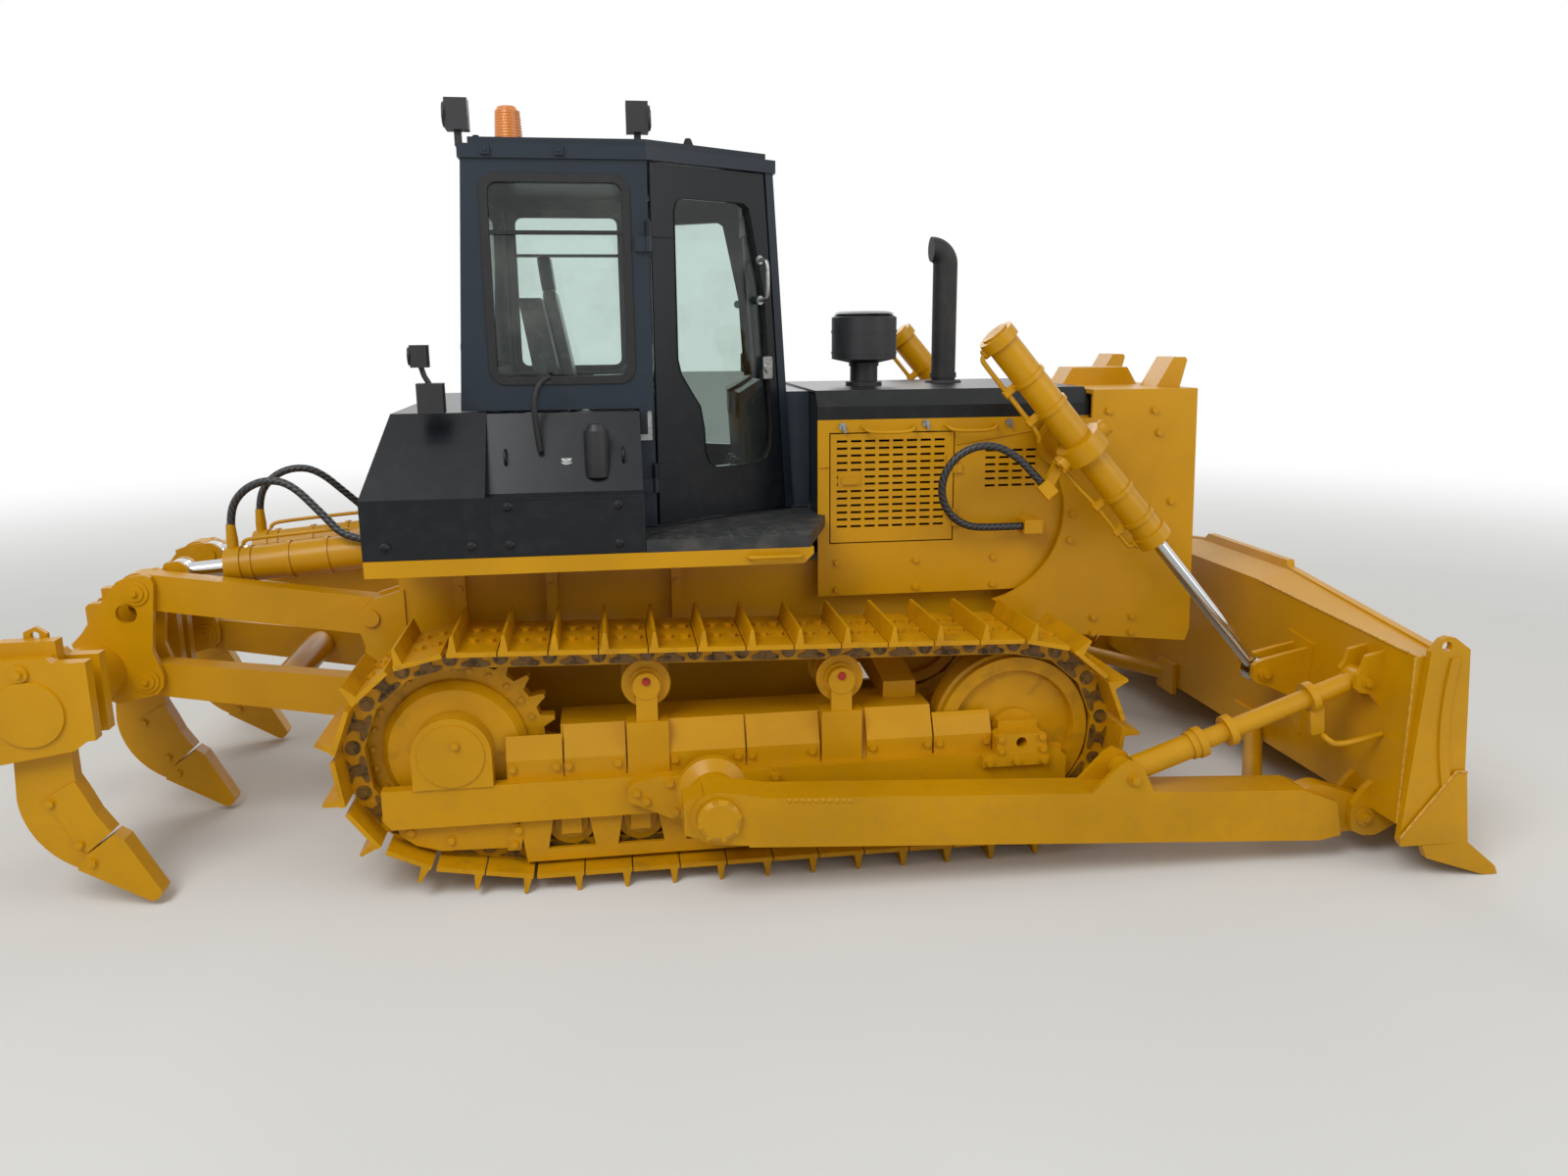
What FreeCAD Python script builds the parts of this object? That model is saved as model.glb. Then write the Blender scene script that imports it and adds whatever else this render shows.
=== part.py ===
import FreeCAD, Part
import math
import os
import Sketcher

# A crawler tractor with a straight tilting blade in front and a three-shank ripper behind.
# Frame: +X forward, +Y to the machine's left, +Z up, the ground at z = 0, millimetres.
# The origin is on the ground below the middle of the machine's box.

os.makedirs("parts", exist_ok=True)
doc = FreeCAD.newDocument("bulldozer")
sheet = doc.addObject("Spreadsheet::Sheet", "Sizes")

# Driving sizes: name, millimetres (or a count, or degrees), what it is.
SIZES = (
    # Undercarriage
    ("sprocket_x", -1309, "sprocket axis, along"),
    ("sprocket_z", 598, "sprocket axis, height"),
    ("idler_x", 1139, "front idler axis, along"),
    ("track_y", 940, "middle of a track, across"),
    ("pitch_radius", 408, "chain pin circle on the sprocket and the idler"),
    ("shoe_width", 510, "track shoe, across"),
    ("shoe_count", 37, "shoes in one track"),
    ("shoe_plate", 20, "shoe plate thickness"),
    ("grouser_height", 68, "grouser above its plate"),
    ("grouser_tip", 12, "grouser thickness at its tip"),
    ("grouser_root", 34, "grouser thickness at its plate"),
    ("shoe_gap", 6, "gap between neighbouring shoes"),
    ("link_outer", 44, "link rail above the pin line, under the shoe"),
    ("link_inner", 42, "link rail below the pin line, where the rollers run"),
    ("rail_gap", 124, "between the two link rails of a chain"),
    ("rail_width", 46, "one link rail"),
    ("ramp_x", -1000, "where the lower run starts to rise to the sprocket"),
    ("tooth_count", 25, "sprocket teeth"),
    ("tooth_tip", 428, "sprocket radius at the teeth"),
    ("tooth_root", 374, "sprocket radius between the teeth"),
    ("sprocket_width", 70, "sprocket rim"),
    ("drive_radius", 300, "final drive case"),
    ("drive_cover_out", 120, "final drive cover, outer face, from the middle of a track"),
    ("drive_hub_radius", 108, "final drive outer hub"),
    ("drive_hub_out", 200, "final drive outer hub, face, from the middle of a track"),
    ("idler_radius", 346, "idler running radius"),
    ("idler_flange", 14, "idler centre flange above its running face"),
    ("idler_width", 210, "idler, across"),
    ("roller_tread", 85, "roller running radius"),
    ("roller_flange", 104, "roller flange radius"),
    ("roller_span", 196, "roller, across"),
    ("roller_first_x", -839, "rearmost bottom roller"),
    ("roller_pitch", 294, "bottom roller spacing"),
    ("roller_count", 6, "bottom rollers a side"),
    ("carrier_rear_x", -502, "rear carrier roller"),
    ("carrier_front_x", 336, "front carrier roller"),
    ("carrier_post_width", 90, "post below a carrier roller"),
    ("carrier_block_width", 176, "block below the post"),
    ("arch_radius", 162, "cap over the final drive's hub"),
    ("arch_rise", 22, "middle of the cap's round top above the sprocket axis"),
    ("frame_rear_x", -868, "track frame box, rear end"),
    ("cover_rear_x", -1095, "track frame covers, rear end"),
    ("cover_seam", 8, "gap between two frame covers"),
    ("frame_front_x", 745, "track frame box, front end"),
    ("frame_low_z", 372, "track frame box, bottom"),
    ("frame_top_z", 690, "track frame box, top"),
    ("frame_in", 140, "track frame box, inner side, from the middle of a track"),
    ("frame_out", 152, "track frame box, outer side, from the middle of a track"),
    ("frame_top_out", 90, "the same at the box's top"),
    ("cover_out", 160, "frame covers, outer face, from the middle of a track"),
    ("cover_break_z", 562, "where the frame covers lean in"),
    ("channel_out", 210, "side channel, outer face, from the middle of a track"),
    ("channel_rear_x", -1600, "side channel, rear end"),
    ("channel_front_x", 1350, "side channel, front end"),
    ("channel_low_z", 310, "side channel, bottom"),
    ("channel_top_z", 480, "side channel, top"),
    ("guard_low_z", 108, "roller guard, bottom"),
    ("guard_out", 172, "roller guard, outer face, from the middle of a track"),
    ("guard_plate", 20, "roller guard thickness"),
    ("bar_x", 640, "equalizer bar, middle along"),
    ("bar_length", 150, "equalizer bar, along"),
    # Main frame and engine housing
    ("hull_y", 480, "main case, half width"),
    ("hull_rear_x", -1580, "main case, rear face"),
    ("hull_low_z", 450, "main case, bottom"),
    ("hull_top_z", 1250, "main case, top"),
    ("hull_step_x", 430, "where the belly rises to the engine frame"),
    ("rib_middle_x", -900, "middle rib on the main case's side, along"),
    ("rib_front_x", -330, "front rib on the main case's side, along"),
    ("rib_low_z", 910, "ribs, bottom"),
    ("rib_depth", 60, "ribs, out from the case"),
    ("belly_z", 880, "engine frame, bottom"),
    ("hood_rear_x", 330, "hood, rear end"),
    ("hood_front_x", 1630, "hood, front end"),
    ("hood_y", 560, "hood, half width"),
    ("hood_low_z", 1290, "engine side panel, bottom"),
    ("hood_line_z", 1915, "bottom of the dark hood"),
    ("hood_top_z", 2045, "top of the hood"),
    ("hood_wall", 12, "hood sheet"),
    ("skirt_low_z", 1090, "lower side plate, bottom"),
    ("door_rear_x", 390, "engine door, rear edge"),
    ("door_front_x", 974, "engine door, hinge edge"),
    ("door_low_z", 1345, "engine door, bottom"),
    ("door_top_z", 1850, "engine door, top"),
    ("door_gap", 6, "gap round a door"),
    ("door_hinge_x", 980, "engine door hinge, along"),
    ("door_hinge_y", 570, "engine door hinge, across"),
    ("door_knuckle_radius", 9, "engine door hinge knuckle"),
    ("door_hinge_pin", 5, "engine door hinge pin, radius"),
    ("vent_rows", 13, "rows of vents in an engine door"),
    ("vent_columns", 8, "vents in a row"),
    ("vent_pitch_x", 66, "vents, along"),
    ("vent_pitch_z", 33, "vents, up"),
    ("vent_length", 50, "one vent, along"),
    ("vent_height", 11, "one vent, up"),
    ("vent_first_x", 419, "rear end of the first vent"),
    ("vent_top_z", 1816, "top row of vents"),
    ("guard_rear_x", 1400, "radiator housing, rear edge"),
    ("guard_front_x", 2150, "radiator housing, front face"),
    ("guard_housing_y", 600, "radiator housing, half width"),
    ("guard_bottom_z", 800, "radiator housing, bottom"),
    ("guard_wall", 20, "radiator housing plate"),
    ("grille_bar", 14, "grille bar thickness"),
    ("grille_count", 12, "grille bars"),
    # Cab
    ("cab_rear_x", -1220, "cab, rear face"),
    ("cab_post_x", -420, "door post, where the plan turns inward"),
    ("cab_front_x", 250, "cab, front face"),
    ("cab_lean", 95, "how far the cab front leans back at the roof"),
    ("cab_y", 790, "cab, half width"),
    ("cab_front_y", 340, "cab front, half width"),
    ("cab_floor_z", 1490, "cab floor"),
    ("cab_side_z", 1998, "cab side wall, bottom edge"),
    ("cab_roof_z", 3000, "underside of the roof"),
    ("roof_top_z", 3085, "top of the roof"),
    ("cab_wall", 45, "cab wall"),
    ("cab_window_radius", 70, "corner of a side window"),
    ("cab_pillar", 45, "cab front pillar, along the door"),
    ("glass", 6, "glass thickness"),
    ("cab_door_gap", 7, "gap round a cab door"),
    ("cab_hinge_x", -422, "cab door hinge, along"),
    ("cab_hinge_y", 806, "cab door hinge, across"),
    ("cab_knuckle_radius", 14, "cab door hinge knuckle"),
    ("cab_hinge_pin", 8, "cab door hinge pin, radius"),
    # Side boxes and fenders
    ("fender_y", 1105, "fender, outer face"),
    ("fender_low_z", 1365, "fender rail, bottom"),
    ("fender_top_z", 1432, "fender rail, top"),
    ("fender_rear_x", -1600, "fender rail, rear end"),
    ("fender_front_x", 215, "fender rail, front end"),
    ("tank_rear_x", -1603, "fuel tank, rear face"),
    ("tank_front_x", -1115, "fuel tank, front face"),
    ("tank_break_z", 1675, "where the tank's sides lean in"),
    ("tank_top_z", 1995, "tank top"),
    ("tank_top_y", 760, "tank top, half width"),
    ("box_front_x", -483, "side box, front face"),
    ("step_top_z", 1484, "step plate, top"),
    # Blade frame
    ("trunnion_x", -240, "push arm trunnion, along"),
    ("trunnion_z", 408, "push arm trunnion, height"),
    ("arm_clearance", 105, "between a shoe's end and the push arm"),
    ("arm_width", 180, "push arm, across"),
    ("arm_hub_radius", 112, "push arm hub"),
    ("trunnion_radius", 60, "trunnion pin"),
    ("brace_rear_x", 1520, "screw brace rear pin, along"),
    ("brace_rear_z", 456, "screw brace rear pin, height"),
    ("brace_front_x", 2565, "screw brace front pin, along"),
    ("brace_front_z", 822, "screw brace front pin, height"),
    ("strut_radius", 44, "diagonal strut between push arm and blade"),
    ("strut_z", 290, "diagonal strut, height"),
    ("strut_rear_x", 2150, "diagonal strut, middle of its end on the arm"),
    ("strut_front_y", 400, "diagonal strut, middle of its end on the blade"),
    ("blade_pin_x", 2610, "push arm front pin, along"),
    ("blade_pin_z", 205, "push arm front pin, height"),
    ("knuckle_radius", 78, "push arm front knuckle"),
    ("blade_half", 1694, "blade, half width"),
    ("blade_low_z", 160, "moldboard, bottom"),
    ("blade_back_x", 2636, "back sheet of the blade"),
    ("blade_back_low_z", 245, "back sheet, bottom"),
    ("blade_back_top_z", 988, "back sheet, top at its ends"),
    ("blade_back_crown_z", 1056, "back sheet, top in the middle"),
    ("blade_top_z", 981, "moldboard top at its ends"),
    ("blade_shoulder_z", 1115, "moldboard top beside its crown"),
    ("blade_crown_z", 1145, "moldboard top in the middle"),
    ("blade_crown_y", 400, "crown of the moldboard, half width"),
    ("blade_front_x", 2850, "moldboard, upper front edge"),
    ("edge_tip_x", 3100, "cutting edge tip"),
    ("end_plate", 30, "blade end plate"),
    ("doubler", 10, "doubler on the end plate"),
    ("hook_x", 2745, "lifting hole in the blade's end plate, along"),
    ("hook_z", 1032, "lifting hole in the blade's end plate, height"),
    ("hook_radius", 22, "lifting hole in the blade's end plate"),
    ("lift_y", 860, "lift cylinder, across"),
    ("yoke_x", 1480, "lift cylinder trunnion, along"),
    ("yoke_z", 1800, "lift cylinder trunnion, height"),
    ("lift_eye_x", 2412, "lift rod eye, along"),
    ("lift_eye_z", 712, "lift rod eye, height"),
    ("lift_bore_radius", 70, "lift cylinder barrel"),
    ("lift_rod_radius", 32, "lift rod"),
    ("lift_barrel_rear", 650, "barrel behind its trunnion"),
    ("lift_barrel_front", 575, "barrel in front of its trunnion"),
    ("lift_rod_start", 145, "inner end of the rod, in front of the trunnion"),
    ("yoke_boss_radius", 118, "yoke boss on the radiator housing"),
    ("yoke_stem_radius", 84, "yoke stem"),
    # Ripper
    ("ripper_hull_x", -1712, "ripper pivots on the case, along"),
    ("ripper_low_z", 660, "lower ripper pivot on the case, height"),
    ("ripper_high_z", 1060, "upper ripper pivot on the case, height"),
    ("ripper_reach_x", 982, "ripper arm, along"),
    ("ripper_rise_z", 157, "ripper arm, rise at rest"),
    ("ripper_arm_y", 400, "middle of a ripper arm, across"),
    ("ripper_arm_width", 108, "ripper arm, across"),
    ("ripper_pin_radius", 38, "ripper pivot pins"),
    ("tube_back", 211, "ripper beam behind the arms' rear pins"),
    ("tube_up", 45, "ripper beam above the lower of them"),
    ("tube_radius", 135, "ripper beam, radius"),
    ("plate_hole_back", 46, "hole in a ripper side plate behind the arms' rear pins"),
    ("plate_hole_up", 308, "the same hole above the lower of them"),
    ("plate_hole_radius", 44, "hole in a ripper side plate"),
    ("shank_y", 1000, "outer shank, across"),
    ("shank_width", 66, "shank thickness"),
    ("clamp_width", 190, "shank clamp, across"),
    ("shank_pin_radius", 33, "pin that holds a shank in its clamp"),
    ("shank_pin_back", 10, "shank pin behind the beam's axis"),
    ("shank_pin_up", 177, "shank pin above the beam's axis"),
    ("slot_back", 112, "slot of a clamp behind the beam's axis"),
    ("slot_front", 106, "slot of a clamp in front of the beam's axis"),
    ("ripper_cyl_y", 235, "ripper cylinder, across"),
    ("ripper_cyl_x", -1665, "ripper cylinder pivot on the case, along"),
    ("ripper_cyl_z", 1335, "ripper cylinder pivot on the case, height"),
    ("ripper_eye_front", 109, "ripper rod eye in front of the arms' rear pins"),
    ("ripper_eye_up", 438, "ripper rod eye above the lower of them"),
    ("ripper_bore_radius", 80, "ripper cylinder barrel"),
    ("ripper_rod_radius", 38, "ripper rod"),
    ("ripper_barrel_length", 705, "ripper cylinder barrel, pivot to its end"),
    # Hoses
    ("hose_radius", 18, "hydraulic hose"),
    ("fitting_radius", 25, "hose fitting"),
    # Fits
    ("seat_gap", 0.3, "clearance where one piece seats on another"),
    ("pin_gap", 0.1, "radial clearance of a pin in its bore"),
)


class Size:
    """A number that remembers the sheet expression that gives it."""

    def __init__(self, value, words):
        self.value = float(value)
        self.words = words

    def __float__(self):
        return self.value

    def __neg__(self):
        return Size(-self.value, "-(" + self.words + ")")

    def __add__(self, other):
        return Size(self.value + float(other), "(" + self.words + " + " + words(other) + ")")

    def __radd__(self, other):
        return Size(float(other) + self.value, "(" + words(other) + " + " + self.words + ")")

    def __sub__(self, other):
        return Size(self.value - float(other), "(" + self.words + " - " + words(other) + ")")

    def __rsub__(self, other):
        return Size(float(other) - self.value, "(" + words(other) + " - " + self.words + ")")

    def __mul__(self, other):
        return Size(self.value * float(other), self.words + " * " + words(other))

    def __rmul__(self, other):
        return self * other

    def __truediv__(self, other):
        return Size(self.value / float(other), self.words + " / " + words(other))

    def __lt__(self, other):
        return self.value < float(other)


def words(size):
    """The expression of a size, or a plain number as text."""
    if isinstance(size, Size):
        return size.words
    return "(" + repr(float(size)) + ")"


class Sheet:
    """The sheet's values by name."""


size = Sheet()
for row, (alias, value, note) in enumerate(SIZES, start=1):
    sheet.set("A" + str(row), note)
    sheet.set("B" + str(row), str(value))
    sheet.setAlias("B" + str(row), alias)
    setattr(size, alias, Size(value, "Sizes." + alias))
doc.recompute()

# Stations that follow other sizes.
size.drive_cover_y = size.track_y + size.drive_cover_out
size.drive_hub_y = size.track_y + size.drive_hub_out
size.frame_inner_y = size.track_y - size.frame_in
size.frame_outer_y = size.track_y + size.frame_out
size.frame_top_y = size.track_y + size.frame_top_out
size.cover_y = size.track_y + size.cover_out
size.channel_y = size.track_y + size.channel_out
size.guard_y = size.track_y + size.guard_out
size.arm_inner_y = size.track_y + size.shoe_width / 2 + size.arm_clearance
size.arm_outer_y = size.arm_inner_y + size.arm_width
size.ripper_far_x = size.ripper_hull_x - size.ripper_reach_x
size.ripper_far_z = size.ripper_low_z + size.ripper_rise_z
size.tube_x = size.ripper_far_x - size.tube_back
size.tube_z = size.ripper_far_z + size.tube_up
size.plate_hole_x = size.ripper_far_x - size.plate_hole_back
size.plate_hole_z = size.ripper_far_z + size.plate_hole_up
size.ripper_eye_x = size.ripper_far_x + size.ripper_eye_front
size.ripper_eye_z = size.ripper_far_z + size.ripper_eye_up

NODES = {}

# Door hinges: (name, height where the two knuckles meet).
CAB_HINGES = (("low", 1700), ("high", 2700))
ENGINE_HINGES = (("low", 1450), ("high", 1700))

# Hose routes on the machine's right: (x, y, z) from the moving end to the fixed one.
LIFT_ROUTE = (
    (1318, -800, 1632), (1268, -785, 1690), (1209, -771, 1749), (1121, -756, 1800), (1019, -742, 1800),
    (931, -727, 1749), (880, -713, 1661), (880, -698, 1559), (931, -684, 1471), (1019, -669, 1420),
    (1110, -640, 1409), (1205, -625, 1406), (1300, -625, 1406),
)
RIPPER_ROUTE = (
    (-2345, -235, 1410), (-2345, -235, 1523), (-2282, -240, 1622), (-2177, -250, 1671),
    (-2061, -265, 1656), (-1930, -300, 1520), (-1810, -345, 1390), (-1630, -345, 1390),
)


def vec(x, y, z):
    return FreeCAD.Vector(float(x), float(y), float(z))


def keep(name, item):
    """Give a finished sub-part its label and list it for export."""
    item.Label = name
    NODES[name] = item
    return item


def box(name, x, y, z):
    """A block; x, y and z are its lowest and highest stations."""
    item = doc.addObject("Part::Box", name)
    for prop, axis, (low, high) in (("Length", "x", x), ("Width", "y", y), ("Height", "z", z)):
        item.setExpression(prop, words(high - low))
        item.setExpression("Placement.Base." + axis, words(low))
    return item


AXIS_TURNS = {
    "x": (FreeCAD.Rotation(vec(0, 1, 0), 90), "y", "z"),
    "y": (FreeCAD.Rotation(vec(1, 0, 0), -90), "x", "z"),
    "z": (FreeCAD.Rotation(), "x", "y"),
}


def rod(name, axis, centre, radius, low, high):
    """A cylinder along an axis, between two stations on it."""
    item = doc.addObject("Part::Cylinder", name)
    turn, first, second = AXIS_TURNS[axis]
    item.Placement = FreeCAD.Placement(vec(0, 0, 0), turn)
    item.setExpression("Radius", words(radius))
    item.setExpression("Height", words(high - low))
    item.setExpression("Placement.Base." + axis, words(low))
    item.setExpression("Placement.Base." + first, words(centre[0]))
    item.setExpression("Placement.Base." + second, words(centre[1]))
    return item


def draw_polygon(sketch, points):
    """Add a closed outline to a sketch, each corner tied to the sheet."""
    count = len(points)
    start = sketch.GeometryCount
    corners = [vec(a, b, 0) for a, b in points]
    lines = [Part.LineSegment(corners[i], corners[(i + 1) % count]) for i in range(count)]
    sketch.addGeometry(lines, False)
    first = sketch.ConstraintCount
    ties = [Sketcher.Constraint("Coincident", start + i, 2, start + (i + 1) % count, 1)
            for i in range(count)]
    for i, corner in enumerate(corners):
        ties.append(Sketcher.Constraint("DistanceX", -1, 1, start + i, 1, corner.x))
        ties.append(Sketcher.Constraint("DistanceY", -1, 1, start + i, 1, corner.y))
    sketch.addConstraint(ties)
    for i, (a, b) in enumerate(points):
        place = first + count + 2 * i
        sketch.setExpression("Constraints[" + str(place) + "]", words(a))
        sketch.setExpression("Constraints[" + str(place + 1) + "]", words(b))


def draw_circle(sketch, centre, radius):
    """Add a circle to a sketch, its centre and radius tied to the sheet."""
    place = sketch.ConstraintCount
    middle = vec(centre[0], centre[1], 0)
    circle = sketch.addGeometry(Part.Circle(middle, vec(0, 0, 1), float(radius)), False)
    sketch.addConstraint([
        Sketcher.Constraint("DistanceX", -1, 1, circle, 3, middle.x),
        Sketcher.Constraint("DistanceY", -1, 1, circle, 3, middle.y),
        Sketcher.Constraint("Radius", circle, float(radius)),
    ])
    for offset, value in enumerate((centre[0], centre[1], radius)):
        sketch.setExpression("Constraints[" + str(place + offset) + "]", words(value))


def origin_plane(body, role):
    return next(item for item in body.Origin.OriginFeatures if item.Role == role)


def prism(name, plane, outline, low, high, holes=(), rounds=()):
    """A padded outline in the XY, XZ or YZ plane, between two stations across it.

    holes holds outlines; rounds holds (centre, radius) of round holes.
    """
    body = doc.addObject("PartDesign::Body", name)
    sketch = body.newObject("Sketcher::SketchObject", name + "_outline")
    sketch.AttachmentSupport = [(origin_plane(body, plane + "_Plane"), "")]
    sketch.MapMode = "FlatFace"
    draw_polygon(sketch, outline)
    for hole in holes:
        draw_polygon(sketch, hole)
    for centre, radius in rounds:
        draw_circle(sketch, centre, radius)
    # The XZ plane's normal is -Y, the others' is along their axis.
    offset = -high if plane == "XZ" else low
    sketch.setExpression(".AttachmentOffset.Base.z", words(offset))
    pad = body.newObject("PartDesign::Pad", name + "_pad")
    pad.Profile = sketch
    pad.setExpression("Length", words(high - low))
    sketch.Visibility = False
    return body


def turned(name, axis, at, profile):
    """A revolved piece: profile holds (radius, station) pairs, stations along the axis from at."""
    body = doc.addObject("PartDesign::Body", name)
    sketch = body.newObject("Sketcher::SketchObject", name + "_profile")
    sketch.AttachmentSupport = [(origin_plane(body, "XZ_Plane"), "")]
    sketch.MapMode = "FlatFace"
    draw_polygon(sketch, profile)
    revolve = body.newObject("PartDesign::Revolution", name + "_turn")
    revolve.Profile = sketch
    revolve.ReferenceAxis = (sketch, ["V_Axis"])
    revolve.Angle = 360
    body.Placement = FreeCAD.Placement(vec(0, 0, 0), AXIS_TURNS[axis][0])
    for letter, value in zip("xyz", at):
        body.setExpression("Placement.Base." + letter, words(value))
    sketch.Visibility = False
    return body


def shaped(name, shape):
    """A sub-part or an ingredient whose form no sketch gives."""
    item = doc.addObject("Part::Feature", name)
    item.Shape = shape
    return item


def fuse(name, items):
    item = doc.addObject("Part::MultiFuse", name)
    item.Shapes = items
    return item


def cut(name, base, tools):
    if len(tools) > 1:
        tools = [fuse(name + "_tools", tools)]
    item = doc.addObject("Part::Cut", name)
    item.Base = base
    item.Tool = tools[0]
    return item


def group(name, items):
    """Like pieces that share a node without touching."""
    item = doc.addObject("Part::Compound", name)
    item.Links = items
    return item


def mirror(name, source):
    """The same piece on the machine's left side."""
    item = doc.addObject("Part::Mirroring", name)
    item.Source = source
    item.Normal = vec(0, 1, 0)
    item.Base = vec(0, 0, 0)
    return item


def both(name, source):
    return group(name, [source, mirror(name + "_left", source)])


def flat_face(points):
    """A face from corner points (x, z) in the XZ plane; a triple of points is an arc through them."""
    edges = []
    for piece in points:
        corners = [vec(x, 0, z) for x, z in piece]
        if len(corners) == 3:
            edges.append(Part.Arc(*corners).toShape())
        else:
            edges.append(Part.LineSegment(*corners).toShape())
    return Part.Face(Part.Wire(edges))


def plate_face(centre, points):
    """A face with straight edges in the XZ plane; points are (x, z) from a centre."""
    x, z = float(centre[0]), float(centre[1])
    corners = [vec(x + a, 0, z + b) for a, b in points]
    return Part.Face(Part.makePolygon(corners + corners[:1]))


def across(face, low, high):
    """Extrude an XZ face between two stations across the machine."""
    moved = face.translated(vec(0, low, 0))
    return moved.extrude(vec(0, float(high) - float(low), 0))


def link_face(first, second, first_radius, second_radius):
    """The outline round two pins: two arcs joined by their common tangents."""
    x1, z1 = float(first[0]), float(first[1])
    x2, z2 = float(second[0]), float(second[1])
    r1, r2 = float(first_radius), float(second_radius)
    heading = math.atan2(z2 - z1, x2 - x1)
    lean = math.acos((r1 - r2) / math.hypot(x2 - x1, z2 - z1))

    def on(x, z, radius, angle):
        return x + radius * math.cos(angle), z + radius * math.sin(angle)

    upper, lower = heading + lean, heading - lean
    a, b = on(x1, z1, r1, upper), on(x2, z2, r2, upper)
    c, d = on(x2, z2, r2, lower), on(x1, z1, r1, lower)
    far = on(x2, z2, r2, heading)
    near = on(x1, z1, r1, heading + math.pi)
    return flat_face([(a, b), (b, far, c), (c, d), (d, near, a)])


def pin(centre, radius, low, high):
    """A plain cylinder across the machine, as a shape."""
    return Part.makeCylinder(float(radius), float(high) - float(low),
                             vec(centre[0], low, centre[1]), vec(0, 1, 0))


def barrel(start, end, radius, across_y, from_start=0.0, to_end=0.0):
    """A cylinder in the XZ plane along start to end, as a shape."""
    line = vec(end[0], 0, end[1]) - vec(start[0], 0, start[1])
    length = line.Length
    line.normalize()
    foot = vec(start[0], across_y, start[1]) + line * float(from_start)
    return Part.makeCylinder(float(radius), length - float(from_start) - float(to_end), foot, line)


# Undercarriage

def pitch_line():
    """The chain's pin line as segments: straight (start, end) or arc (centre, radius, from, to)."""
    low_z = float(size.grouser_height + size.shoe_plate + size.link_outer)
    radius = float(size.pitch_radius)
    rear = (float(size.sprocket_x), float(size.sprocket_z))
    front = (float(size.idler_x), low_z + radius)
    ramp = (float(size.ramp_x), low_z)
    slope = math.atan2(front[1] - rear[1], front[0] - rear[0])
    # Tangent from the ramp's foot to the sprocket circle, on its lower side.
    gap = math.hypot(ramp[0] - rear[0], ramp[1] - rear[1])
    foot = math.atan2(ramp[1] - rear[1], ramp[0] - rear[0]) - math.acos(radius / gap)
    touch = (rear[0] + radius * math.cos(foot), rear[1] + radius * math.sin(foot))
    top_rear = (rear[0] - radius * math.sin(slope), rear[1] + radius * math.cos(slope))
    top_front = (front[0] - radius * math.sin(slope), front[1] + radius * math.cos(slope))
    return [
        ("line", top_rear, top_front),
        ("arc", front, radius, slope + math.pi / 2, -math.pi / 2),
        ("line", (front[0], low_z), ramp),
        ("line", ramp, touch),
        ("arc", rear, radius, foot, slope + math.pi / 2 - 2 * math.pi),
    ]


def pitch_lengths(line):
    lengths = []
    for part in line:
        if part[0] == "line":
            lengths.append(math.hypot(part[2][0] - part[1][0], part[2][1] - part[1][1]))
        else:
            lengths.append(part[2] * abs(part[3] - part[4]))
    return lengths


def pitch_point(line, lengths, at):
    """The point at a distance along the pin line."""
    at = at % sum(lengths)
    for part, length in zip(line, lengths):
        if at <= length:
            share = at / length
            if part[0] == "line":
                return (part[1][0] + (part[2][0] - part[1][0]) * share,
                        part[1][1] + (part[2][1] - part[1][1]) * share)
            angle = part[3] + (part[4] - part[3]) * share
            return part[1][0] + part[2] * math.cos(angle), part[1][1] + part[2] * math.sin(angle)
        at -= length
    return line[0][1]


def upper_pitch_z(x):
    """Height of the upper run's pin line at a station."""
    kind, start, end = pitch_line()[0]
    return start[1] + (end[1] - start[1]) * (float(x) - start[0]) / (end[0] - start[0])


def make_track():
    """The track on the right: a shoe on each link, on two link rails."""
    line = pitch_line()
    lengths = pitch_lengths(line)
    count = int(float(size.shoe_count))
    pitch = sum(lengths) / count
    pins = [pitch_point(line, lengths, k * pitch) for k in range(count)]
    top = float(size.link_outer)
    plate = top + float(size.shoe_plate)
    tip = plate + float(size.grouser_height)
    root, crest, gap = float(size.grouser_root), float(size.grouser_tip), float(size.shoe_gap)
    outer, inner, shoes = [], [], []
    for k in range(count):
        start, end = pins[k], pins[(k + 1) % count]
        length = math.hypot(end[0] - start[0], end[1] - start[1])
        along = ((end[0] - start[0]) / length, (end[1] - start[1]) / length)
        out = (-along[1], along[0])

        def spot(u, w):
            return start[0] + along[0] * u + out[0] * w, start[1] + along[1] * u + out[1] * w

        near, far = gap / 2, length - gap / 2
        shoe = [spot(near, top), spot(near, plate), spot(near + 6, plate),
                spot(near + 6 + (root - crest) / 2, tip), spot(near + 6 + (root + crest) / 2, tip),
                spot(near + 6 + root, plate), spot(far, plate), spot(far, top)]
        shoes.append(shoe)
        outer += [spot(14, top), spot(length - 14, top)]
        inner += [spot(16, -float(size.link_inner)), spot(length - 16, -float(size.link_inner))]

    def outline(points):
        return Part.makePolygon([vec(x, 0, z) for x, z in points + points[:1]])

    half = size.shoe_width / 2
    pieces = [across(Part.Face(outline(shoe)), -size.track_y - half, -size.track_y + half)
              for shoe in shoes]
    ring = Part.Face([outline(outer), outline(inner)])
    ring.validate()
    near_rail = size.rail_gap / 2
    far_rail = near_rail + size.rail_width
    rails = [across(ring, -size.track_y - far_rail, -size.track_y - near_rail),
             across(ring, -size.track_y + near_rail, -size.track_y + far_rail)]
    return rails[0].multiFuse(rails[1:] + pieces)


def make_tracks():
    right = shaped("track_right", make_track())
    keep("track_right", right)
    keep("track_left", mirror("track_left", right))


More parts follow.
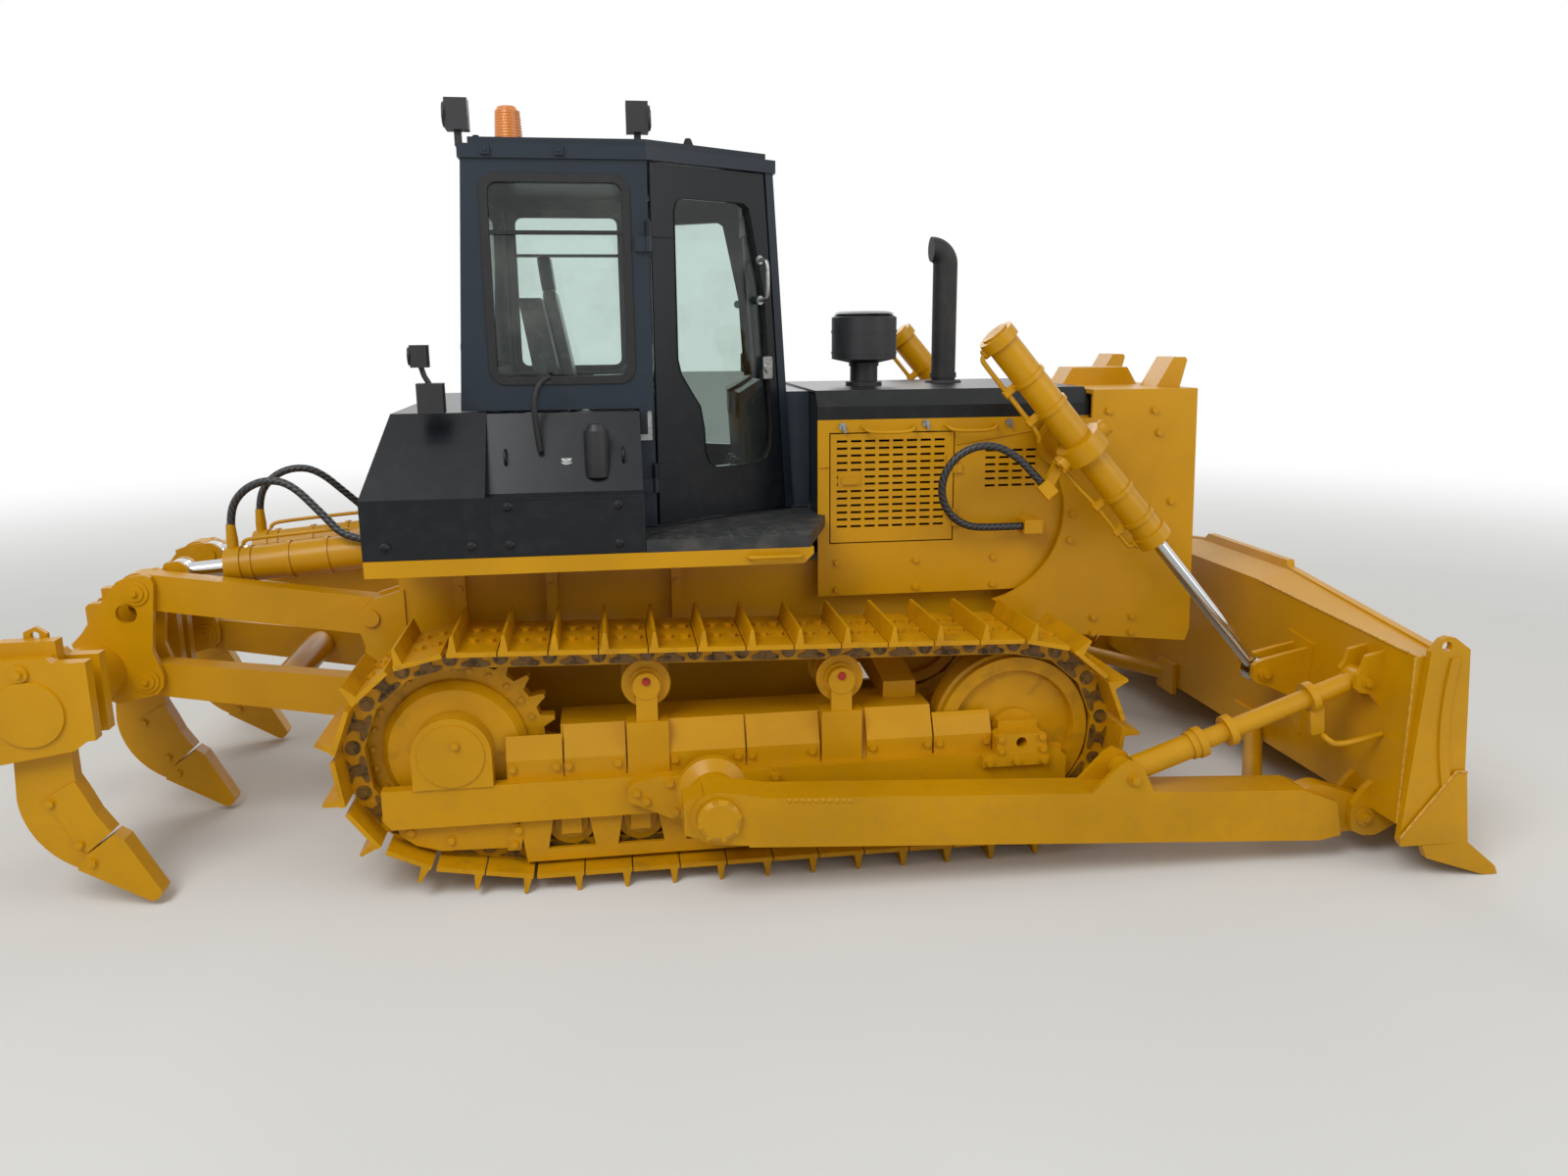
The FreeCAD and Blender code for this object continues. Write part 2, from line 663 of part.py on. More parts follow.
def sprocket_outline():
    """Teeth round the sprocket: root, flank, tip, flank."""
    count = int(float(size.tooth_count))
    turn = 2 * math.pi / count
    points = []
    for k in range(count):
        for share, radius in ((-0.28, size.tooth_root), (-0.08, size.tooth_tip),
                              (0.08, size.tooth_tip), (0.28, size.tooth_root)):
            angle = (k + share) * turn
            points.append(vec(size.sprocket_x + float(radius) * math.cos(angle), 0,
                              size.sprocket_z + float(radius) * math.sin(angle)))
    return Part.makePolygon(points + points[:1])


def make_sprockets():
    half = size.sprocket_width / 2
    teeth = shaped("sprocket_teeth", across(Part.Face(sprocket_outline()),
                                            -size.track_y - half, -size.track_y + half))
    at = (size.sprocket_x, -size.hull_y - size.seat_gap, size.sprocket_z)
    cover = size.drive_cover_y - size.hull_y
    hub = size.drive_hub_y - size.hull_y
    case = turned("final_drive", "y", at, [
        (0, 0), (250, 0), (250, -150), (290, -220), (290, -380), (size.drive_radius, -420),
        (size.drive_radius, 60 - cover), (size.drive_radius - 30, 20 - cover),
        (size.drive_hub_radius + 10, -cover), (size.drive_hub_radius, -hub),
        (size.drive_hub_radius - 60, -hub), (size.drive_hub_radius - 60, 20 - hub), (0, 20 - hub)])
    keep("sprockets", both("sprockets", fuse("sprocket_right", [teeth, case])))


def make_idlers():
    half = size.idler_width / 2
    tread = size.idler_radius
    axle_z = size.grouser_height + size.shoe_plate + size.link_outer + size.pitch_radius
    flange = size.rail_gap / 2 - 3
    rim = size.idler_radius + size.idler_flange
    at = (size.idler_x, -size.track_y, axle_z)
    wheel = turned("idler_right", "y", at, [
        (0, -half), (110, -half), (110, -half + 30), (tread - 70, -half + 45), (tread - 60, -half + 6),
        (tread, -half + 6), (tread, -flange), (rim, -flange + 8), (rim, flange - 8), (tread, flange),
        (tread, half - 6), (tread - 60, half - 6), (tread - 70, half - 45), (110, half - 30), (110, half),
        (0, half)])
    keep("idlers", both("idlers", wheel))


def roller(name, at, outer_stop):
    """A flanged roller on its shaft; outer_stop is how far its shaft reaches outwards."""
    half = size.roller_span / 2
    tread_in = size.rail_gap / 2 - 8
    tread_out = size.rail_gap / 2 + size.rail_width + 2
    return turned(name, "y", at, [
        (0, -outer_stop), (30, -outer_stop), (30, -half - 30), (70, -half - 30), (70, -half - 16),
        (size.roller_flange, -half - 16), (size.roller_flange, -tread_out), (size.roller_tread, -tread_out),
        (size.roller_tread, -tread_in), (size.roller_tread - 12, -tread_in),
        (size.roller_tread - 12, tread_in), (size.roller_tread, tread_in),
        (size.roller_tread, tread_out), (size.roller_flange, tread_out), (size.roller_flange, half + 16),
        (70, half + 16), (70, half + 30), (0, half + 30)])


def roller_axle_z():
    """Height of the bottom rollers' axles, above the lower run's rails."""
    rail = size.grouser_height + size.shoe_plate + size.link_outer + size.link_inner
    return rail + size.roller_tread + size.seat_gap


def idler_axle_z():
    return size.grouser_height + size.shoe_plate + size.link_outer + size.pitch_radius


def make_rollers():
    shaft = size.roller_span / 2 + 34
    rollers = []
    for k in range(int(float(size.roller_count))):
        at = (size.roller_first_x + k * size.roller_pitch, -size.track_y, roller_axle_z())
        rollers.append(roller("bottom_roller_" + str(k + 1), at, shaft))
    keep("bottom_rollers", both("bottom_rollers", group("bottom_rollers_right", rollers)))
    carriers = []
    for name, x in (("rear", size.carrier_rear_x), ("front", size.carrier_front_x)):
        drop = float(size.link_inner + size.roller_tread + size.seat_gap)
        at = (x, -size.track_y, upper_pitch_z(x) - drop)
        carriers.append(roller("carrier_roller_" + name, at, shaft))
    keep("carrier_rollers", both("carrier_rollers", group("carrier_rollers_right", carriers)))


def make_arch():
    """The hollow cap over the final drive's hub, standing on the side channel."""
    x, middle = size.sprocket_x, size.sprocket_z + size.arch_rise
    radius, foot = float(size.arch_radius), float(size.channel_top_z) - 2
    left, right, height = float(x) - radius, float(x) + radius, float(middle)
    cap = across(flat_face([
        ((left, foot), (left, height)), ((left, height), (float(x), height + radius), (right, height)),
        ((right, height), (right, foot)), ((right, foot), (left, foot))]),
        -size.channel_y - 8, -size.drive_cover_y - 4.3)
    hollow = pin((x, size.sprocket_z), size.drive_hub_radius + 17, -size.drive_hub_y - size.seat_gap,
                 -size.drive_cover_y)
    rim = pin((x, middle), size.arch_radius - 28, -size.channel_y - 14, -size.channel_y)
    return cap.fuse(rim).cut(hollow)


def make_frame_covers():
    """Sloping covers between the carrier rollers' blocks: (name, rear end, front end, kind)."""
    half = size.carrier_block_width / 2
    seam = size.cover_seam
    split_x = (size.carrier_rear_x + size.carrier_front_x) / 2
    y, foot, bend = size.cover_y, size.channel_top_z - 2, size.cover_break_z
    top = size.frame_top_z + 2
    full = [(-y, foot), (-y, bend), (-size.frame_top_y - 10, top), (-size.frame_top_y + 30, top),
            (-size.frame_top_y + 30, foot)]
    stay = size.drive_cover_y + 6
    rear = [(-y, foot), (-y, bend), (-stay, top - 32), (-stay, size.frame_low_z),
            (-size.frame_outer_y - 1, size.frame_low_z), (-size.frame_outer_y - 1, foot)]
    stay_front = size.track_y + size.idler_width / 2 + 3
    front = [(-y, foot), (-y, bend), (-stay_front - 14, bend + 78), (-stay_front, bend + 93), (-stay_front, foot)]
    spans = (
        ("rear", size.cover_rear_x, size.frame_rear_x + 5, rear),
        ("behind", size.frame_rear_x + 5 + seam, size.carrier_rear_x - half - seam, full),
        ("between_rear", size.carrier_rear_x + half, split_x - seam / 2, full),
        ("between_front", split_x + seam / 2, size.carrier_front_x - half - seam, full),
        ("before", size.carrier_front_x + half + 26, size.frame_front_x, full),
        ("nose", size.frame_front_x + seam, size.idler_x - 124, front),
    )
    return [prism("frame_cover_" + name, "YZ", outline, low, high) for name, low, high, outline in spans]


def make_track_frames():
    beam = prism("frame_box", "YZ", [
        (-size.frame_inner_y, size.frame_low_z), (-size.frame_inner_y, size.frame_top_z),
        (-size.frame_top_y, size.frame_top_z), (-size.frame_outer_y, size.channel_top_z),
        (-size.frame_outer_y, size.frame_low_z)], size.frame_rear_x, size.frame_front_x)
    channel = prism("frame_channel", "XZ", [
        (size.channel_rear_x, size.channel_low_z + 40), (size.channel_rear_x + 30, size.channel_low_z),
        (size.channel_front_x - 30, size.channel_low_z), (size.channel_front_x, size.channel_low_z + 40),
        (size.channel_front_x, size.channel_top_z - 30), (size.channel_front_x - 30, size.channel_top_z),
        (size.channel_rear_x, size.channel_top_z)], -size.channel_y, -size.frame_outer_y)
    low = size.channel_low_z
    x = size.sprocket_x
    drive_guard = prism("drive_guard", "XZ", [
        (x - 251, low + 20), (x - 251, low + 2), (x - 231, low - 48), (x - 171, low - 95), (x - 71, low - 125),
        (x + 234, low - 132), (x + 249, low - 115), (x + 249, low + 20)],
        -size.frame_outer_y - 16, -size.frame_outer_y + 12)
    foot = size.channel_top_z
    x = size.idler_x
    guide = prism("idler_guide", "XZ", [
        (x - 119, foot - 2), (x + 106, foot - 2), (x + 106, foot + 80), (x + 90, foot + 95), (x - 100, foot + 95),
        (x - 119, foot + 80)], -size.channel_y - 25, -size.frame_outer_y + 12, rounds=[((x - 9, foot + 56), 24)])
    flange = prism("idler_guide_foot", "XZ", [
        (x - 184, foot - 50), (x + 121, foot - 50), (x + 121, foot - 5), (x + 110, foot + 10),
        (x - 170, foot + 10), (x - 184, foot - 5)], -size.channel_y - 28, -size.channel_y + 2)
    axle = idler_axle_z()
    inner_y = size.track_y - size.idler_width / 2 - size.seat_gap
    inner_bar = box("inner_bar", (size.frame_front_x - 40, size.channel_front_x), (-inner_y, -inner_y + 40),
                    (axle - 70, axle + 45))
    outer_y = size.track_y + size.idler_width / 2 + size.seat_gap
    nose = box("frame_nose", (size.frame_front_x - 100, size.channel_front_x),
               (-size.frame_outer_y, -outer_y), (size.frame_low_z, size.channel_top_z))
    bearing = box("idler_bearing", (size.idler_x - 90, size.idler_x + 90), (-size.frame_outer_y, -outer_y),
                  (size.channel_top_z - 10, axle + 70))
    windows = []
    collars = []
    axle_low = roller_axle_z()
    shaft_out = size.track_y + size.roller_span / 2 + 34 + size.seat_gap
    shaft_in = size.track_y - size.roller_span / 2 - 30 - size.seat_gap
    guard_back = size.guard_y - size.guard_plate
    for k in range(int(float(size.roller_count))):
        x = size.roller_first_x + k * size.roller_pitch
        windows.append([(x - 100, size.guard_low_z + 55), (x + 100, size.guard_low_z + 55),
                        (x + 70, size.channel_low_z + 20), (x - 70, size.channel_low_z + 20)])
        collars.append(box("collar_outer_" + str(k + 1), (x - 42, x + 42), (-guard_back - 4, -shaft_out),
                           (axle_low - 40, size.frame_low_z + 2)))
        collars.append(box("collar_inner_" + str(k + 1), (x - 42, x + 42), (-shaft_in, -size.frame_inner_y + 10),
                           (axle_low - 40, size.frame_low_z + 30)))
    last_x = size.roller_first_x + (size.roller_count - 1) * size.roller_pitch
    guard = prism("roller_guard", "XZ", [
        (size.roller_first_x - 190, size.guard_low_z), (last_x + 190, size.guard_low_z),
        (last_x + 220, size.channel_low_z + 20), (size.roller_first_x - 220, size.channel_low_z + 20)],
        -size.guard_y, -guard_back, holes=windows)
    posts = []
    for name, x in (("rear", size.carrier_rear_x), ("front", size.carrier_front_x)):
        half = size.carrier_post_width / 2
        block_half = size.carrier_block_width / 2
        axle_top = upper_pitch_z(x) - float(size.link_inner + size.roller_tread + size.seat_gap)
        posts.append(box("carrier_block_" + name, (x - block_half, x + block_half),
                         (-size.frame_outer_y - 20, -size.frame_top_y + 20),
                         (size.channel_top_z - 2, size.frame_top_z + 16)))
        posts.append(box("carrier_post_" + name, (x - half, x + half), (-shaft_out - 30, -shaft_out),
                         (size.frame_top_z, axle_top)))
        posts.append(rod("carrier_eye_" + name, "y", (x, axle_top), 58, -shaft_out - 34, -shaft_out))
    x, z = size.trunnion_x, size.trunnion_z
    plate = prism("trunnion_plate", "XZ", [
        (x - 354, z - 23), (x - 260, z - 68), (x - 180, z - 108), (x + 300, z - 108), (x + 300, z + 32),
        (x + 250, z + 82), (x - 230, z + 82), (x - 330, z + 58), (x - 354, z + 37)],
        -size.channel_y - 45, -size.channel_y + 2)
    stub = turned("trunnion", "y", (size.trunnion_x, -size.channel_y, size.trunnion_z), [
        (0, 0), (150, 0), (150, -45), (105, -85), (105, -size.arm_inner_y + size.channel_y + 5),
        (size.trunnion_radius, -size.arm_inner_y + size.channel_y + 5),
        (size.trunnion_radius, -size.arm_outer_y + size.channel_y - 4),
        (88, -size.arm_outer_y + size.channel_y - 4), (88, -size.arm_outer_y + size.channel_y - 22),
        (70, -size.arm_outer_y + size.channel_y - 34), (0, -size.arm_outer_y + size.channel_y - 34)])
    arch = shaped("frame_arch", make_arch())
    right = fuse("track_frame_right", [beam, channel, arch, drive_guard, guide, flange, inner_bar, nose, bearing, guard]
                 + make_frame_covers() + collars + posts + [plate, stub])
    keep("track_frames", both("track_frames", right))


def make_equalizer():
    top = size.belly_z - 2
    half = size.bar_length / 2
    rest = size.frame_top_z + size.seat_gap
    bar = prism("equalizer_bar", "YZ", [
        (-size.frame_inner_y - 110, rest), (-size.frame_inner_y + 60, rest), (-260, rest + 30),
        (260, rest + 30), (size.frame_inner_y - 60, rest), (size.frame_inner_y + 110, rest),
        (size.frame_inner_y + 110, rest + 75), (320, top - 20), (150, top), (-150, top), (-320, top - 20),
        (-size.frame_inner_y - 110, rest + 75)], size.bar_x - half, size.bar_x + half,
        rounds=[((0, size.belly_z - 80), 40.0 + size.pin_gap)])
    keep("equalizer_bar", bar)


# Main frame and housing

def make_main_frame():
    front_x = size.hood_front_x + 20
    case = prism("main_case", "XZ", [
        (size.hull_rear_x, size.hull_low_z + 120), (size.hull_rear_x + 130, size.hull_low_z),
        (size.hull_step_x - 60, size.hull_low_z), (size.hull_step_x + 60, size.belly_z),
        (front_x, size.belly_z), (front_x, size.skirt_low_z),
        (size.hull_step_x, size.skirt_low_z), (size.hull_step_x - 60, size.hull_top_z),
        (size.hull_rear_x, size.hull_top_z)], -size.hull_y, size.hull_y)
    saddle_x = (size.bar_x - size.bar_length / 2 - 42, size.bar_x + size.bar_length / 2 + 42)
    saddles = []
    for name, low, high in (("rear", saddle_x[0], saddle_x[0] + 40), ("front", saddle_x[1] - 40, saddle_x[1])):
        saddles.append(prism("saddle_" + name, "YZ", [
            (-140, size.belly_z + 10), (-90, size.belly_z - 150), (90, size.belly_z - 150),
            (140, size.belly_z + 10)], low, high))
    saddle_pin = rod("saddle_pin", "x", (0, size.belly_z - 80), 40, saddle_x[0] - 12, saddle_x[1] + 12)
    lugs = []
    edge = size.ripper_arm_width / 2 + 3
    for name, low in (("inner", size.ripper_arm_y - edge - 34), ("outer", size.ripper_arm_y + edge)):
        for side, (start, end) in (("right", (-low - 34, -low)), ("left", (low, low + 34))):
            lugs.append(prism("ripper_lug_" + name + "_" + side, "XZ", [
                (size.hull_rear_x + 20, size.ripper_low_z - 110), (size.ripper_hull_x + 20, size.ripper_low_z - 110),
                (size.ripper_hull_x - 60, size.ripper_low_z - 72), (size.ripper_hull_x - 85, size.ripper_low_z - 20),
                (size.ripper_hull_x - 80, size.ripper_low_z + 50), (size.ripper_hull_x - 38, size.ripper_low_z + 150),
                (size.ripper_hull_x - 35, size.ripper_high_z - 130), (size.ripper_hull_x - 61, size.ripper_high_z - 30),
                (size.ripper_hull_x - 52, size.ripper_high_z + 22), (size.ripper_hull_x + 12, size.ripper_high_z + 85),
                (size.hull_rear_x + 20, size.ripper_high_z + 125)],
                start, end))
    ribs = []
    for k, x in enumerate((size.sprocket_x, size.rib_middle_x, size.rib_front_x)):
        for side, start, end in (("right", -size.hull_y - size.rib_depth, -size.hull_y + 2),
                                 ("left", size.hull_y - 2, size.hull_y + size.rib_depth)):
            ribs.append(prism("hull_rib_" + side + "_" + str(k + 1), "XZ", [
                (x - 26, size.rib_low_z), (x + 26, size.rib_low_z), (x + 26, size.hull_top_z),
                (x - 26, size.hull_top_z)], start, end))
    pins = []
    for side in (-1, 1):
        for z in (size.ripper_low_z, size.ripper_high_z):
            reach = edge + 34 + 14
            low = side * size.ripper_arm_y - reach
            pins.append(shaped("ripper_pin", pin((size.ripper_hull_x, z), size.ripper_pin_radius,
                                                 low, low + 2 * reach)))
    cylinder_lugs = []
    eye_half = 42
    for side in (-1, 1):
        centre = side * size.ripper_cyl_y
        for low in (centre - eye_half - 3 - 26, centre + eye_half + 3):
            face = link_face((size.ripper_cyl_x, size.ripper_cyl_z),
                             (size.hull_rear_x + 60, size.hull_top_z - 30), 62, 85)
            cylinder_lugs.append(shaped("ripper_cylinder_lug", across(face, low, low + 26)))
        reach = eye_half + 3 + 26 + 12
        cylinder_lugs.append(shaped("ripper_cylinder_pin", pin(
            (size.ripper_cyl_x, size.ripper_cyl_z), 32, centre - reach, centre + reach)))
    mount = box("cab_mount", (size.tank_front_x + 2, size.cab_front_x - 205), (-size.hull_y, size.hull_y),
                (size.hull_top_z - 1, size.cab_floor_z - 40 - 2 * size.seat_gap))
    tank_seat = box("tank_seat", (size.hull_rear_x, size.tank_front_x + 3), (-size.hull_y, size.hull_y),
                    (size.hull_top_z - 1, size.fender_top_z))
    fittings = []
    port = RIPPER_ROUTE[-1]
    for side in (-1, 1):
        fittings.append(rod("ripper_hose_fitting", "x", (-side * port[1], port[2]), size.fitting_radius,
                            port[0], size.hull_rear_x + 5))
    keep("main_frame", fuse("main_frame", [case, mount, tank_seat] + saddles + [saddle_pin] + ribs + lugs + pins
                            + cylinder_lugs + fittings))


def make_engine():
    base = size.skirt_low_z + size.seat_gap
    block = box("engine_block", (size.hood_rear_x + 130, size.hood_front_x - 260), (-260, 260),
                (base, base + 560))
    head = box("engine_head", (size.hood_rear_x + 170, size.hood_front_x - 300), (-170, 170),
               (base + 560, base + 720))
    keep("engine", fuse("engine", [block, head]))


def make_hood():
    wall = size.hood_wall
    skin_top = size.hood_top_z
    shoulder = 70
    top = prism("hood_shell", "YZ", [
        (-size.hood_y, size.hood_line_z), (-size.hood_y, skin_top - shoulder), (-size.hood_y + shoulder, skin_top),
        (size.hood_y - shoulder, skin_top), (size.hood_y, skin_top - shoulder), (size.hood_y, size.hood_line_z),
        (size.hood_y - wall, size.hood_line_z), (size.hood_y - wall, skin_top - shoulder - 4),
        (size.hood_y - shoulder - 4, skin_top - wall), (-size.hood_y + shoulder + 4, skin_top - wall),
        (-size.hood_y + wall, skin_top - shoulder - 4), (-size.hood_y + wall, size.hood_line_z)],
        size.hood_rear_x, size.hood_front_x)
    keep("hood_top", top)


def vent_slots(name, first_x, columns, top_z, rows, low_y, high_y):
    """Rows of slots from the top down, as one cutting shape."""
    slots = []
    length, height = float(size.vent_length), float(size.vent_height)
    for row in range(rows):
        z = float(top_z) - row * float(size.vent_pitch_z) - height / 2
        for k in range(columns):
            x = float(first_x) + k * float(size.vent_pitch_x)
            slots.append(Part.makeBox(length, float(high_y) - float(low_y), height, vec(x, low_y, z)))
    return shaped(name, Part.makeCompound(slots))


def make_side_panels():
    wall = size.hood_wall
    gap = size.door_gap
    opening = [(size.door_rear_x - gap, size.door_low_z - gap), (size.door_front_x + gap, size.door_low_z - gap),
               (size.door_front_x + gap, size.door_top_z + gap), (size.door_rear_x - gap, size.door_top_z + gap)]
    line = size.hood_line_z - size.seat_gap
    sheet_right = prism("side_panel_sheet", "XZ", [
        (size.hood_rear_x, size.skirt_low_z), (size.hood_front_x, size.skirt_low_z),
        (size.hood_front_x, line), (size.hood_rear_x, line)],
        -size.hood_y, -size.hood_y + wall, holes=[opening])
    vents = vent_slots("side_panel_vents", size.door_front_x + 156, 4, size.vent_top_z - 57, 6,
                       -size.hood_y - 5, -size.hood_y + wall + 5)
    panel = cut("side_panel_vented", sheet_right, [vents])
    ledge = box("side_panel_ledge", (size.hull_step_x + 2, size.hood_front_x - 200),
                (-size.hood_y + wall, -size.hull_y + 30), (size.skirt_low_z + size.seat_gap, size.skirt_low_z + 40))
    port = LIFT_ROUTE[-1]
    block = box("lift_hose_block", (port[0], port[0] + 90), (port[1] - 30, -size.hood_y + 2),
                (port[2] - 32, port[2] + 32))
    hinges = []
    for name, z in ENGINE_HINGES:
        leaf = box("door_hinge_leaf_" + name, (size.door_hinge_x, size.door_hinge_x + 34),
                   (-size.door_hinge_y - 4, -size.hood_y + 1), (z - 40, z - size.seat_gap))
        knuckle = rod("door_hinge_knuckle_" + name, "z", (size.door_hinge_x, -size.door_hinge_y),
                      size.door_knuckle_radius, z - 40, z - size.seat_gap)
        hinge_pin = rod("door_hinge_pin_" + name, "z", (size.door_hinge_x, -size.door_hinge_y),
                        size.door_hinge_pin, z - 40, z + 44)
        hinges += [leaf, knuckle, hinge_pin]
    keep("side_panels", both("side_panels", fuse("side_panel_right", [panel, ledge, block] + hinges)))


def make_engine_doors():
    wall = size.hood_wall
    sheet_right = prism("engine_door_sheet", "XZ", [
        (size.door_rear_x, size.door_low_z), (size.door_front_x, size.door_low_z),
        (size.door_front_x, size.door_top_z), (size.door_rear_x, size.door_top_z)],
        -size.hood_y, -size.hood_y + wall)
    vents = vent_slots("engine_door_vents", size.vent_first_x, int(float(size.vent_columns)), size.vent_top_z,
                       int(float(size.vent_rows)), -size.hood_y - 5, -size.hood_y + wall + 5)
    door = cut("engine_door_vented", sheet_right, [vents])
    leaves, bores = [], []
    for name, z in ENGINE_HINGES:
        at = (size.door_hinge_x, -size.door_hinge_y)
        leaves.append(box("door_leaf_" + name, (size.door_front_x - 34, size.door_hinge_x),
                          (-size.door_hinge_y - 4, -size.hood_y - 1), (z, z + 40)))
        leaves.append(box("door_leaf_pad_" + name, (size.door_front_x - 34, size.door_front_x - 2),
                          (-size.hood_y - 2, -size.hood_y + 1), (z, z + 40)))
        leaves.append(rod("door_knuckle_" + name, "z", at, size.door_knuckle_radius, z, z + 40))
        bores.append(rod("door_bore_" + name, "z", at, size.door_hinge_pin + size.pin_gap, z - 5, z + 45))
    hung = cut("engine_door_right", fuse("engine_door_leaves", [door] + leaves), bores)
    keep("engine_door_right", hung)
    keep("engine_door_left", mirror("engine_door_left", hung))


def make_radiator_guard():
    wall = size.guard_wall
    y = size.guard_housing_y
    top = size.hood_top_z - 10
    rear, front = float(size.guard_rear_x), float(size.guard_front_x)
    line = float(size.hood_line_z) - 10
    foot = float(size.guard_bottom_z)
    hood = float(size.hood_front_x) + 1
    cap = float(top)
    # The rear edge bends forward below the yoke and sweeps back to the lower side plate.
    waist = (rear + 109, line - 375)
    heel = (rear - 229, float(size.skirt_low_z) - 39)
    edges = flat_face([
        ((hood, cap), (hood, line)), ((hood, line), (rear, line)), ((rear, line), (rear, line - 42)),
        ((rear, line - 42), (rear + 70, line - 250), waist), (waist, (rear + 30, foot + 415), heel),
        (heel, (rear + 90, foot + 70)), ((rear + 90, foot + 70), (front + 20, foot)),
        ((front + 20, foot), (front + 40, foot + 60)), ((front + 40, foot + 60), (front, cap)),
        ((front, cap), (hood, cap))])
    side = shaped("guard_side", across(edges, -y, -y + wall))
    left = mirror("guard_side_left", side)
    roof = box("guard_roof", (size.hood_front_x + 1, size.guard_front_x), (-y + wall, y - wall), (top - wall, top))
    floor = box("guard_floor", (size.hood_front_x + 21, size.guard_front_x + 10), (-y + wall, y - wall),
                (size.guard_bottom_z + 50, size.guard_bottom_z + 78))
    core = box("radiator_core", (size.guard_front_x - 250, size.guard_front_x - 130), (-y + wall, y - wall),
               (size.guard_bottom_z + 78, top - wall))
    frame = prism("grille_frame", "YZ", [
        (-y + wall, size.guard_bottom_z + 78), (y - wall, size.guard_bottom_z + 78),
        (y - wall, top - wall), (-y + wall, top - wall)], size.guard_front_x - 40, size.guard_front_x - 20,
        holes=[[(-y + 90, size.guard_bottom_z + 150), (y - 90, size.guard_bottom_z + 150),
                (y - 90, size.hood_top_z - 110), (-y + 90, size.hood_top_z - 110)]])
    rail_x = size.hood_front_x + 20 + size.seat_gap
    rails = box("guard_rails", (rail_x, rail_x + 110), (-y + wall, y - wall),
                (size.guard_bottom_z + 50, size.skirt_low_z))
    inner = size.hull_y + size.seat_gap
    strips = []
    for name, (low, high) in (("right", (-y + wall, -inner)), ("left", (inner, y - wall))):
        strips.append(box("guard_strip_" + name, (size.guard_rear_x, rail_x), (low, high),
                          (size.belly_z + 20, size.skirt_low_z - 12)))
    bosses = [rod("yoke_boss_right", "y", (size.yoke_x, size.yoke_z), size.yoke_boss_radius, -y - 12, -y),
              rod("yoke_boss_left", "y", (size.yoke_x, size.yoke_z), size.yoke_boss_radius, y, y + 12)]
    x = size.guard_front_x
    cover = prism("cap_cover", "XZ", [(x - 470, top - 2), (x - 70, top - 2), (x - 124, top + 84), (x - 420, top + 84)],
                  -90, 90)
    keep("radiator_guard", fuse("radiator_guard", [side, left, roof, floor, core, frame, rails, cover]
                                + strips + bosses))


def make_grille():
    y = size.guard_housing_y - 90 - size.seat_gap
    low = size.guard_bottom_z + 150 + size.seat_gap
    high = size.hood_top_z - 110 - size.seat_gap
    back = size.guard_front_x - 40
    bars = []
    count = int(float(size.grille_count))
    for k in range(count):
        z = low + (k + 0.5) * (high - low) / count
        bars.append(box("grille_bar_" + str(k + 1), (back, back + 16), (-y, y),
                        (z - size.grille_bar / 2, z + size.grille_bar / 2)))
    for k, y0 in enumerate((-y, -size.grille_bar / 2, y - size.grille_bar)):
        bars.append(box("grille_post_" + str(k + 1), (back + 2, back + 14), (y0, y0 + size.grille_bar), (low, high)))
    keep("grille", fuse("grille", bars))


def make_front_lamps():
    base = size.hood_top_z - 10 + size.seat_gap
    back = size.guard_front_x - 130
    cover = prism("lamp_housing", "XZ", [
        (back, base), (size.guard_front_x - 10, base), (size.guard_front_x + 20, base + 125),
        (size.guard_front_x + 12, base + 140), (back + 80, base + 140)], -440, -260)
    recess = box("lamp_recess", (size.guard_front_x - 25, size.guard_front_x + 60), (-425, -275), (base + 18, base + 128))
    keep("front_lamps", both("front_lamps", cut("front_lamp_right", cover, [recess])))
    lens = box("lamp_lens_right", (size.guard_front_x - 24.7, size.guard_front_x - 14), (-415, -285),
               (base + 25, base + 118))
    keep("lamp_lenses", both("lamp_lenses", lens))


def make_stack():
    base = size.hood_top_z + size.seat_gap
    cleaner = turned("precleaner", "z", (653, -60, base), [
        (0, 0), (90, 0), (90, 20), (68, 24), (68, 110), (160, 130), (160, 330), (135, 345), (0, 345)])
    keep("precleaner", cleaner)
    path = Part.Wire([
        Part.LineSegment(vec(1113, 120, base), vec(1113, 120, base + 590)).toShape(),
        Part.Arc(vec(1113, 120, base + 590), vec(1091, 120, base + 643), vec(1038, 120, base + 665)).toShape()])
    ring = Part.Wire([Part.makeCircle(62, vec(1113, 120, base), vec(0, 0, 1))])
    keep("exhaust_pipe", shaped("exhaust_pipe", path.makePipeShell([ring], True, True)))


# Cab

def cab_side_outline():
    """Right side of the cab, an XZ outline from the rear to the door post."""
    return [(size.cab_rear_x, size.cab_side_z), (size.cab_post_x, size.cab_side_z),
            (size.cab_post_x, size.cab_roof_z), (size.cab_rear_x + 60, size.cab_roof_z)]


def round_corners(low_x, high_x, low_z, high_z, radius):
    """An upright rectangle with rounded corners, four points to a corner."""
    points = []
    for x, z, start in ((high_x, low_z, -90), (high_x, high_z, 0), (low_x, high_z, 90), (low_x, low_z, 180)):
        middle_x = x - radius if start in (-90, 0) else x + radius
        middle_z = z + radius if start in (-90, 180) else z - radius
        for step in range(4):
            angle = math.radians(start + 30 * step)
            points.append((middle_x + radius * math.cos(angle), middle_z + radius * math.sin(angle)))
    return points


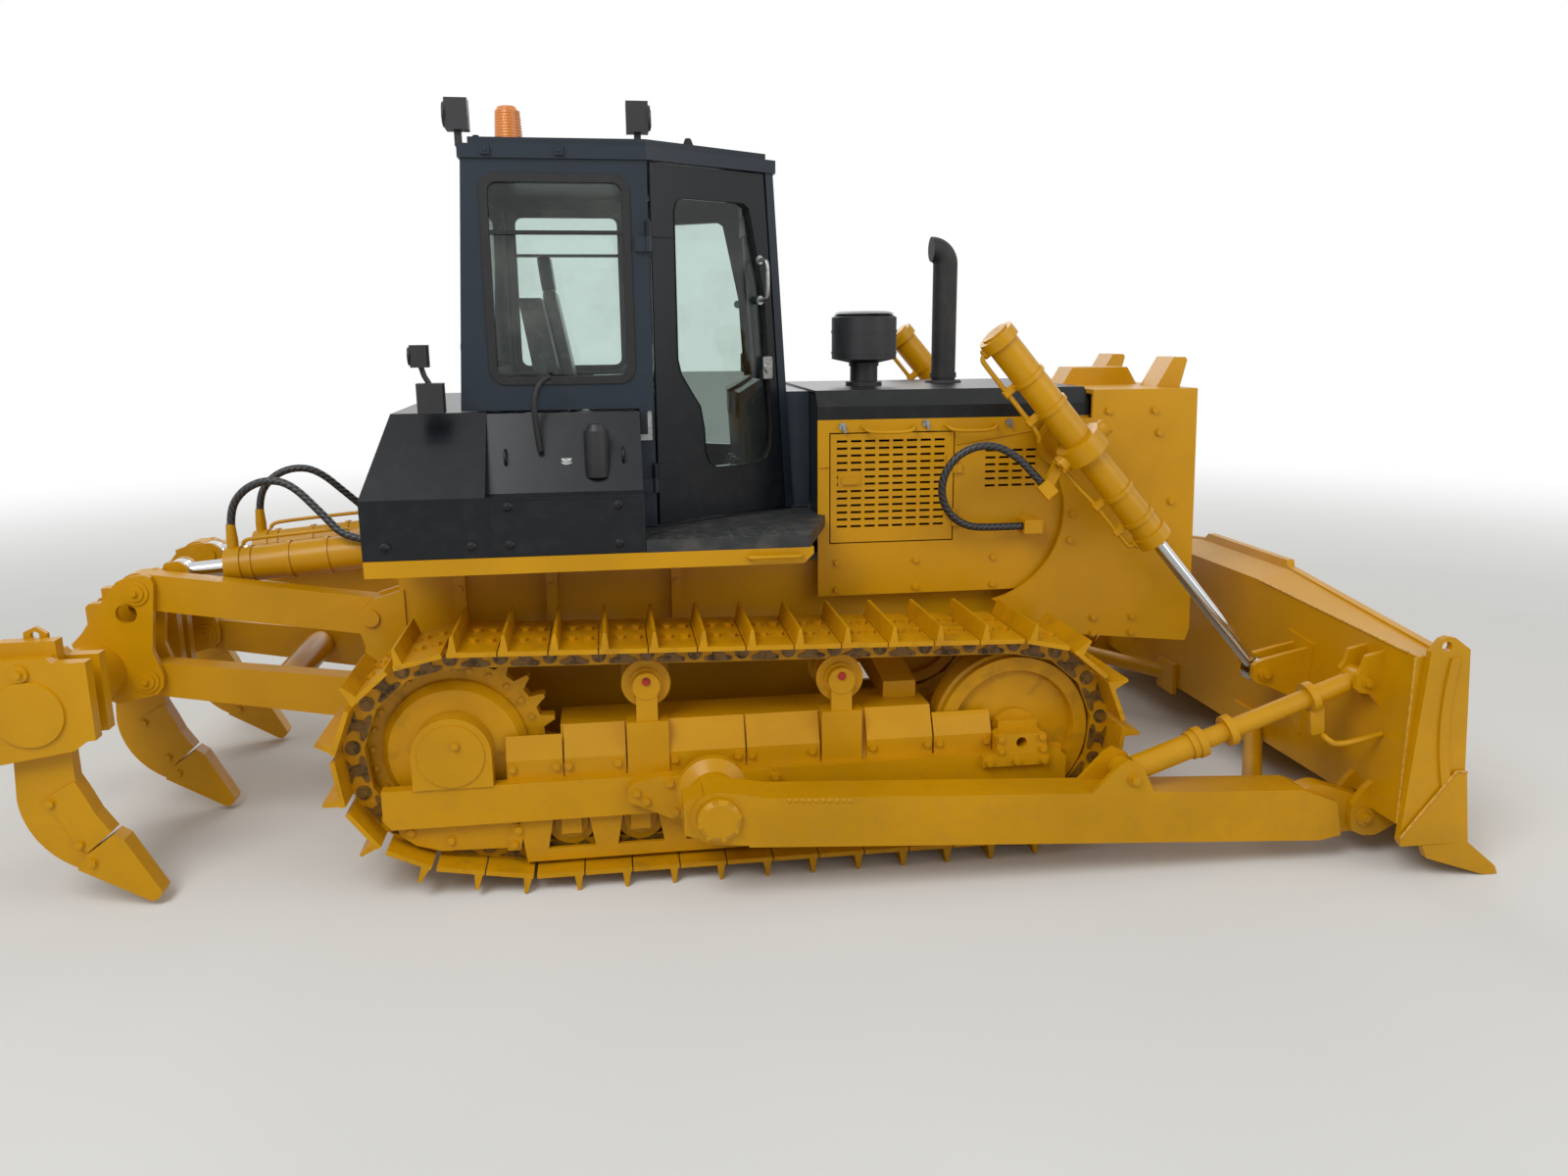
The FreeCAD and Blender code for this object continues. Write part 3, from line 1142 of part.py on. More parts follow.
def make_cab_sides():
    wall = size.cab_wall
    low, high = size.cab_side_z + 105, size.cab_roof_z - 57
    rear, front = size.cab_rear_x + 124, size.cab_post_x - 72
    window = round_corners(rear, front, low, high, size.cab_window_radius)
    side = prism("cab_side_sheet", "XZ", cab_side_outline(), -size.cab_y, -size.cab_y + wall, holes=[window])
    post = box("cab_post", (size.cab_post_x - 60, size.cab_post_x), (-size.cab_y, -size.cab_y + wall + 30),
               (size.cab_floor_z, size.cab_side_z + 10))
    hinges = []
    for name, z in CAB_HINGES:
        leaf = box("cab_hinge_leaf_" + name, (size.cab_post_x - 58, size.cab_hinge_x),
                   (-size.cab_hinge_y - 4, -size.cab_y + 1), (z - 60, z - size.seat_gap))
        knuckle = rod("cab_hinge_knuckle_" + name, "z", (size.cab_hinge_x, -size.cab_hinge_y),
                      size.cab_knuckle_radius, z - 60, z - size.seat_gap)
        hinge_pin = rod("cab_hinge_pin_" + name, "z", (size.cab_hinge_x, -size.cab_hinge_y),
                        size.cab_hinge_pin, z - 60, z + 66)
        hinges += [leaf, knuckle, hinge_pin]
    keep("cab_sides", both("cab_sides", fuse("cab_side_right", [side, post] + hinges)))
    fit = size.seat_gap
    pane = round_corners(rear + fit, front - fit, low + fit, high - fit, size.cab_window_radius - fit)
    glass = prism("side_glass_right", "XZ", pane, -size.cab_y + 18, -size.cab_y + 18 + size.glass)
    return both("side_glass", glass)


def make_cab_rear():
    wall = size.cab_wall
    y = size.cab_y - wall - size.seat_gap
    upper_x = size.cab_rear_x + 62
    lower_x = size.tank_front_x + size.seat_gap + 5
    step_z = size.tank_top_z + 2
    sheet_shape = prism("cab_rear_sheet", "XZ", [
        (upper_x, step_z), (lower_x, step_z), (lower_x, size.cab_floor_z), (lower_x + wall, size.cab_floor_z),
        (lower_x + wall, step_z + wall), (upper_x + wall, step_z + wall), (upper_x + wall, size.cab_roof_z),
        (upper_x, size.cab_roof_z)], -y, y)
    low, high = size.cab_side_z + 150, size.cab_roof_z - 100
    window = box("rear_window", (upper_x - 10, upper_x + wall + 10), (-y + 130, y - 130), (low, high))
    keep("cab_rear", cut("cab_rear", sheet_shape, [window]))
    fit = size.seat_gap
    return box("rear_glass", (upper_x + 18, upper_x + 18 + size.glass), (-y + 130 + fit, y - 130 - fit),
               (low + fit, high - fit))


def make_cab_front():
    wall = float(size.cab_wall)
    floor, roof = float(size.cab_floor_z), float(size.cab_roof_z)
    start, along, length = door_frame()
    foot_x, foot_y = float(size.cab_front_x), float(size.cab_front_y)
    lean = float(size.cab_lean)
    spread = lean * along[1] / along[0]

    def plan(z, shift):
        """The front's plan at a height: outside from the right door to the left one, then inside."""
        x, y = foot_x - shift, foot_y + spread * shift / lean
        back = float(size.cab_pillar) / math.hypot(1, along[1] / along[0])
        rise = back * along[1] / along[0]
        inner = wall * 0.75
        return [vec(x - back, -y - rise, z), vec(x, -y, z), vec(x, y, z), vec(x - back, y + rise, z),
                vec(x - back - wall * 0.4, y + rise - inner, z), vec(x - wall, y - inner * 0.6, z),
                vec(x - wall, -y + inner * 0.6, z), vec(x - back - wall * 0.4, -y - rise + inner, z)]

    wires = [Part.makePolygon(points + points[:1]) for points in (plan(floor, 0.0), plan(roof, lean))]
    shell = Part.makeLoft(wires, True, True)
    low, high = float(size.hood_top_z) + 70, roof - 80
    window = Part.makeBox(300, 2 * foot_y - 70, high - low, vec(foot_x - 250, -foot_y + 35, low))
    cowl = across(flat_face([
        ((foot_x - 20, floor), (float(size.hood_rear_x) - 0.3, floor)),
        ((float(size.hood_rear_x) - 0.3, floor), (float(size.hood_rear_x) - 0.3, float(size.hood_top_z) - 10)),
        ((float(size.hood_rear_x) - 0.3, float(size.hood_top_z) - 10), (foot_x - 60, float(size.hood_top_z) - 10)),
        ((foot_x - 60, float(size.hood_top_z) - 10), (foot_x - 20, floor))]), -foot_y + 12, foot_y - 12)
    keep("cab_front", shaped("cab_front", shell.cut(window).fuse(cowl)))
    slope = lean / (roof - floor)

    def face_x(z):
        return foot_x - 24 - (z - floor) * slope

    fit, thick = float(size.seat_gap), float(size.glass)
    sill, head = (face_x(low + fit), low + fit), (face_x(high - fit), high - fit)
    sill_back, head_back = (sill[0] - thick, sill[1]), (head[0] - thick, head[1])
    pane = flat_face([(sill, head), (head, head_back), (head_back, sill_back), (sill_back, sill)])
    return shaped("front_glass", across(pane, -foot_y + 35 + fit, foot_y - 35 - fit))


def cab_plan(inset, rear_x):
    """The cab's plan outline, set in by a distance on each side."""
    front_x = size.cab_front_x - size.cab_lean - inset
    front_y = size.cab_front_y + size.cab_lean * (size.cab_y - size.cab_front_y) / (size.cab_front_x - size.cab_post_x)
    return [
        (rear_x, -size.cab_y + inset), (size.cab_post_x, -size.cab_y + inset),
        (front_x, -front_y + inset / 2), (front_x, front_y - inset / 2),
        (size.cab_post_x, size.cab_y - inset), (rear_x, size.cab_y - inset)]


def make_cab_roof():
    low = size.cab_roof_z + size.seat_gap
    slab = prism("roof_slab", "XY", cab_plan(-12.0, size.cab_rear_x + 50), low, size.roof_top_z - 30)
    crown = prism("roof_crown", "XY", cab_plan(30.0, size.cab_rear_x + 90), size.roof_top_z - 31, size.roof_top_z)
    keep("cab_roof", fuse("cab_roof", [slab, crown]))
    floor_top = size.cab_floor_z - size.seat_gap
    floor_y = size.cab_y - 34
    keep("cab_floor", prism("cab_floor", "XY", [
        (size.tank_front_x + 2, -floor_y), (size.cab_post_x, -floor_y), (size.cab_front_x - 2, -size.cab_front_y + 18),
        (size.cab_front_x - 2, size.cab_front_y - 18), (size.cab_post_x, floor_y), (size.tank_front_x + 2, floor_y)],
        floor_top - 40, floor_top))


def door_frame():
    """The angled door plane: its rear foot, its direction and its length in plan."""
    start = (float(size.cab_post_x) + 6, -float(size.cab_y) + 6)
    end = (float(size.cab_front_x) - 4, -float(size.cab_front_y) - 2)
    length = math.hypot(end[0] - start[0], end[1] - start[1])
    return start, ((end[0] - start[0]) / length, (end[1] - start[1]) / length), length


def door_shape(outline, thick_out, thick_in):
    """Extrude an outline (distance along the door, height) between two depths inwards of its plane."""
    start, along, length = door_frame()
    inward = (-along[1], along[0])

    def at(u, z, depth):
        return vec(start[0] + along[0] * u + inward[0] * depth, start[1] + along[1] * u + inward[1] * depth, z)

    face = Part.Face(Part.makePolygon([at(u, z, thick_out) for u, z in outline + outline[:1]]))
    step = at(0, 0, thick_in) - at(0, 0, thick_out)
    return face.extrude(step)


def make_cab_doors():
    start, along, length = door_frame()
    gap = float(size.cab_door_gap)
    low, high = float(size.cab_floor_z) + gap, float(size.cab_roof_z) - gap
    wall = float(size.cab_wall)
    end_low = length - float(size.cab_pillar) - gap
    end_high = end_low - float(size.cab_lean) / along[0]
    body = door_shape([(gap, low), (end_low, low), (end_high, high), (gap, high)], 0, wall)
    trim = Part.makeBox(200, 2000, 2000, vec(float(size.cab_post_x) + gap - 200, -2000, 1300))
    # The window follows the post, swings forward above the side box and narrows towards the front.
    window = [(gap + 323, low + 222), (gap + 560, low + 222), (end_low - 108, low + 240), (end_low - 78, low + 290),
              (end_low - 72, low + 400), (end_low - 92, low + 640), (end_low - 116, low + 980),
              (end_high - 74, high - 200), (end_high - 86, high - 150), (end_high - 120, high - 129),
              (gap + 173, high - 129), (gap + 135, high - 141), (gap + 119, high - 180), (gap + 119, low + 703),
              (gap + 135, low + 640), (gap + 190, low + 560), (gap + 236, low + 498), (gap + 256, low + 400),
              (gap + 261, low + 295), (gap + 280, low + 248)]
    opening = door_shape(window, -10, wall + 10)
    door = body.cut(opening).cut(trim)
    hinge = vec(size.cab_hinge_x, -size.cab_hinge_y, 0)
    up = vec(0, 0, 1)
    for name, z in CAB_HINGES:
        level = vec(0, 0, z)
        strap = door_shape([(-12, z), (110, z), (110, z + 60), (-12, z + 60)], -12, -4)
        pad = door_shape([(12, z), (110, z), (110, z + 60), (12, z + 60)], -5, 2)
        knuckle = Part.makeCylinder(float(size.cab_knuckle_radius), 60, hinge + level, up)
        bore = Part.makeCylinder(float(size.cab_hinge_pin + size.pin_gap), 80, hinge + level - up * 10, up)
        door = door.multiFuse([strap, pad, knuckle]).cut(bore)
    right = shaped("cab_door_right", door)
    keep("cab_door_right", right)
    keep("cab_door_left", mirror("cab_door_left", right))
    middle_u = sum(u for u, z in window) / len(window)
    middle_z = sum(z for u, z in window) / len(window)
    inset = 0.997
    pane = [(middle_u + (u - middle_u) * inset, middle_z + (z - middle_z) * inset) for u, z in window]
    glass = shaped("door_glass_right", door_shape(pane, 18, 18 + float(size.glass)))
    keep("door_glass_right", glass)
    keep("door_glass_left", mirror("door_glass_left", glass))


def make_cab_inside():
    floor = size.cab_floor_z
    pedestal = box("seat_pedestal", (-820, -460), (-200, 200), (floor, floor + 260))
    cushion = box("seat_cushion", (-860, -360), (-250, 250), (floor + 260, floor + 400))
    back = prism("seat_back", "XZ", [
        (-900, floor + 350), (-780, floor + 350), (-900, floor + 980), (-1000, floor + 980)], -235, 235)
    keep("seat", fuse("seat", [pedestal, cushion, back]))
    dash = prism("dash", "XZ", [
        (30, floor), (160, floor), (150, floor + 540), (100, floor + 600), (0, floor + 540)], -290, 290)
    box_right = box("control_box_right", (-700, -300), (-420, -300), (floor, floor + 560))
    box_left = box("control_box_left", (-700, -300), (300, 420), (floor, floor + 560))
    keep("console", group("console", [dash, box_right, box_left]))


def make_cab():
    side_glass = make_cab_sides()
    rear_glass = make_cab_rear()
    front_glass = make_cab_front()
    keep("cab_glass", group("cab_glass", [side_glass, rear_glass, front_glass]))
    make_cab_roof()
    make_cab_doors()
    make_cab_inside()
    roof = size.roof_top_z + size.seat_gap
    keep("beacon", turned("beacon", "z", (-1000, -250, roof), [
        (0, 0), (62, 0), (62, 28), (46, 34), (46, 60), (62, 66), (56, 180), (42, 200), (0, 200)]))
    lamps = []
    for name, x, y, base in (("rear", -1170, -700, roof - 30), ("front", -450, -700, roof)):
        foot = box("work_lamp_foot_" + name, (x - 14, x + 14), (y - 14, y + 14), (base, roof + 30))
        body = box("work_lamp_body_" + name, (x - 45, x + 45), (y - 40, y + 40), (roof + 30, roof + 150))
        lamps.append(fuse("work_lamp_" + name, [foot, body]))
    keep("work_lamps", both("work_lamps", group("work_lamps_right", lamps)))


# Tanks and fenders

def make_side_boxes():
    rest = size.fender_top_z + size.seat_gap
    section = [
        (-size.fender_y + 10, rest), (-size.fender_y + 10, size.tank_break_z), (-size.tank_top_y - 60, size.tank_top_z),
        (size.tank_top_y + 60, size.tank_top_z), (size.fender_y - 10, size.tank_break_z), (size.fender_y - 10, rest)]
    whole = prism("tank_block", "YZ", section, size.tank_rear_x, size.tank_front_x)
    slope = prism("tank_slope", "XZ", [
        (size.tank_rear_x - 20, size.tank_break_z), (size.tank_rear_x - 20, size.tank_top_z + 20),
        (size.tank_rear_x + 110, size.tank_top_z + 20), (size.tank_rear_x + 103, size.tank_top_z),
        (size.tank_rear_x, size.tank_break_z)], -size.fender_y, size.fender_y)
    keep("fuel_tank", cut("fuel_tank", whole, [slope]))
    front = size.tank_front_x + size.seat_gap
    lower = box("hydraulic_box", (front, size.box_front_x), (-size.fender_y + 8, -size.cab_y + 30),
                (rest, size.tank_break_z))
    upper = prism("hydraulic_upper", "YZ", [
        (-size.fender_y + 120, size.tank_break_z - 2), (-size.cab_y - 30, size.cab_side_z - 10),
        (-size.cab_y + 30, size.cab_side_z - 10), (-size.cab_y + 30, size.tank_break_z - 2)],
        front, size.box_front_x)
    hydraulic = fuse("hydraulic_tank", [lower, upper])
    keep("hydraulic_tank", hydraulic)
    keep("battery_box", mirror("battery_box", hydraulic))


def make_fenders():
    low, top = size.fender_low_z, size.fender_top_z
    rail = prism("fender_rail", "XZ", [
        (size.fender_rear_x, low), (size.fender_front_x - 40, low), (size.fender_front_x, low + 40),
        (size.fender_front_x, top), (size.fender_rear_x, top)], -size.fender_y, -size.fender_y + 40)
    deck = box("fender_deck", (size.fender_rear_x, size.fender_front_x), (-size.fender_y + 40, -size.hull_y - size.seat_gap),
               (top - 12, top))
    ribs = []
    for k in range(4):
        x = size.fender_rear_x + 130 + k * 480
        ribs.append(box("fender_rib_" + str(k + 1), (x, x + 60), (-size.fender_y + 40, -size.hull_y - size.seat_gap),
                        (low, top - 12)))
    keep("fenders", both("fenders", fuse("fender_right", [rail, deck] + ribs)))
    step = prism("step_plate_right", "XY", [
        (size.box_front_x + 2, -size.fender_y), (size.fender_front_x - 15, -size.fender_y),
        (size.hood_rear_x + 25, -size.hood_y - 45), (size.hood_rear_x - 2, -size.hood_y - 4),
        (size.hood_rear_x - 2, -size.cab_front_y - 6), (size.cab_front_x + 2, -size.cab_front_y - 6),
        (size.cab_post_x, -size.cab_y - 6), (size.box_front_x + 2, -size.cab_y - 6)],
        top + size.seat_gap, size.step_top_z)
    keep("step_plates", both("step_plates", step))


# Blade and its frame

def make_push_arms():
    hub = (size.trunnion_x, size.trunnion_z)
    front = (size.blade_pin_x, size.blade_pin_z)
    inner, outer = -size.arm_inner_y, -size.arm_outer_y
    edges = flat_face([
        ((-120, 485), (2300, 354)), ((2300, 354), (2468, 285)), ((2468, 285), (2500, 130)),
        ((2500, 130), (2400, 112)), ((2400, 112), (-120, 274)), ((-120, 274), (-120, 485))])
    beam = across(edges, outer, inner)
    rear = across(link_face(hub, (-60, 380), size.arm_hub_radius, 104), outer, inner)
    knuckle = across(link_face(front, (2400, 235), size.knuckle_radius, 118), outer + 45, inner - 45)
    brace = (size.brace_rear_x, size.brace_rear_z)
    lugs = []
    for low in (outer, inner - 24):
        lug = plate_face(brace, [(-218, -91), (-69, 66), (-29, 89), (36, 58), (112, -102), (0, -90)])
        lugs.append(across(lug, low, low + 24))
    brace_pin = pin(brace, 30, outer - 8, inner + 8)
    # The bolted cap that closes the hub round the trunnion, and the strut to the blade.
    cap = across(plate_face(hub, [(-138, -70), (-60, -100), (-60, 100), (-138, 70)]), outer + 20, inner - 20)
    strut_rear = vec(size.strut_rear_x, inner - 30, size.strut_z)
    line = vec(size.blade_back_x + 60, -size.strut_front_y, size.strut_z) - strut_rear
    strut = Part.makeCylinder(float(size.strut_radius), line.Length, strut_rear, line)
    beyond = Part.makeBox(300, 3000, 1000, vec(size.blade_back_x - size.seat_gap, -3000, 0))
    strut = strut.cut(beyond)
    foot = Part.makeBox(26, 200, 180, vec(size.blade_back_x - size.seat_gap - 26, -size.strut_front_y - 130,
                                          size.strut_z - 90))
    bore = pin(hub, size.trunnion_radius + size.pin_gap, outer - 5, inner + 5)
    pin_bore = pin(front, 40 + size.pin_gap, outer - 5, inner + 5)
    arm = beam.multiFuse([rear, knuckle, brace_pin, cap, strut, foot] + lugs).cut(bore).cut(pin_bore)
    keep("push_arms", both("push_arms", shaped("push_arm_right", arm)))


def make_braces():
    y = (-size.arm_outer_y - size.arm_inner_y) / 2
    start, end = (size.brace_rear_x, size.brace_rear_z), (size.brace_front_x, size.brace_front_z)
    tube = barrel(start, end, 42, y, 60, 60)
    sleeve = barrel(start, end, 54, y, 40, 800)
    collar = barrel(start, end, 62, y, 300, 760)
    nose = barrel(start, end, 36, y, 1040, 20)
    eye_rear = pin(start, 50, y - 65, y + 65)
    eye_front = pin(end, 50, y - 46, y + 46)
    bores = [pin(start, 30 + float(size.pin_gap), y - 80, y + 80), pin(end, 26 + float(size.pin_gap), y - 60, y + 60)]
    brace = tube.multiFuse([sleeve, collar, nose, eye_rear, eye_front]).cut(bores[0]).cut(bores[1])
    keep("braces", both("braces", shaped("brace_right", brace)))


def skin_arc(depth):
    """The moldboard's curve, some way behind its front face: lowest, middle and highest point."""
    front, low, top = float(size.blade_front_x), float(size.blade_low_z), float(size.blade_crown_z)
    return ((front + 90 - depth * 1.2, low), (front - 55 - depth, (low + top) / 2), (front - depth, top))


def make_skin():
    """The curved moldboard, its top sloping down from the crown to both ends."""
    face, back = skin_arc(0), skin_arc(42)
    skin = across(flat_face([face, (face[2], back[2]), (back[2], back[1], back[0]), (back[0], face[0])]),
                  -size.blade_half, size.blade_half)
    half, crown = float(size.blade_half), float(size.blade_crown_y)
    line = [(-half - 10, float(size.blade_top_z)), (-crown - 25, float(size.blade_shoulder_z)),
            (-crown, float(size.blade_crown_z) - 1), (crown, float(size.blade_crown_z) - 1),
            (crown + 25, float(size.blade_shoulder_z)), (half + 10, float(size.blade_top_z)),
            (half + 10, float(size.blade_crown_z) + 200), (-half - 10, float(size.blade_crown_z) + 200)]
    corners = [vec(size.blade_back_x - 100, y, z) for y, z in line]
    above = Part.Face(Part.makePolygon(corners + corners[:1])).extrude(vec(600, 0, 0))
    return skin.cut(above)


def make_blade_box():
    """The closed box behind the moldboard; its rear edge and its top follow the crown."""
    middle = Part.Arc(*[vec(x, 0, z) for x, z in skin_arc(21)]).toShape().Curve

    def skin_x(z):
        return middle.Center.x - math.sqrt(middle.Radius ** 2 - (z - middle.Center.z) ** 2)

    back, low = float(size.blade_back_x), float(size.blade_back_low_z)
    edge = float(size.blade_half - size.doubler - size.end_plate)
    crown = float(size.blade_crown_y) + 50
    wires = []
    for y, rear_top, front_top in ((-edge, size.blade_back_top_z, size.blade_top_z),
                                   (-crown, size.blade_back_crown_z, size.blade_shoulder_z),
                                   (crown, size.blade_back_crown_z, size.blade_shoulder_z),
                                   (edge, size.blade_back_top_z, size.blade_top_z)):
        front_z = float(front_top) - 6
        section = [(back, low), (back, float(rear_top)), (skin_x(front_z), front_z)]
        section += [(skin_x(z), z) for z in (880.0, 616.0, 400.0, low)]
        corners = [vec(x, y, z) for x, z in section]
        wires.append(Part.makePolygon(corners + corners[:1]))
    return Part.makeLoft(wires, True, True)


def make_blade():
    half = size.blade_half
    edge = half - size.doubler - size.end_plate
    foot = float(size.blade_low_z)
    beam = across(flat_face([
        ((2760, foot + 5), (2890, foot + 5)), ((2890, foot + 5), (2870, 265)), ((2870, 265), (2760, 265)),
        ((2760, 265), (2760, foot + 5))]), -edge, edge)
    hook = (size.hook_x, size.hook_z)
    end = plate_face(hook, [(-68, -20), (-28, 32), (0, 42), (35, 36), (109, -17), (152, -538),
                            (200, foot - float(size.hook_z)), (-105, foot - float(size.hook_z)), (-118, -847)])
    doubler = plate_face(hook, [(105, -544), (155, -552), (200, foot - float(size.hook_z)),
                                (-115, foot - float(size.hook_z) + 3), (-121, -829)])
    body = make_blade_box()
    arm_mid = float(size.arm_outer_y + size.arm_inner_y) / 2
    arm_pin = (size.blade_pin_x, size.blade_pin_z)
    for side in (-1, 1):
        body = body.cut(pin(arm_pin, size.knuckle_radius + 6, side * arm_mid - 51, side * arm_mid + 51))
    pieces = [body, beam]
    for low, high, low_plate, high_plate in ((-half + size.doubler, -edge, -half, -half + size.doubler),
                                             (edge, half - size.doubler, half - size.doubler, half)):
        hole = pin(hook, size.hook_radius, low - 5, high + 5)
        pieces.append(across(end, low, high).cut(hole))
        pieces.append(across(doubler, low_plate, high_plate))
    eye = (size.lift_eye_x, size.lift_eye_z)
    back = float(size.blade_back_x - size.lift_eye_x) + 10
    pad_x = float(size.blade_back_x)
    brace = (size.brace_front_x, size.brace_front_z)
    brace_back = float(size.blade_back_x - size.brace_front_x) + 10
    for side in (-1, 1):
        lift_mid = side * float(size.lift_y)
        for low in (lift_mid - 42 - 28, lift_mid + 42):
            lug = plate_face(eye, [(-60, -24), (-58, 40), (-40, 56), (-7, 68), (122, 97), (back, 118),
                                   (back, -148), (190, -143), (13, -60), (-40, -45)])
            pieces.append(across(lug, low, low + 28))
        for low in (lift_mid - 42 - 28 - 14, lift_mid + 42 + 28):
            pieces.append(pin(eye, 34, low, low + 14))
        patch = [(lift_mid - side * 115, 879), (lift_mid + side * 105, 853), (lift_mid + side * 58, 393),
                 (lift_mid - side * 166, 524)]
        corners = [vec(pad_x - 12, y, z) for y, z in patch]
        pieces.append(Part.Face(Part.makePolygon(corners + corners[:1])).extrude(vec(14, 0, 0)))
        for low in (side * arm_mid - 47 - 24, side * arm_mid + 47):
            lug = plate_face(brace, [(-50, -28), (-50, 30), (-30, 62), (-16, 116), (brace_back, 138),
                                     (brace_back, -128), (20, -54), (-30, -46)])
            pieces.append(across(lug, low, low + 24))
        pieces.append(pin(brace, 26, side * arm_mid - 76, side * arm_mid + 76))
        for low in (side * arm_mid - 47 - 34, side * arm_mid + 47):
            lug = plate_face(arm_pin, [(-56, -60), (-64, 0), (-60, 60), (-10, 130), (92, 222), (170, 222),
                                       (170, -38), (60, -92), (0, -88)])
            pieces.append(across(lug, low, low + 34))
        pieces.append(pin(arm_pin, 40, side * arm_mid - 92, side * arm_mid + 92))
    keep("blade", shaped("blade", make_skin().multiFuse(pieces)))


def make_cutting_edge():
    tip = float(size.edge_tip_x)
    top = float(size.blade_low_z - size.seat_gap)
    plate = flat_face([((tip, 2), (tip - 14, 26)), ((tip - 14, 26), (2946, top)), ((2946, top), (2900, top)),
                       ((2900, top), (2890, top - 20)), ((2890, top - 20), (tip - 40, 2)), ((tip - 40, 2), (tip, 2))])
    half = float(size.blade_half)
    bit = flat_face([((tip + 6, 2), (tip - 10, 40)), ((tip - 10, 40), (2946, top)), ((2946, top), (2730, top)),
                     ((2730, top), (2760, top - 60)), ((2760, top - 60), (tip - 60, 2)), ((tip - 60, 2), (tip + 6, 2))])
    bits = [across(bit, -half, -half + 34), across(bit, half - 34, half)]
    keep("cutting_edge", shaped("cutting_edge", across(plate, -half, half).multiFuse(bits)))


def make_yokes():
    y = size.lift_y
    inner = size.guard_housing_y + 12 + size.seat_gap
    stem = rod("yoke_stem", "y", (size.yoke_x, size.yoke_z), size.yoke_stem_radius, -y + 85, -inner)
    start, following = vec(*LIFT_ROUTE[0]), vec(*LIFT_ROUTE[1])
    back = start - following
    back.normalize()
    turn = FreeCAD.Rotation(vec(1, 0, 0), back)
    block = Part.makeBox(75, 60, 60)
    block.Placement = FreeCAD.Placement(start - turn.multVec(vec(0, 30, 30)), turn)
    middle = start + back * 38
    arm = across(link_face((middle.x, middle.z), (size.yoke_x - 78, size.yoke_z - 67), 22, 24),
                 start.y - 15, start.y + 15)
    keep("yokes", both("yokes", fuse("yoke_right", [
        stem, shaped("yoke_collar", make_collar()), shaped("hose_block", block.fuse(arm))])))


def make_collar():
    """The ring that carries the lift cylinder, square to its axis, with its two bearing caps."""
    centre = vec(size.yoke_x, -size.lift_y, size.yoke_z)
    line = vec(size.lift_eye_x, 0, size.lift_eye_z) - vec(size.yoke_x, 0, size.yoke_z)
    line.normalize()
    aside = line.cross(vec(0, 1, 0))
    outer = Part.makeCylinder(108, 90, centre - line * 45, line)
    inner = Part.makeCylinder(float(size.lift_bore_radius + size.seat_gap), 110, centre - line * 55, line)
    caps = [Part.makeCylinder(40, 36, centre + aside * (98 * way), aside * way) for way in (-1, 1)]
    return outer.multiFuse(caps).cut(inner)


def make_lift_cylinders():
    start = (size.yoke_x, size.yoke_z)
    eye = (size.lift_eye_x, size.lift_eye_z)
    length = math.hypot(float(eye[0] - start[0]), float(eye[1] - start[1]))
    y = -size.lift_y
    line = vec(eye[0] - start[0], 0, eye[1] - start[1])
    line.normalize()
    centre = vec(start[0], y, start[1])
    behind, before = float(size.lift_barrel_rear), float(size.lift_barrel_front)
    back = centre - line * behind
    radius = float(size.lift_bore_radius)
    body = Part.makeCylinder(radius, behind + before, back, line)
    bore = Part.makeCylinder(float(size.lift_rod_radius + size.pin_gap), behind + before, back + line * 60, line)
    cap = Part.makeCylinder(radius + 14, 50, back, line)
    gland = Part.makeCylinder(radius + 10, 60, centre + line * (before - 60), line)
    barrel_right = body.multiFuse([cap, gland]).cut(bore)
    keep("lift_barrels", both("lift_barrels", shaped("lift_barrel_right", barrel_right)))
    inner_end = float(size.lift_rod_start)
    stem = Part.makeCylinder(float(size.lift_rod_radius), length - inner_end, centre + line * inner_end, line)
    eye_ring = pin(eye, 62, y - 38, y + 38)
    keep("lift_rods", both("lift_rods", shaped("lift_rod_right", stem.fuse(eye_ring))))


# Ripper

def ripper_pivots():
    """Pivots on the case and on the beam: low, high, far low, far high."""
    low = (size.ripper_hull_x, size.ripper_low_z)
    high = (size.ripper_hull_x, size.ripper_high_z)
    far_low = (size.ripper_hull_x - size.ripper_reach_x, size.ripper_low_z + size.ripper_rise_z)
    far_high = (size.ripper_hull_x - size.ripper_reach_x, size.ripper_high_z + size.ripper_rise_z)
    return low, high, far_low, far_high


def make_ripper_arms():
    low, high, far_low, far_high = ripper_pivots()
    half = size.ripper_arm_width / 2
    bore_radius = size.ripper_pin_radius + size.pin_gap
    for name, near, far, radius, far_radius in (("ripper_lower_arms", low, far_low, 98, 75),
                                                ("ripper_upper_arms", high, far_high, 88, 80)):
        pieces = []
        holes = []
        for side in (-1, 1):
            centre = side * size.ripper_arm_y
            pieces.append(across(link_face(near, far, radius, far_radius), centre - half, centre + half))
            for place in (near, far):
                holes.append(pin(place, bore_radius, centre - half - 5, centre + half + 5))
        if name == "ripper_lower_arms":
            tie = ((float(near[0]) + float(far[0])) / 2 + 60, (float(near[1]) + float(far[1])) / 2)
            pieces.append(pin(tie, 70, -size.ripper_arm_y, size.ripper_arm_y))
        solid = pieces[0].multiFuse(pieces[1:]) if name == "ripper_lower_arms" else Part.makeCompound(pieces)
        for hole in holes:
            solid = solid.cut(hole)
        keep(name, shaped(name, solid))


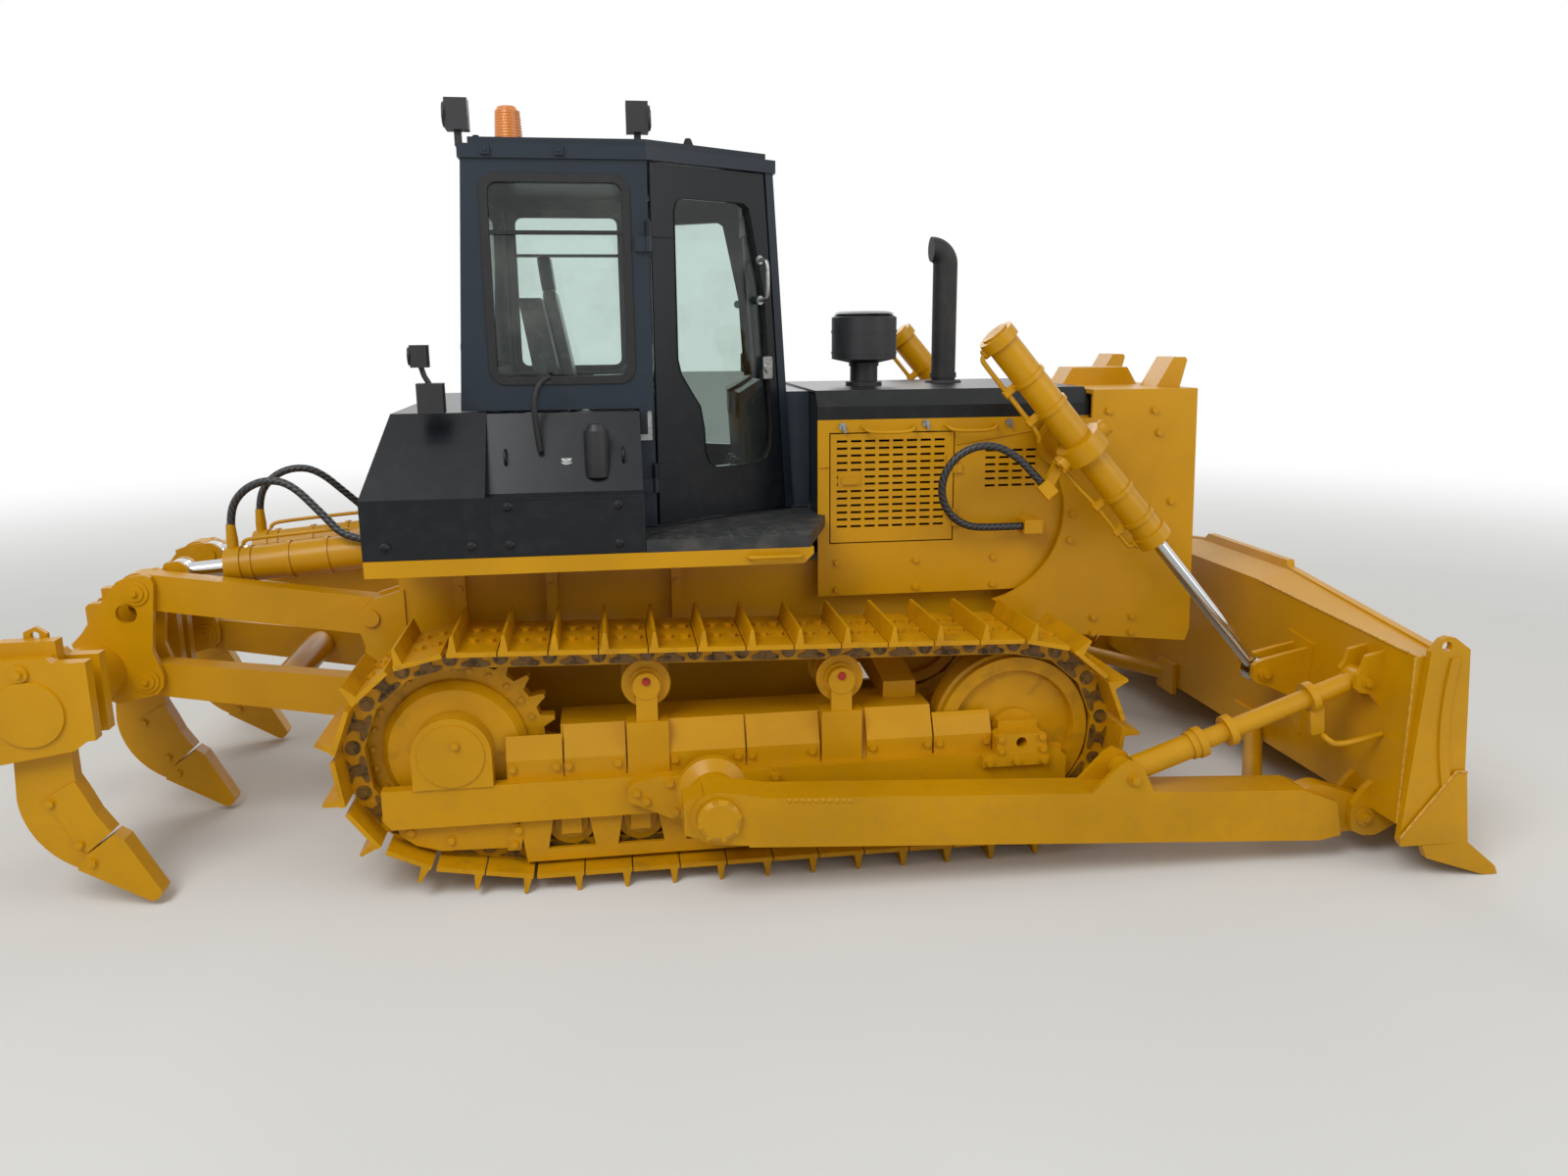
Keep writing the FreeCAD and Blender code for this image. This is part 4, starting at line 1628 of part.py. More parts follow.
def make_ripper_beam():
    low, high, far_low, far_high = ripper_pivots()
    tube_at = (size.tube_x, size.tube_z)
    end_y = size.shank_y + size.clamp_width / 2
    pieces = [pin(tube_at, size.tube_radius - 17, -end_y - 8, end_y + 8)]
    edge = size.ripper_arm_width / 2 + 3
    plate = plate_face(far_low, [
        (-285, 180), (-240, 225), (-107, 410), (-70, 452), (-19, 472), (40, 478), (70, 466), (80, 433), (43, 135),
        (75, 24), (70, -30), (41, -66), (-126, -101), (-211, -60)])
    for side in (-1, 1):
        middle = side * size.ripper_arm_y
        for low_y in (middle - edge - 32, middle + edge):
            hole = pin((size.plate_hole_x, size.plate_hole_z), size.plate_hole_radius, low_y - 5, low_y + 37)
            pieces.append(across(plate, low_y, low_y + 32).cut(hole))
        reach = edge + 32 + 14
        for place in (far_low, far_high):
            pieces.append(pin(place, size.ripper_pin_radius, middle - reach, middle + reach))
            for low_y in (middle - edge - 32 - 7, middle + edge + 32):
                pieces.append(pin(place, size.ripper_pin_radius + 18, low_y, low_y + 7))
        lug = link_face((size.ripper_eye_x, size.ripper_eye_z), (size.tube_x + 55, size.tube_z + 98), 60, 90)
        centre = side * size.ripper_cyl_y
        for low_y in (centre - 42 - 24, centre + 42):
            pieces.append(across(lug, low_y, low_y + 24))
        for low_y in (centre - 42 - 24 - 12, centre + 42 + 24):
            pieces.append(pin((size.ripper_eye_x, size.ripper_eye_z), 32, low_y, low_y + 12))
    face = plate_face(tube_at, [
        (-165, -197), (148, -150), (200, -112), (231, -110), (231, 212), (110, 212), (92, 234), (-150, 228),
        (-165, 214)])
    hole_at = (size.tube_x + 4, size.tube_z + 295)
    ear = plate_face(tube_at, [(-43, 215), (-43, 262), (-37, 311), (8, 331), (48, 302), (48, 215)])
    half = size.clamp_width / 2
    slot = size.shank_width / 2 + size.seat_gap
    shank_pin = (size.tube_x - size.shank_pin_back, size.tube_z + size.shank_pin_up)
    for centre in (-size.shank_y, 0.0, size.shank_y):
        for start, end in ((centre - half, centre - slot), (centre + slot, centre + half)):
            pieces.append(across(face, start, end))
        pieces.append(across(ear, centre + slot + 5, centre + slot + 29).cut(
            pin(hole_at, 17, centre + slot, centre + slot + 34)))
    tube = pin(tube_at, size.tube_radius, -end_y, end_y)
    body = tube.multiFuse(pieces)
    bolts = []
    for centre in (-size.shank_y, 0.0, size.shank_y):
        slot_width = float(2 * slot)
        body = body.cut(Part.makeBox(float(size.slot_back + size.slot_front), slot_width, 620,
                                     vec(size.tube_x - size.slot_back, centre - slot, size.tube_z - 300)))
        bolts.append(pin(shank_pin, size.shank_pin_radius, centre - half - 14, centre + half + 14))
    keep("ripper_beam", shaped("ripper_beam", body.multiFuse(bolts)))


def make_shanks():
    """Three curved shanks, each with its protector and its pointed tip."""
    x, z = float(size.tube_x), float(size.tube_z)
    rear = -float(size.slot_back) + float(size.seat_gap)
    front = float(size.slot_front) - float(size.seat_gap)
    top = 288.0

    def at(a, b):
        return x + a, z + b

    core = flat_face([
        (at(rear, top), at(front, top)), (at(front, top), at(front, -282)),
        (at(front, -282), at(143, -415), at(217, -524)), (at(217, -524), at(113, -614)),
        (at(113, -614), at(72, -674)), (at(72, -674), at(-74, -534), at(-122, -363)),
        (at(-122, -363), at(rear, -217)), (at(rear, -217), at(rear, top))])
    protector = plate_face((x, z), [
        (-25, -370), (37, -332), (105, -296), (135, -362), (166, -440), (217, -524), (115, -606), (75, -562),
        (33, -457), (-15, -404)])
    tip = plate_face((x, z), [(70, -676), (113, -614), (225, -532), (262, -560), (382, -800), (372, -822),
                              (349, -838), (330, -834)])
    half = size.shank_width / 2
    bore = (size.tube_x - size.shank_pin_back, size.tube_z + size.shank_pin_up)
    shanks = []
    for centre in (-size.shank_y, 0.0 * size.shank_y, size.shank_y):
        solid = across(core, centre - half, centre + half).multiFuse([
            across(protector, centre - half - 9, centre + half + 9), across(tip, centre - half - 13, centre + half + 13)])
        hole = pin(bore, size.shank_pin_radius + size.pin_gap, centre - half - 5, centre + half + 5)
        shanks.append(shaped("shank", solid.cut(hole)))
    keep("ripper_shanks", group("ripper_shanks", shanks))


def make_ripper_cylinders():
    start = (size.ripper_cyl_x, size.ripper_cyl_z)
    eye = (size.ripper_eye_x, size.ripper_eye_z)
    y = -size.ripper_cyl_y
    line = vec(eye[0] - start[0], 0, eye[1] - start[1])
    length = line.Length
    line.normalize()
    foot = vec(start[0], y, start[1])
    barrel_end = float(size.ripper_barrel_length)
    radius = float(size.ripper_bore_radius)
    body = Part.makeCylinder(radius, barrel_end - 80, foot + line * 80, line)
    head = Part.makeCylinder(radius + 8, 70, foot + line * (barrel_end - 65), line)
    neck = pin(start, 58, y - 40, y + 40)
    stem_in = Part.makeCylinder(40, 60, foot + line * 30, line)
    inner = 150
    bore = Part.makeCylinder(float(size.ripper_rod_radius + size.pin_gap), barrel_end, foot + line * inner, line)
    eye_bore = pin(start, 32 + size.pin_gap, y - 60, y + 60)
    port_at = RIPPER_ROUTE[0]
    port = Part.makeCylinder(float(size.fitting_radius), 90, vec(port_at[0], port_at[1], port_at[2] - 90))
    barrel_right = body.multiFuse([head, neck, stem_in, port]).cut(bore).cut(eye_bore)
    keep("ripper_barrels", both("ripper_barrels", shaped("ripper_barrel_right", barrel_right)))
    start_in = inner + 300
    stem = Part.makeCylinder(float(size.ripper_rod_radius), length - start_in, foot + line * start_in, line)
    keep("ripper_rods", both("ripper_rods", shaped("ripper_rod_right", stem.fuse(pin(eye, 58, y - 38, y + 38)))))


# Hoses

def hose_path(points):
    """Straight runs between the points, each corner an arc as large as its two runs allow."""
    corners = [vec(*point) for point in points]
    edges, radii = [], []
    start = corners[0]
    for before, corner, after in zip(corners, corners[1:], corners[2:]):
        into, out = corner - before, after - corner
        reach = 0.45 * min(into.Length, out.Length)
        half_turn = into.getAngle(out) / 2
        radius = reach / math.tan(half_turn)
        into.normalize()
        out.normalize()
        aside = out - into
        aside.normalize()
        centre = corner + aside * (radius / math.cos(half_turn))
        first, last = corner - into * reach, corner + out * reach
        edges.append(Part.LineSegment(start, first).toShape())
        edges.append(Part.Arc(first, centre - aside * radius, last).toShape())
        start = last
        radii.append(round(radius))
    edges.append(Part.LineSegment(start, corners[-1]).toShape())
    return Part.Wire(edges), radii


def make_hose(name, route):
    """A hose on the right with its twin on the left."""
    path, radii = hose_path(route)
    radius = float(size.hose_radius)
    ring = Part.Wire([Part.makeCircle(radius, vec(*route[0]), vec(*route[1]) - vec(*route[0]))])
    tube = path.makePipeShell([ring], True, False)
    share = tube.Volume / (math.pi * radius ** 2 * path.Length)
    print(name, "radii", radii, "length", round(path.Length), "volume share", round(share, 4))
    right = shaped(name + "_right", tube)
    keep(name + "_right", right)
    keep(name + "_left", mirror(name + "_left", right))


make_tracks()
make_sprockets()
make_idlers()
make_rollers()
make_track_frames()
make_equalizer()
make_main_frame()
make_engine()
make_hood()
make_side_panels()
make_engine_doors()
make_radiator_guard()
make_grille()
make_front_lamps()
make_stack()
make_cab()
make_side_boxes()
make_fenders()
make_push_arms()
make_braces()
make_blade()
make_cutting_edge()
make_yokes()
make_lift_cylinders()
make_ripper_arms()
make_ripper_beam()
make_shanks()
make_ripper_cylinders()
make_hose("lift_hose", LIFT_ROUTE)
make_hose("ripper_hose", RIPPER_ROUTE)
doc.recompute()

for item in doc.Objects:
    if "Invalid" in item.State or "Error" in item.State:
        raise RuntimeError(item.Label + " did not build: " + ", ".join(item.State))
for name, item in NODES.items():
    if item.Shape.isNull() or not item.Shape.isValid():
        raise RuntimeError(name + " has no valid shape")
for name, item in NODES.items():
    item.Shape.exportStep("parts/" + name + ".step")
print(len(NODES), "sub-parts written")
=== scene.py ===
import math

import bmesh
import bpy
from mathutils import Matrix, Vector


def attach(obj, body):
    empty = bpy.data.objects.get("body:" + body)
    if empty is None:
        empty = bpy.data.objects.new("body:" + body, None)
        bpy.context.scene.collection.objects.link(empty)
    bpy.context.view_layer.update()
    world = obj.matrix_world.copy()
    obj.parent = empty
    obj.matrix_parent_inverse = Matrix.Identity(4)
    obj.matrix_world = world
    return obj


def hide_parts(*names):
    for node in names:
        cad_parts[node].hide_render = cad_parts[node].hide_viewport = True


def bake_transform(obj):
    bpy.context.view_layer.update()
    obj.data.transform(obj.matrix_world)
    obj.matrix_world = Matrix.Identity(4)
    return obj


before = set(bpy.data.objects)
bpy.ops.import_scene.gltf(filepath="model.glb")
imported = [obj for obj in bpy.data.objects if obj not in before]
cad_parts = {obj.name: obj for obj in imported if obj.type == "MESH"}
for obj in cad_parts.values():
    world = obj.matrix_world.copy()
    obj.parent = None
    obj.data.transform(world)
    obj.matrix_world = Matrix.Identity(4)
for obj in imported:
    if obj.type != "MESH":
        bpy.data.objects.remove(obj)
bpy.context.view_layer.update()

bl_info = {
    "name": "Crawler tractor with blade and ripper",
    "version": (1, 0, 0),
    "blender": (4, 5, 0),
    "location": "View3D > Sidebar > Tractor",
    "description": "Dresses the packed crawler tractor with its paint, seals, bolts, hoses and fittings",
    "category": "Object",
}

MM = 0.001
SIDES = (("right", -1), ("left", 1))


# Values that a user would change

class TractorPaint(bpy.types.PropertyGroup):
    """Colours of the finishes, as sRGB hex values."""

    yellow: bpy.props.StringProperty(name="Yellow enamel", description="Frame, tracks, blade and ripper",
                                     default="CE9500")
    cab: bpy.props.StringProperty(name="Cab enamel", description="Cab walls and roof", default="27303A")
    boxes: bpy.props.StringProperty(name="Side box enamel", description="Cab doors, tanks and side boxes",
                                    default="14181D")
    hood: bpy.props.StringProperty(name="Hood enamel", description="Top of the hood", default="121416")
    rubber: bpy.props.StringProperty(name="Rubber", description="Window seals and hoses", default="0B0B0C")
    glass_tint: bpy.props.StringProperty(name="Glass tint", description="Cab windows", default="DCE8E4")
    amber: bpy.props.StringProperty(name="Beacon", description="Warning beacon lens", default="F08A00")


class TractorSizes(bpy.types.PropertyGroup):
    """Sizes of the small parts."""

    seal_width: bpy.props.FloatProperty(name="Seal width", description="Rubber seal round a cab window",
                                        default=0.034, unit="LENGTH")
    shoe_bolt: bpy.props.FloatProperty(name="Shoe bolt", description="Track shoe bolt head, across its corners",
                                       default=0.038, unit="LENGTH")
    plate_bolt: bpy.props.FloatProperty(name="Plate bolt", description="Bolt head on plates and caps",
                                        default=0.030, unit="LENGTH")
    weld: bpy.props.FloatProperty(name="Weld bead", description="Radius of a weld bead", default=0.006,
                                  unit="LENGTH")


def paint():
    return bpy.context.scene.tractor_paint


def sizes():
    return bpy.context.scene.tractor_sizes


# Colour and shader helpers

def linear(code):
    """An sRGB hex value as a linear colour."""
    shares = [int(code[i:i + 2], 16) / 255 for i in (0, 2, 4)]
    return [share / 12.92 if share <= 0.04045 else ((share + 0.055) / 1.055) ** 2.4 for share in shares] + [1.0]


def add_node(tree, kind, settings=None, inputs=None):
    """Add a shader node, with its settings, and its sockets' values or links."""
    item = tree.nodes.new(kind)
    for name, value in (settings or {}).items():
        setattr(item, name, value)
    for name, value in (inputs or {}).items():
        if isinstance(value, bpy.types.NodeSocket):
            tree.links.new(value, item.inputs[name])
        else:
            item.inputs[name].default_value = value
    return item


def new_material(name):
    """An empty node material with its output, and the object coordinates."""
    material = bpy.data.materials.new(name)
    material.use_nodes = True
    tree = material.node_tree
    tree.nodes.clear()
    output = add_node(tree, "ShaderNodeOutputMaterial")
    place = add_node(tree, "ShaderNodeTexCoord")
    return material, tree, output, place.outputs["Object"]


def noise(tree, place, scale, detail=3.0, rough=0.5):
    """A noise pattern whose scale is cells in a metre."""
    return add_node(tree, "ShaderNodeTexNoise", inputs={
        "Vector": place, "Scale": scale, "Detail": detail, "Roughness": rough}).outputs["Fac"]


def ramp(tree, value, low, high, to_low=0.0, to_high=1.0):
    """A value stretched from low..high to to_low..to_high, smoothly."""
    return add_node(tree, "ShaderNodeMapRange", {"interpolation_type": "SMOOTHSTEP"}, {
        "Value": value, "From Min": low, "From Max": high, "To Min": to_low, "To Max": to_high}).outputs["Result"]


def mix_colour(tree, share, first, second, blend="MIX"):
    """Two colours mixed by a share."""
    item = add_node(tree, "ShaderNodeMix", {"data_type": "RGBA", "blend_type": blend})
    for socket, value in ((item.inputs[0], share), (item.inputs[6], first), (item.inputs[7], second)):
        if isinstance(value, bpy.types.NodeSocket):
            tree.links.new(value, socket)
        else:
            socket.default_value = value
    return item.outputs[2]


def bump(tree, height, strength, distance):
    """A bump of a height pattern; distance in metres."""
    return add_node(tree, "ShaderNodeBump", inputs={
        "Height": height, "Strength": strength, "Distance": distance}).outputs["Normal"]


def shader(tree, output, inputs):
    """The surface shader, linked to the material's output."""
    item = add_node(tree, "ShaderNodeBsdfPrincipled", inputs=inputs)
    tree.links.new(item.outputs["BSDF"], output.inputs["Surface"])
    return item


def enamel(name, code, roughness, dust_code, dust_top, dust_share, peel=0.12):
    """Sprayed machine enamel on steel plate: a gloss coat with orange peel about 4 mm wide, drawn at 9 mm to show,
    clouds of thinner and thicker paint half a metre wide, and pale dust that thickens towards the ground."""
    material, tree, output, place = new_material(name)
    base = linear(code)
    darker = [share * 0.86 for share in base[:3]] + [1.0]
    cloud = ramp(tree, noise(tree, place, 2.1), 0.35, 0.7)
    colour = mix_colour(tree, cloud, base, darker)
    height = add_node(tree, "ShaderNodeSeparateXYZ", inputs={"Vector": place}).outputs["Z"]
    low = ramp(tree, height, 0.0, dust_top, 1.0, 0.12)
    speck = ramp(tree, noise(tree, place, 14.0, 6.0, 0.62), 0.42, 0.75)
    amount = add_node(tree, "ShaderNodeMath", {"operation": "MULTIPLY"}, {0: low, 1: speck}).outputs["Value"]
    amount = add_node(tree, "ShaderNodeMath", {"operation": "MULTIPLY"}, {0: amount, 1: dust_share}).outputs["Value"]
    colour = mix_colour(tree, amount, colour, linear(dust_code))
    rough = ramp(tree, amount, 0.0, 0.6, roughness, min(1.0, roughness + 0.35))
    normal = bump(tree, noise(tree, place, 110.0, 2.0), peel, 0.0006)
    shader(tree, output, {"Base Color": colour, "Roughness": rough, "Normal": normal,
                          "Specular IOR Level": 0.28, "Coat Weight": 0.05, "Coat Roughness": 0.12})
    return material


def yellow_enamel():
    """The maker's yellow, sprayed over everything that isn't the cab, fresh and only a little dusty."""
    return enamel("yellow_machine_enamel", paint().yellow, 0.34, "A87E2A", 0.9, 0.3)


def chain_enamel():
    """The same yellow on the running gear, thinner and with grease and rust brown in the recesses."""
    material, tree, output, place = new_material("greasy_yellow_enamel")
    base = mix_colour(tree, ramp(tree, noise(tree, place, 5.0), 0.35, 0.7), linear(paint().yellow),
                      linear("C08A06"))
    grime = ramp(tree, noise(tree, place, 9.0, 9.0, 0.62), 0.5, 0.78, 0.0, 0.55)
    colour = mix_colour(tree, grime, base, linear("7A5A1C"))
    rough = ramp(tree, grime, 0.0, 1.0, 0.38, 0.72)
    shader(tree, output, {"Base Color": colour, "Roughness": rough, "Specular IOR Level": 0.28,
                          "Normal": bump(tree, noise(tree, place, 90.0, 4.0), 0.25, 0.0012)})
    return material


def cab_enamel():
    """Dark blue-grey satin enamel on the cab: it shows dust and wide soft reflections."""
    return enamel("blue_grey_cab_enamel", paint().cab, 0.3, "6F6D66", 3.2, 0.08, 0.08)


def box_enamel():
    """Near-black satin enamel with a blue cast on the cab doors, the tanks and the side boxes."""
    return enamel("blue_black_box_enamel", paint().boxes, 0.3, "6F6D66", 3.2, 0.08, 0.08)


def hood_enamel():
    """Near-black satin enamel on the hood."""
    return enamel("black_hood_enamel", paint().hood, 0.36, "6E6B62", 3.4, 0.12, 0.1)


def heat_black():
    """Flat black heat paint on the exhaust: brownish where it has been hot."""
    material, tree, output, place = new_material("black_heat_paint")
    colour = mix_colour(tree, ramp(tree, noise(tree, place, 12.0, 5.0), 0.4, 0.7), linear("17181A"),
                        linear("2A2521"))
    shader(tree, output, {"Base Color": colour, "Roughness": 0.62,
                          "Normal": bump(tree, noise(tree, place, 260.0, 2.0), 0.2, 0.0006)})
    return material


def moulded_plastic():
    """Black moulded ABS with a fine leathery grain, 2 mm drawn at 5 mm."""
    material, tree, output, place = new_material("black_moulded_plastic")
    grain = add_node(tree, "ShaderNodeTexVoronoi", inputs={"Vector": place, "Scale": 220.0}).outputs["Distance"]
    colour = mix_colour(tree, ramp(tree, noise(tree, place, 6.0), 0.3, 0.8), linear("1A1B1D"), linear("26272A"))
    shader(tree, output, {"Base Color": colour, "Roughness": 0.48, "Normal": bump(tree, grain, 0.15, 0.0008)})
    return material


def rubber():
    """Black vulcanised rubber, dull, with a grey bloom."""
    material, tree, output, place = new_material("black_rubber")
    colour = mix_colour(tree, ramp(tree, noise(tree, place, 18.0, 5.0), 0.45, 0.8), linear(paint().rubber),
                        linear("18181A"))
    shader(tree, output, {"Base Color": colour, "Roughness": 0.6,
                          "Normal": bump(tree, noise(tree, place, 400.0, 2.0), 0.15, 0.0004)})
    return material


def spiral_sheath():
    """Hydraulic hose in a spiral plastic sheath: ridges every 14 mm along the hose, drawn from its own UV map."""
    material, tree, output, place = new_material("sheathed_hydraulic_hose")
    own = add_node(tree, "ShaderNodeUVMap").outputs["UV"]
    run = add_node(tree, "ShaderNodeMapping", inputs={"Vector": own, "Scale": (1.0, 1.0, 1.0)}).outputs["Vector"]
    wave = add_node(tree, "ShaderNodeTexWave", {"wave_type": "BANDS", "bands_direction": "DIAGONAL"}, {
        "Vector": run, "Scale": 22.0, "Distortion": 0.0}).outputs["Fac"]
    colour = mix_colour(tree, wave, linear("141416"), linear("3A3B3D"))
    shader(tree, output, {"Base Color": colour, "Roughness": 0.42, "Normal": bump(tree, wave, 0.6, 0.002)})
    return material


def chrome_rod():
    """Hard-chromed and ground rod: a bright mirror with faint rings of wear and an oil film."""
    material, tree, output, place = new_material("ground_chrome")
    smear = ramp(tree, noise(tree, place, 9.0, 5.0), 0.35, 0.75, 0.09, 0.26)
    shader(tree, output, {"Base Color": linear("C9CBCC"), "Metallic": 1.0, "Roughness": smear})
    return material


def bright_zinc():
    """Zinc-plated steel catches and hinges: pale grey with a faint crystal pattern."""
    material, tree, output, place = new_material("zinc_plated_steel")
    colour = mix_colour(tree, ramp(tree, noise(tree, place, 60.0, 3.0), 0.35, 0.7), linear("A9ABA9"),
                        linear("8B8D8C"))
    shader(tree, output, {"Base Color": colour, "Metallic": 1.0, "Roughness": 0.34})
    return material


def tread_steel():
    """Black tread plate with grey scuffed crowns and pale dust in between."""
    material, tree, output, place = new_material("scuffed_tread_plate")
    scuff = ramp(tree, noise(tree, place, 12.0, 8.0, 0.6), 0.4, 0.8)
    colour = mix_colour(tree, scuff, linear("1E2124"), linear("4A4741"))
    shader(tree, output, {"Base Color": colour, "Roughness": 0.6,
                          "Normal": bump(tree, noise(tree, place, 160.0, 3.0), 0.3, 0.001)})
    return material


def window_glass():
    """Toughened cab glass, 5 mm, faintly green, with a thin film of dust that thickens near the edges' corners."""
    material, tree, output, place = new_material("toughened_glass")
    film = ramp(tree, noise(tree, place, 3.0, 6.0, 0.65), 0.45, 0.85, 0.0, 0.10)
    glass = add_node(tree, "ShaderNodeBsdfPrincipled", inputs={
        "Base Color": linear(paint().glass_tint), "Roughness": 0.02, "IOR": 1.05, "Transmission Weight": 1.0,
        "Coat Weight": 0.6, "Coat Roughness": 0.02})
    dust = add_node(tree, "ShaderNodeBsdfDiffuse", inputs={"Color": linear("B9B7AC")})
    both = add_node(tree, "ShaderNodeMixShader", inputs={0: film})
    tree.links.new(glass.outputs["BSDF"], both.inputs[1])
    tree.links.new(dust.outputs["BSDF"], both.inputs[2])
    tree.links.new(both.outputs["Shader"], output.inputs["Surface"])
    return material


def lamp_glass():
    """Pressed lamp glass over a bright reflector."""
    material, tree, output, place = new_material("pressed_lamp_glass")
    flute = add_node(tree, "ShaderNodeTexWave", {"bands_direction": "Y"}, {
        "Vector": place, "Scale": 30.0}).outputs["Fac"]
    shader(tree, output, {"Base Color": linear("DDE2E4"), "Metallic": 0.35, "Roughness": 0.12,
                          "Normal": bump(tree, flute, 0.3, 0.002), "Coat Weight": 1.0})
    return material


def amber_lens():
    """Amber polycarbonate beacon lens: moulded prisms in rings, a little see-through."""
    material, tree, output, place = new_material("amber_polycarbonate")
    ring = add_node(tree, "ShaderNodeTexWave", {"bands_direction": "Z"}, {
        "Vector": place, "Scale": 26.0}).outputs["Fac"]
    shader(tree, output, {"Base Color": linear(paint().amber), "Roughness": 0.22, "IOR": 1.58,
                          "Transmission Weight": 0.25, "Normal": bump(tree, ring, 0.5, 0.003),
                          "Coat Weight": 0.5})
    return material


def seat_vinyl():
    """Black seat vinyl, pressed grain 3 mm across, under a loose clear wrapping; the lighter grey patches in the colour
    are painted sheen of the wrapping's folds.
    """
    material, tree, output, place = new_material("black_seat_vinyl")
    grain = add_node(tree, "ShaderNodeTexVoronoi", inputs={"Vector": place, "Scale": 300.0}).outputs["Distance"]
    # Painted sheen: lighter grey patches where the clear wrapping folds, mixed into the vinyl's colour.
    wrap_sheen = ramp(tree, noise(tree, place, 16.0, 6.0, 0.7), 0.5, 0.66)
    colour = mix_colour(tree, wrap_sheen, linear("1B1C1E"), linear("45474A"))
    shader(tree, output, {"Base Color": colour, "Roughness": 0.42, "Coat Weight": 0.3,
                          "Normal": bump(tree, grain, 0.25, 0.001)})
    return material


def red_enamel():
    """Red enamel on the rollers' filler plugs and the caps that show in the photograph."""
    material, tree, output, place = new_material("red_plug_enamel")
    colour = mix_colour(tree, ramp(tree, noise(tree, place, 40.0), 0.4, 0.7), linear("B3261A"), linear("7A1D14"))
    shader(tree, output, {"Base Color": colour, "Roughness": 0.4})
    return material


def cast_grey():
    """Grey engine enamel over sand-cast iron, 3 mm grain."""
    material, tree, output, place = new_material("cast_engine_iron")
    colour = mix_colour(tree, ramp(tree, noise(tree, place, 7.0, 4.0), 0.35, 0.7), linear("3A3C3D"),
                        linear("25211D"))
    shader(tree, output, {"Base Color": colour, "Roughness": 0.7,
                          "Normal": bump(tree, noise(tree, place, 300.0, 3.0), 0.4, 0.0012)})
    return material


def greasy_chain():
    """Chain links and pins: yellow paint almost hidden under brown grease and dust."""
    material, tree, output, place = new_material("greasy_chain_steel")
    clot = ramp(tree, noise(tree, place, 26.0, 7.0, 0.68), 0.42, 0.66)
    colour = mix_colour(tree, clot, linear("7D5A14"), linear("3A2B16"))
    rough = ramp(tree, clot, 0.0, 1.0, 0.36, 0.75)
    shader(tree, output, {"Base Color": colour, "Roughness": rough,
                          "Normal": bump(tree, noise(tree, place, 120.0, 4.0), 0.4, 0.0015)})
    return material


def weld_bead():
    """Fresh weld beads and plug welds under thin paint: paler than the plate, with ripples 5 mm apart."""
    material, tree, output, place = new_material("painted_weld_bead")
    colour = mix_colour(tree, ramp(tree, noise(tree, place, 70.0, 3.0), 0.4, 0.7), linear("D6A02A"),
                        linear("B5820F"))
    shader(tree, output, {"Base Color": colour, "Roughness": 0.42,
                          "Normal": bump(tree, noise(tree, place, 200.0, 2.0), 0.5, 0.002)})
    return material


def pale_floor():
    """Matt pale studio floor; seen from the camera it fades to white paper far from the machine."""
    material, tree, output, place = new_material("pale_studio_floor")
    fleck = mix_colour(tree, ramp(tree, noise(tree, place, 0.6, 3.0), 0.3, 0.7), linear("DEDEDB"),
                       linear("E0E0DD"))
    near = add_node(tree, "ShaderNodeBsdfDiffuse", inputs={"Color": fleck, "Roughness": 0.5})
    away = add_node(tree, "ShaderNodeVectorMath", {"operation": "LENGTH"}, {0: place}).outputs["Value"]
    away = ramp(tree, away, 5.0, 17.0)
    seen = add_node(tree, "ShaderNodeLightPath").outputs["Is Camera Ray"]
    share = add_node(tree, "ShaderNodeMath", {"operation": "MULTIPLY"}, {0: away, 1: seen}).outputs["Value"]
    paper = add_node(tree, "ShaderNodeEmission", inputs={"Color": linear("FFFFFF"), "Strength": 1.0})
    both = add_node(tree, "ShaderNodeMixShader", inputs={0: share})
    tree.links.new(near.outputs["BSDF"], both.inputs[1])
    tree.links.new(paper.outputs["Emission"], both.inputs[2])
    tree.links.new(both.outputs["Shader"], output.inputs["Surface"])
    return material


MAKERS = {
    "yellow": yellow_enamel, "chain": chain_enamel, "cab": cab_enamel, "box": box_enamel, "hood": hood_enamel, "heat": heat_black,
    "plastic": moulded_plastic, "rubber": rubber, "sheath": spiral_sheath, "chrome": chrome_rod,
    "zinc": bright_zinc, "tread": tread_steel, "glass": window_glass, "lamp": lamp_glass, "amber": amber_lens,
    "seat": seat_vinyl, "red": red_enamel, "iron": cast_grey, "grease": greasy_chain,
    "weld": weld_bead, "floor": pale_floor,
}
FINISHES = {}


def finish(name):
    """A finish by its short name, made once."""
    if name not in FINISHES:
        FINISHES[name] = MAKERS[name]()
    return FINISHES[name]


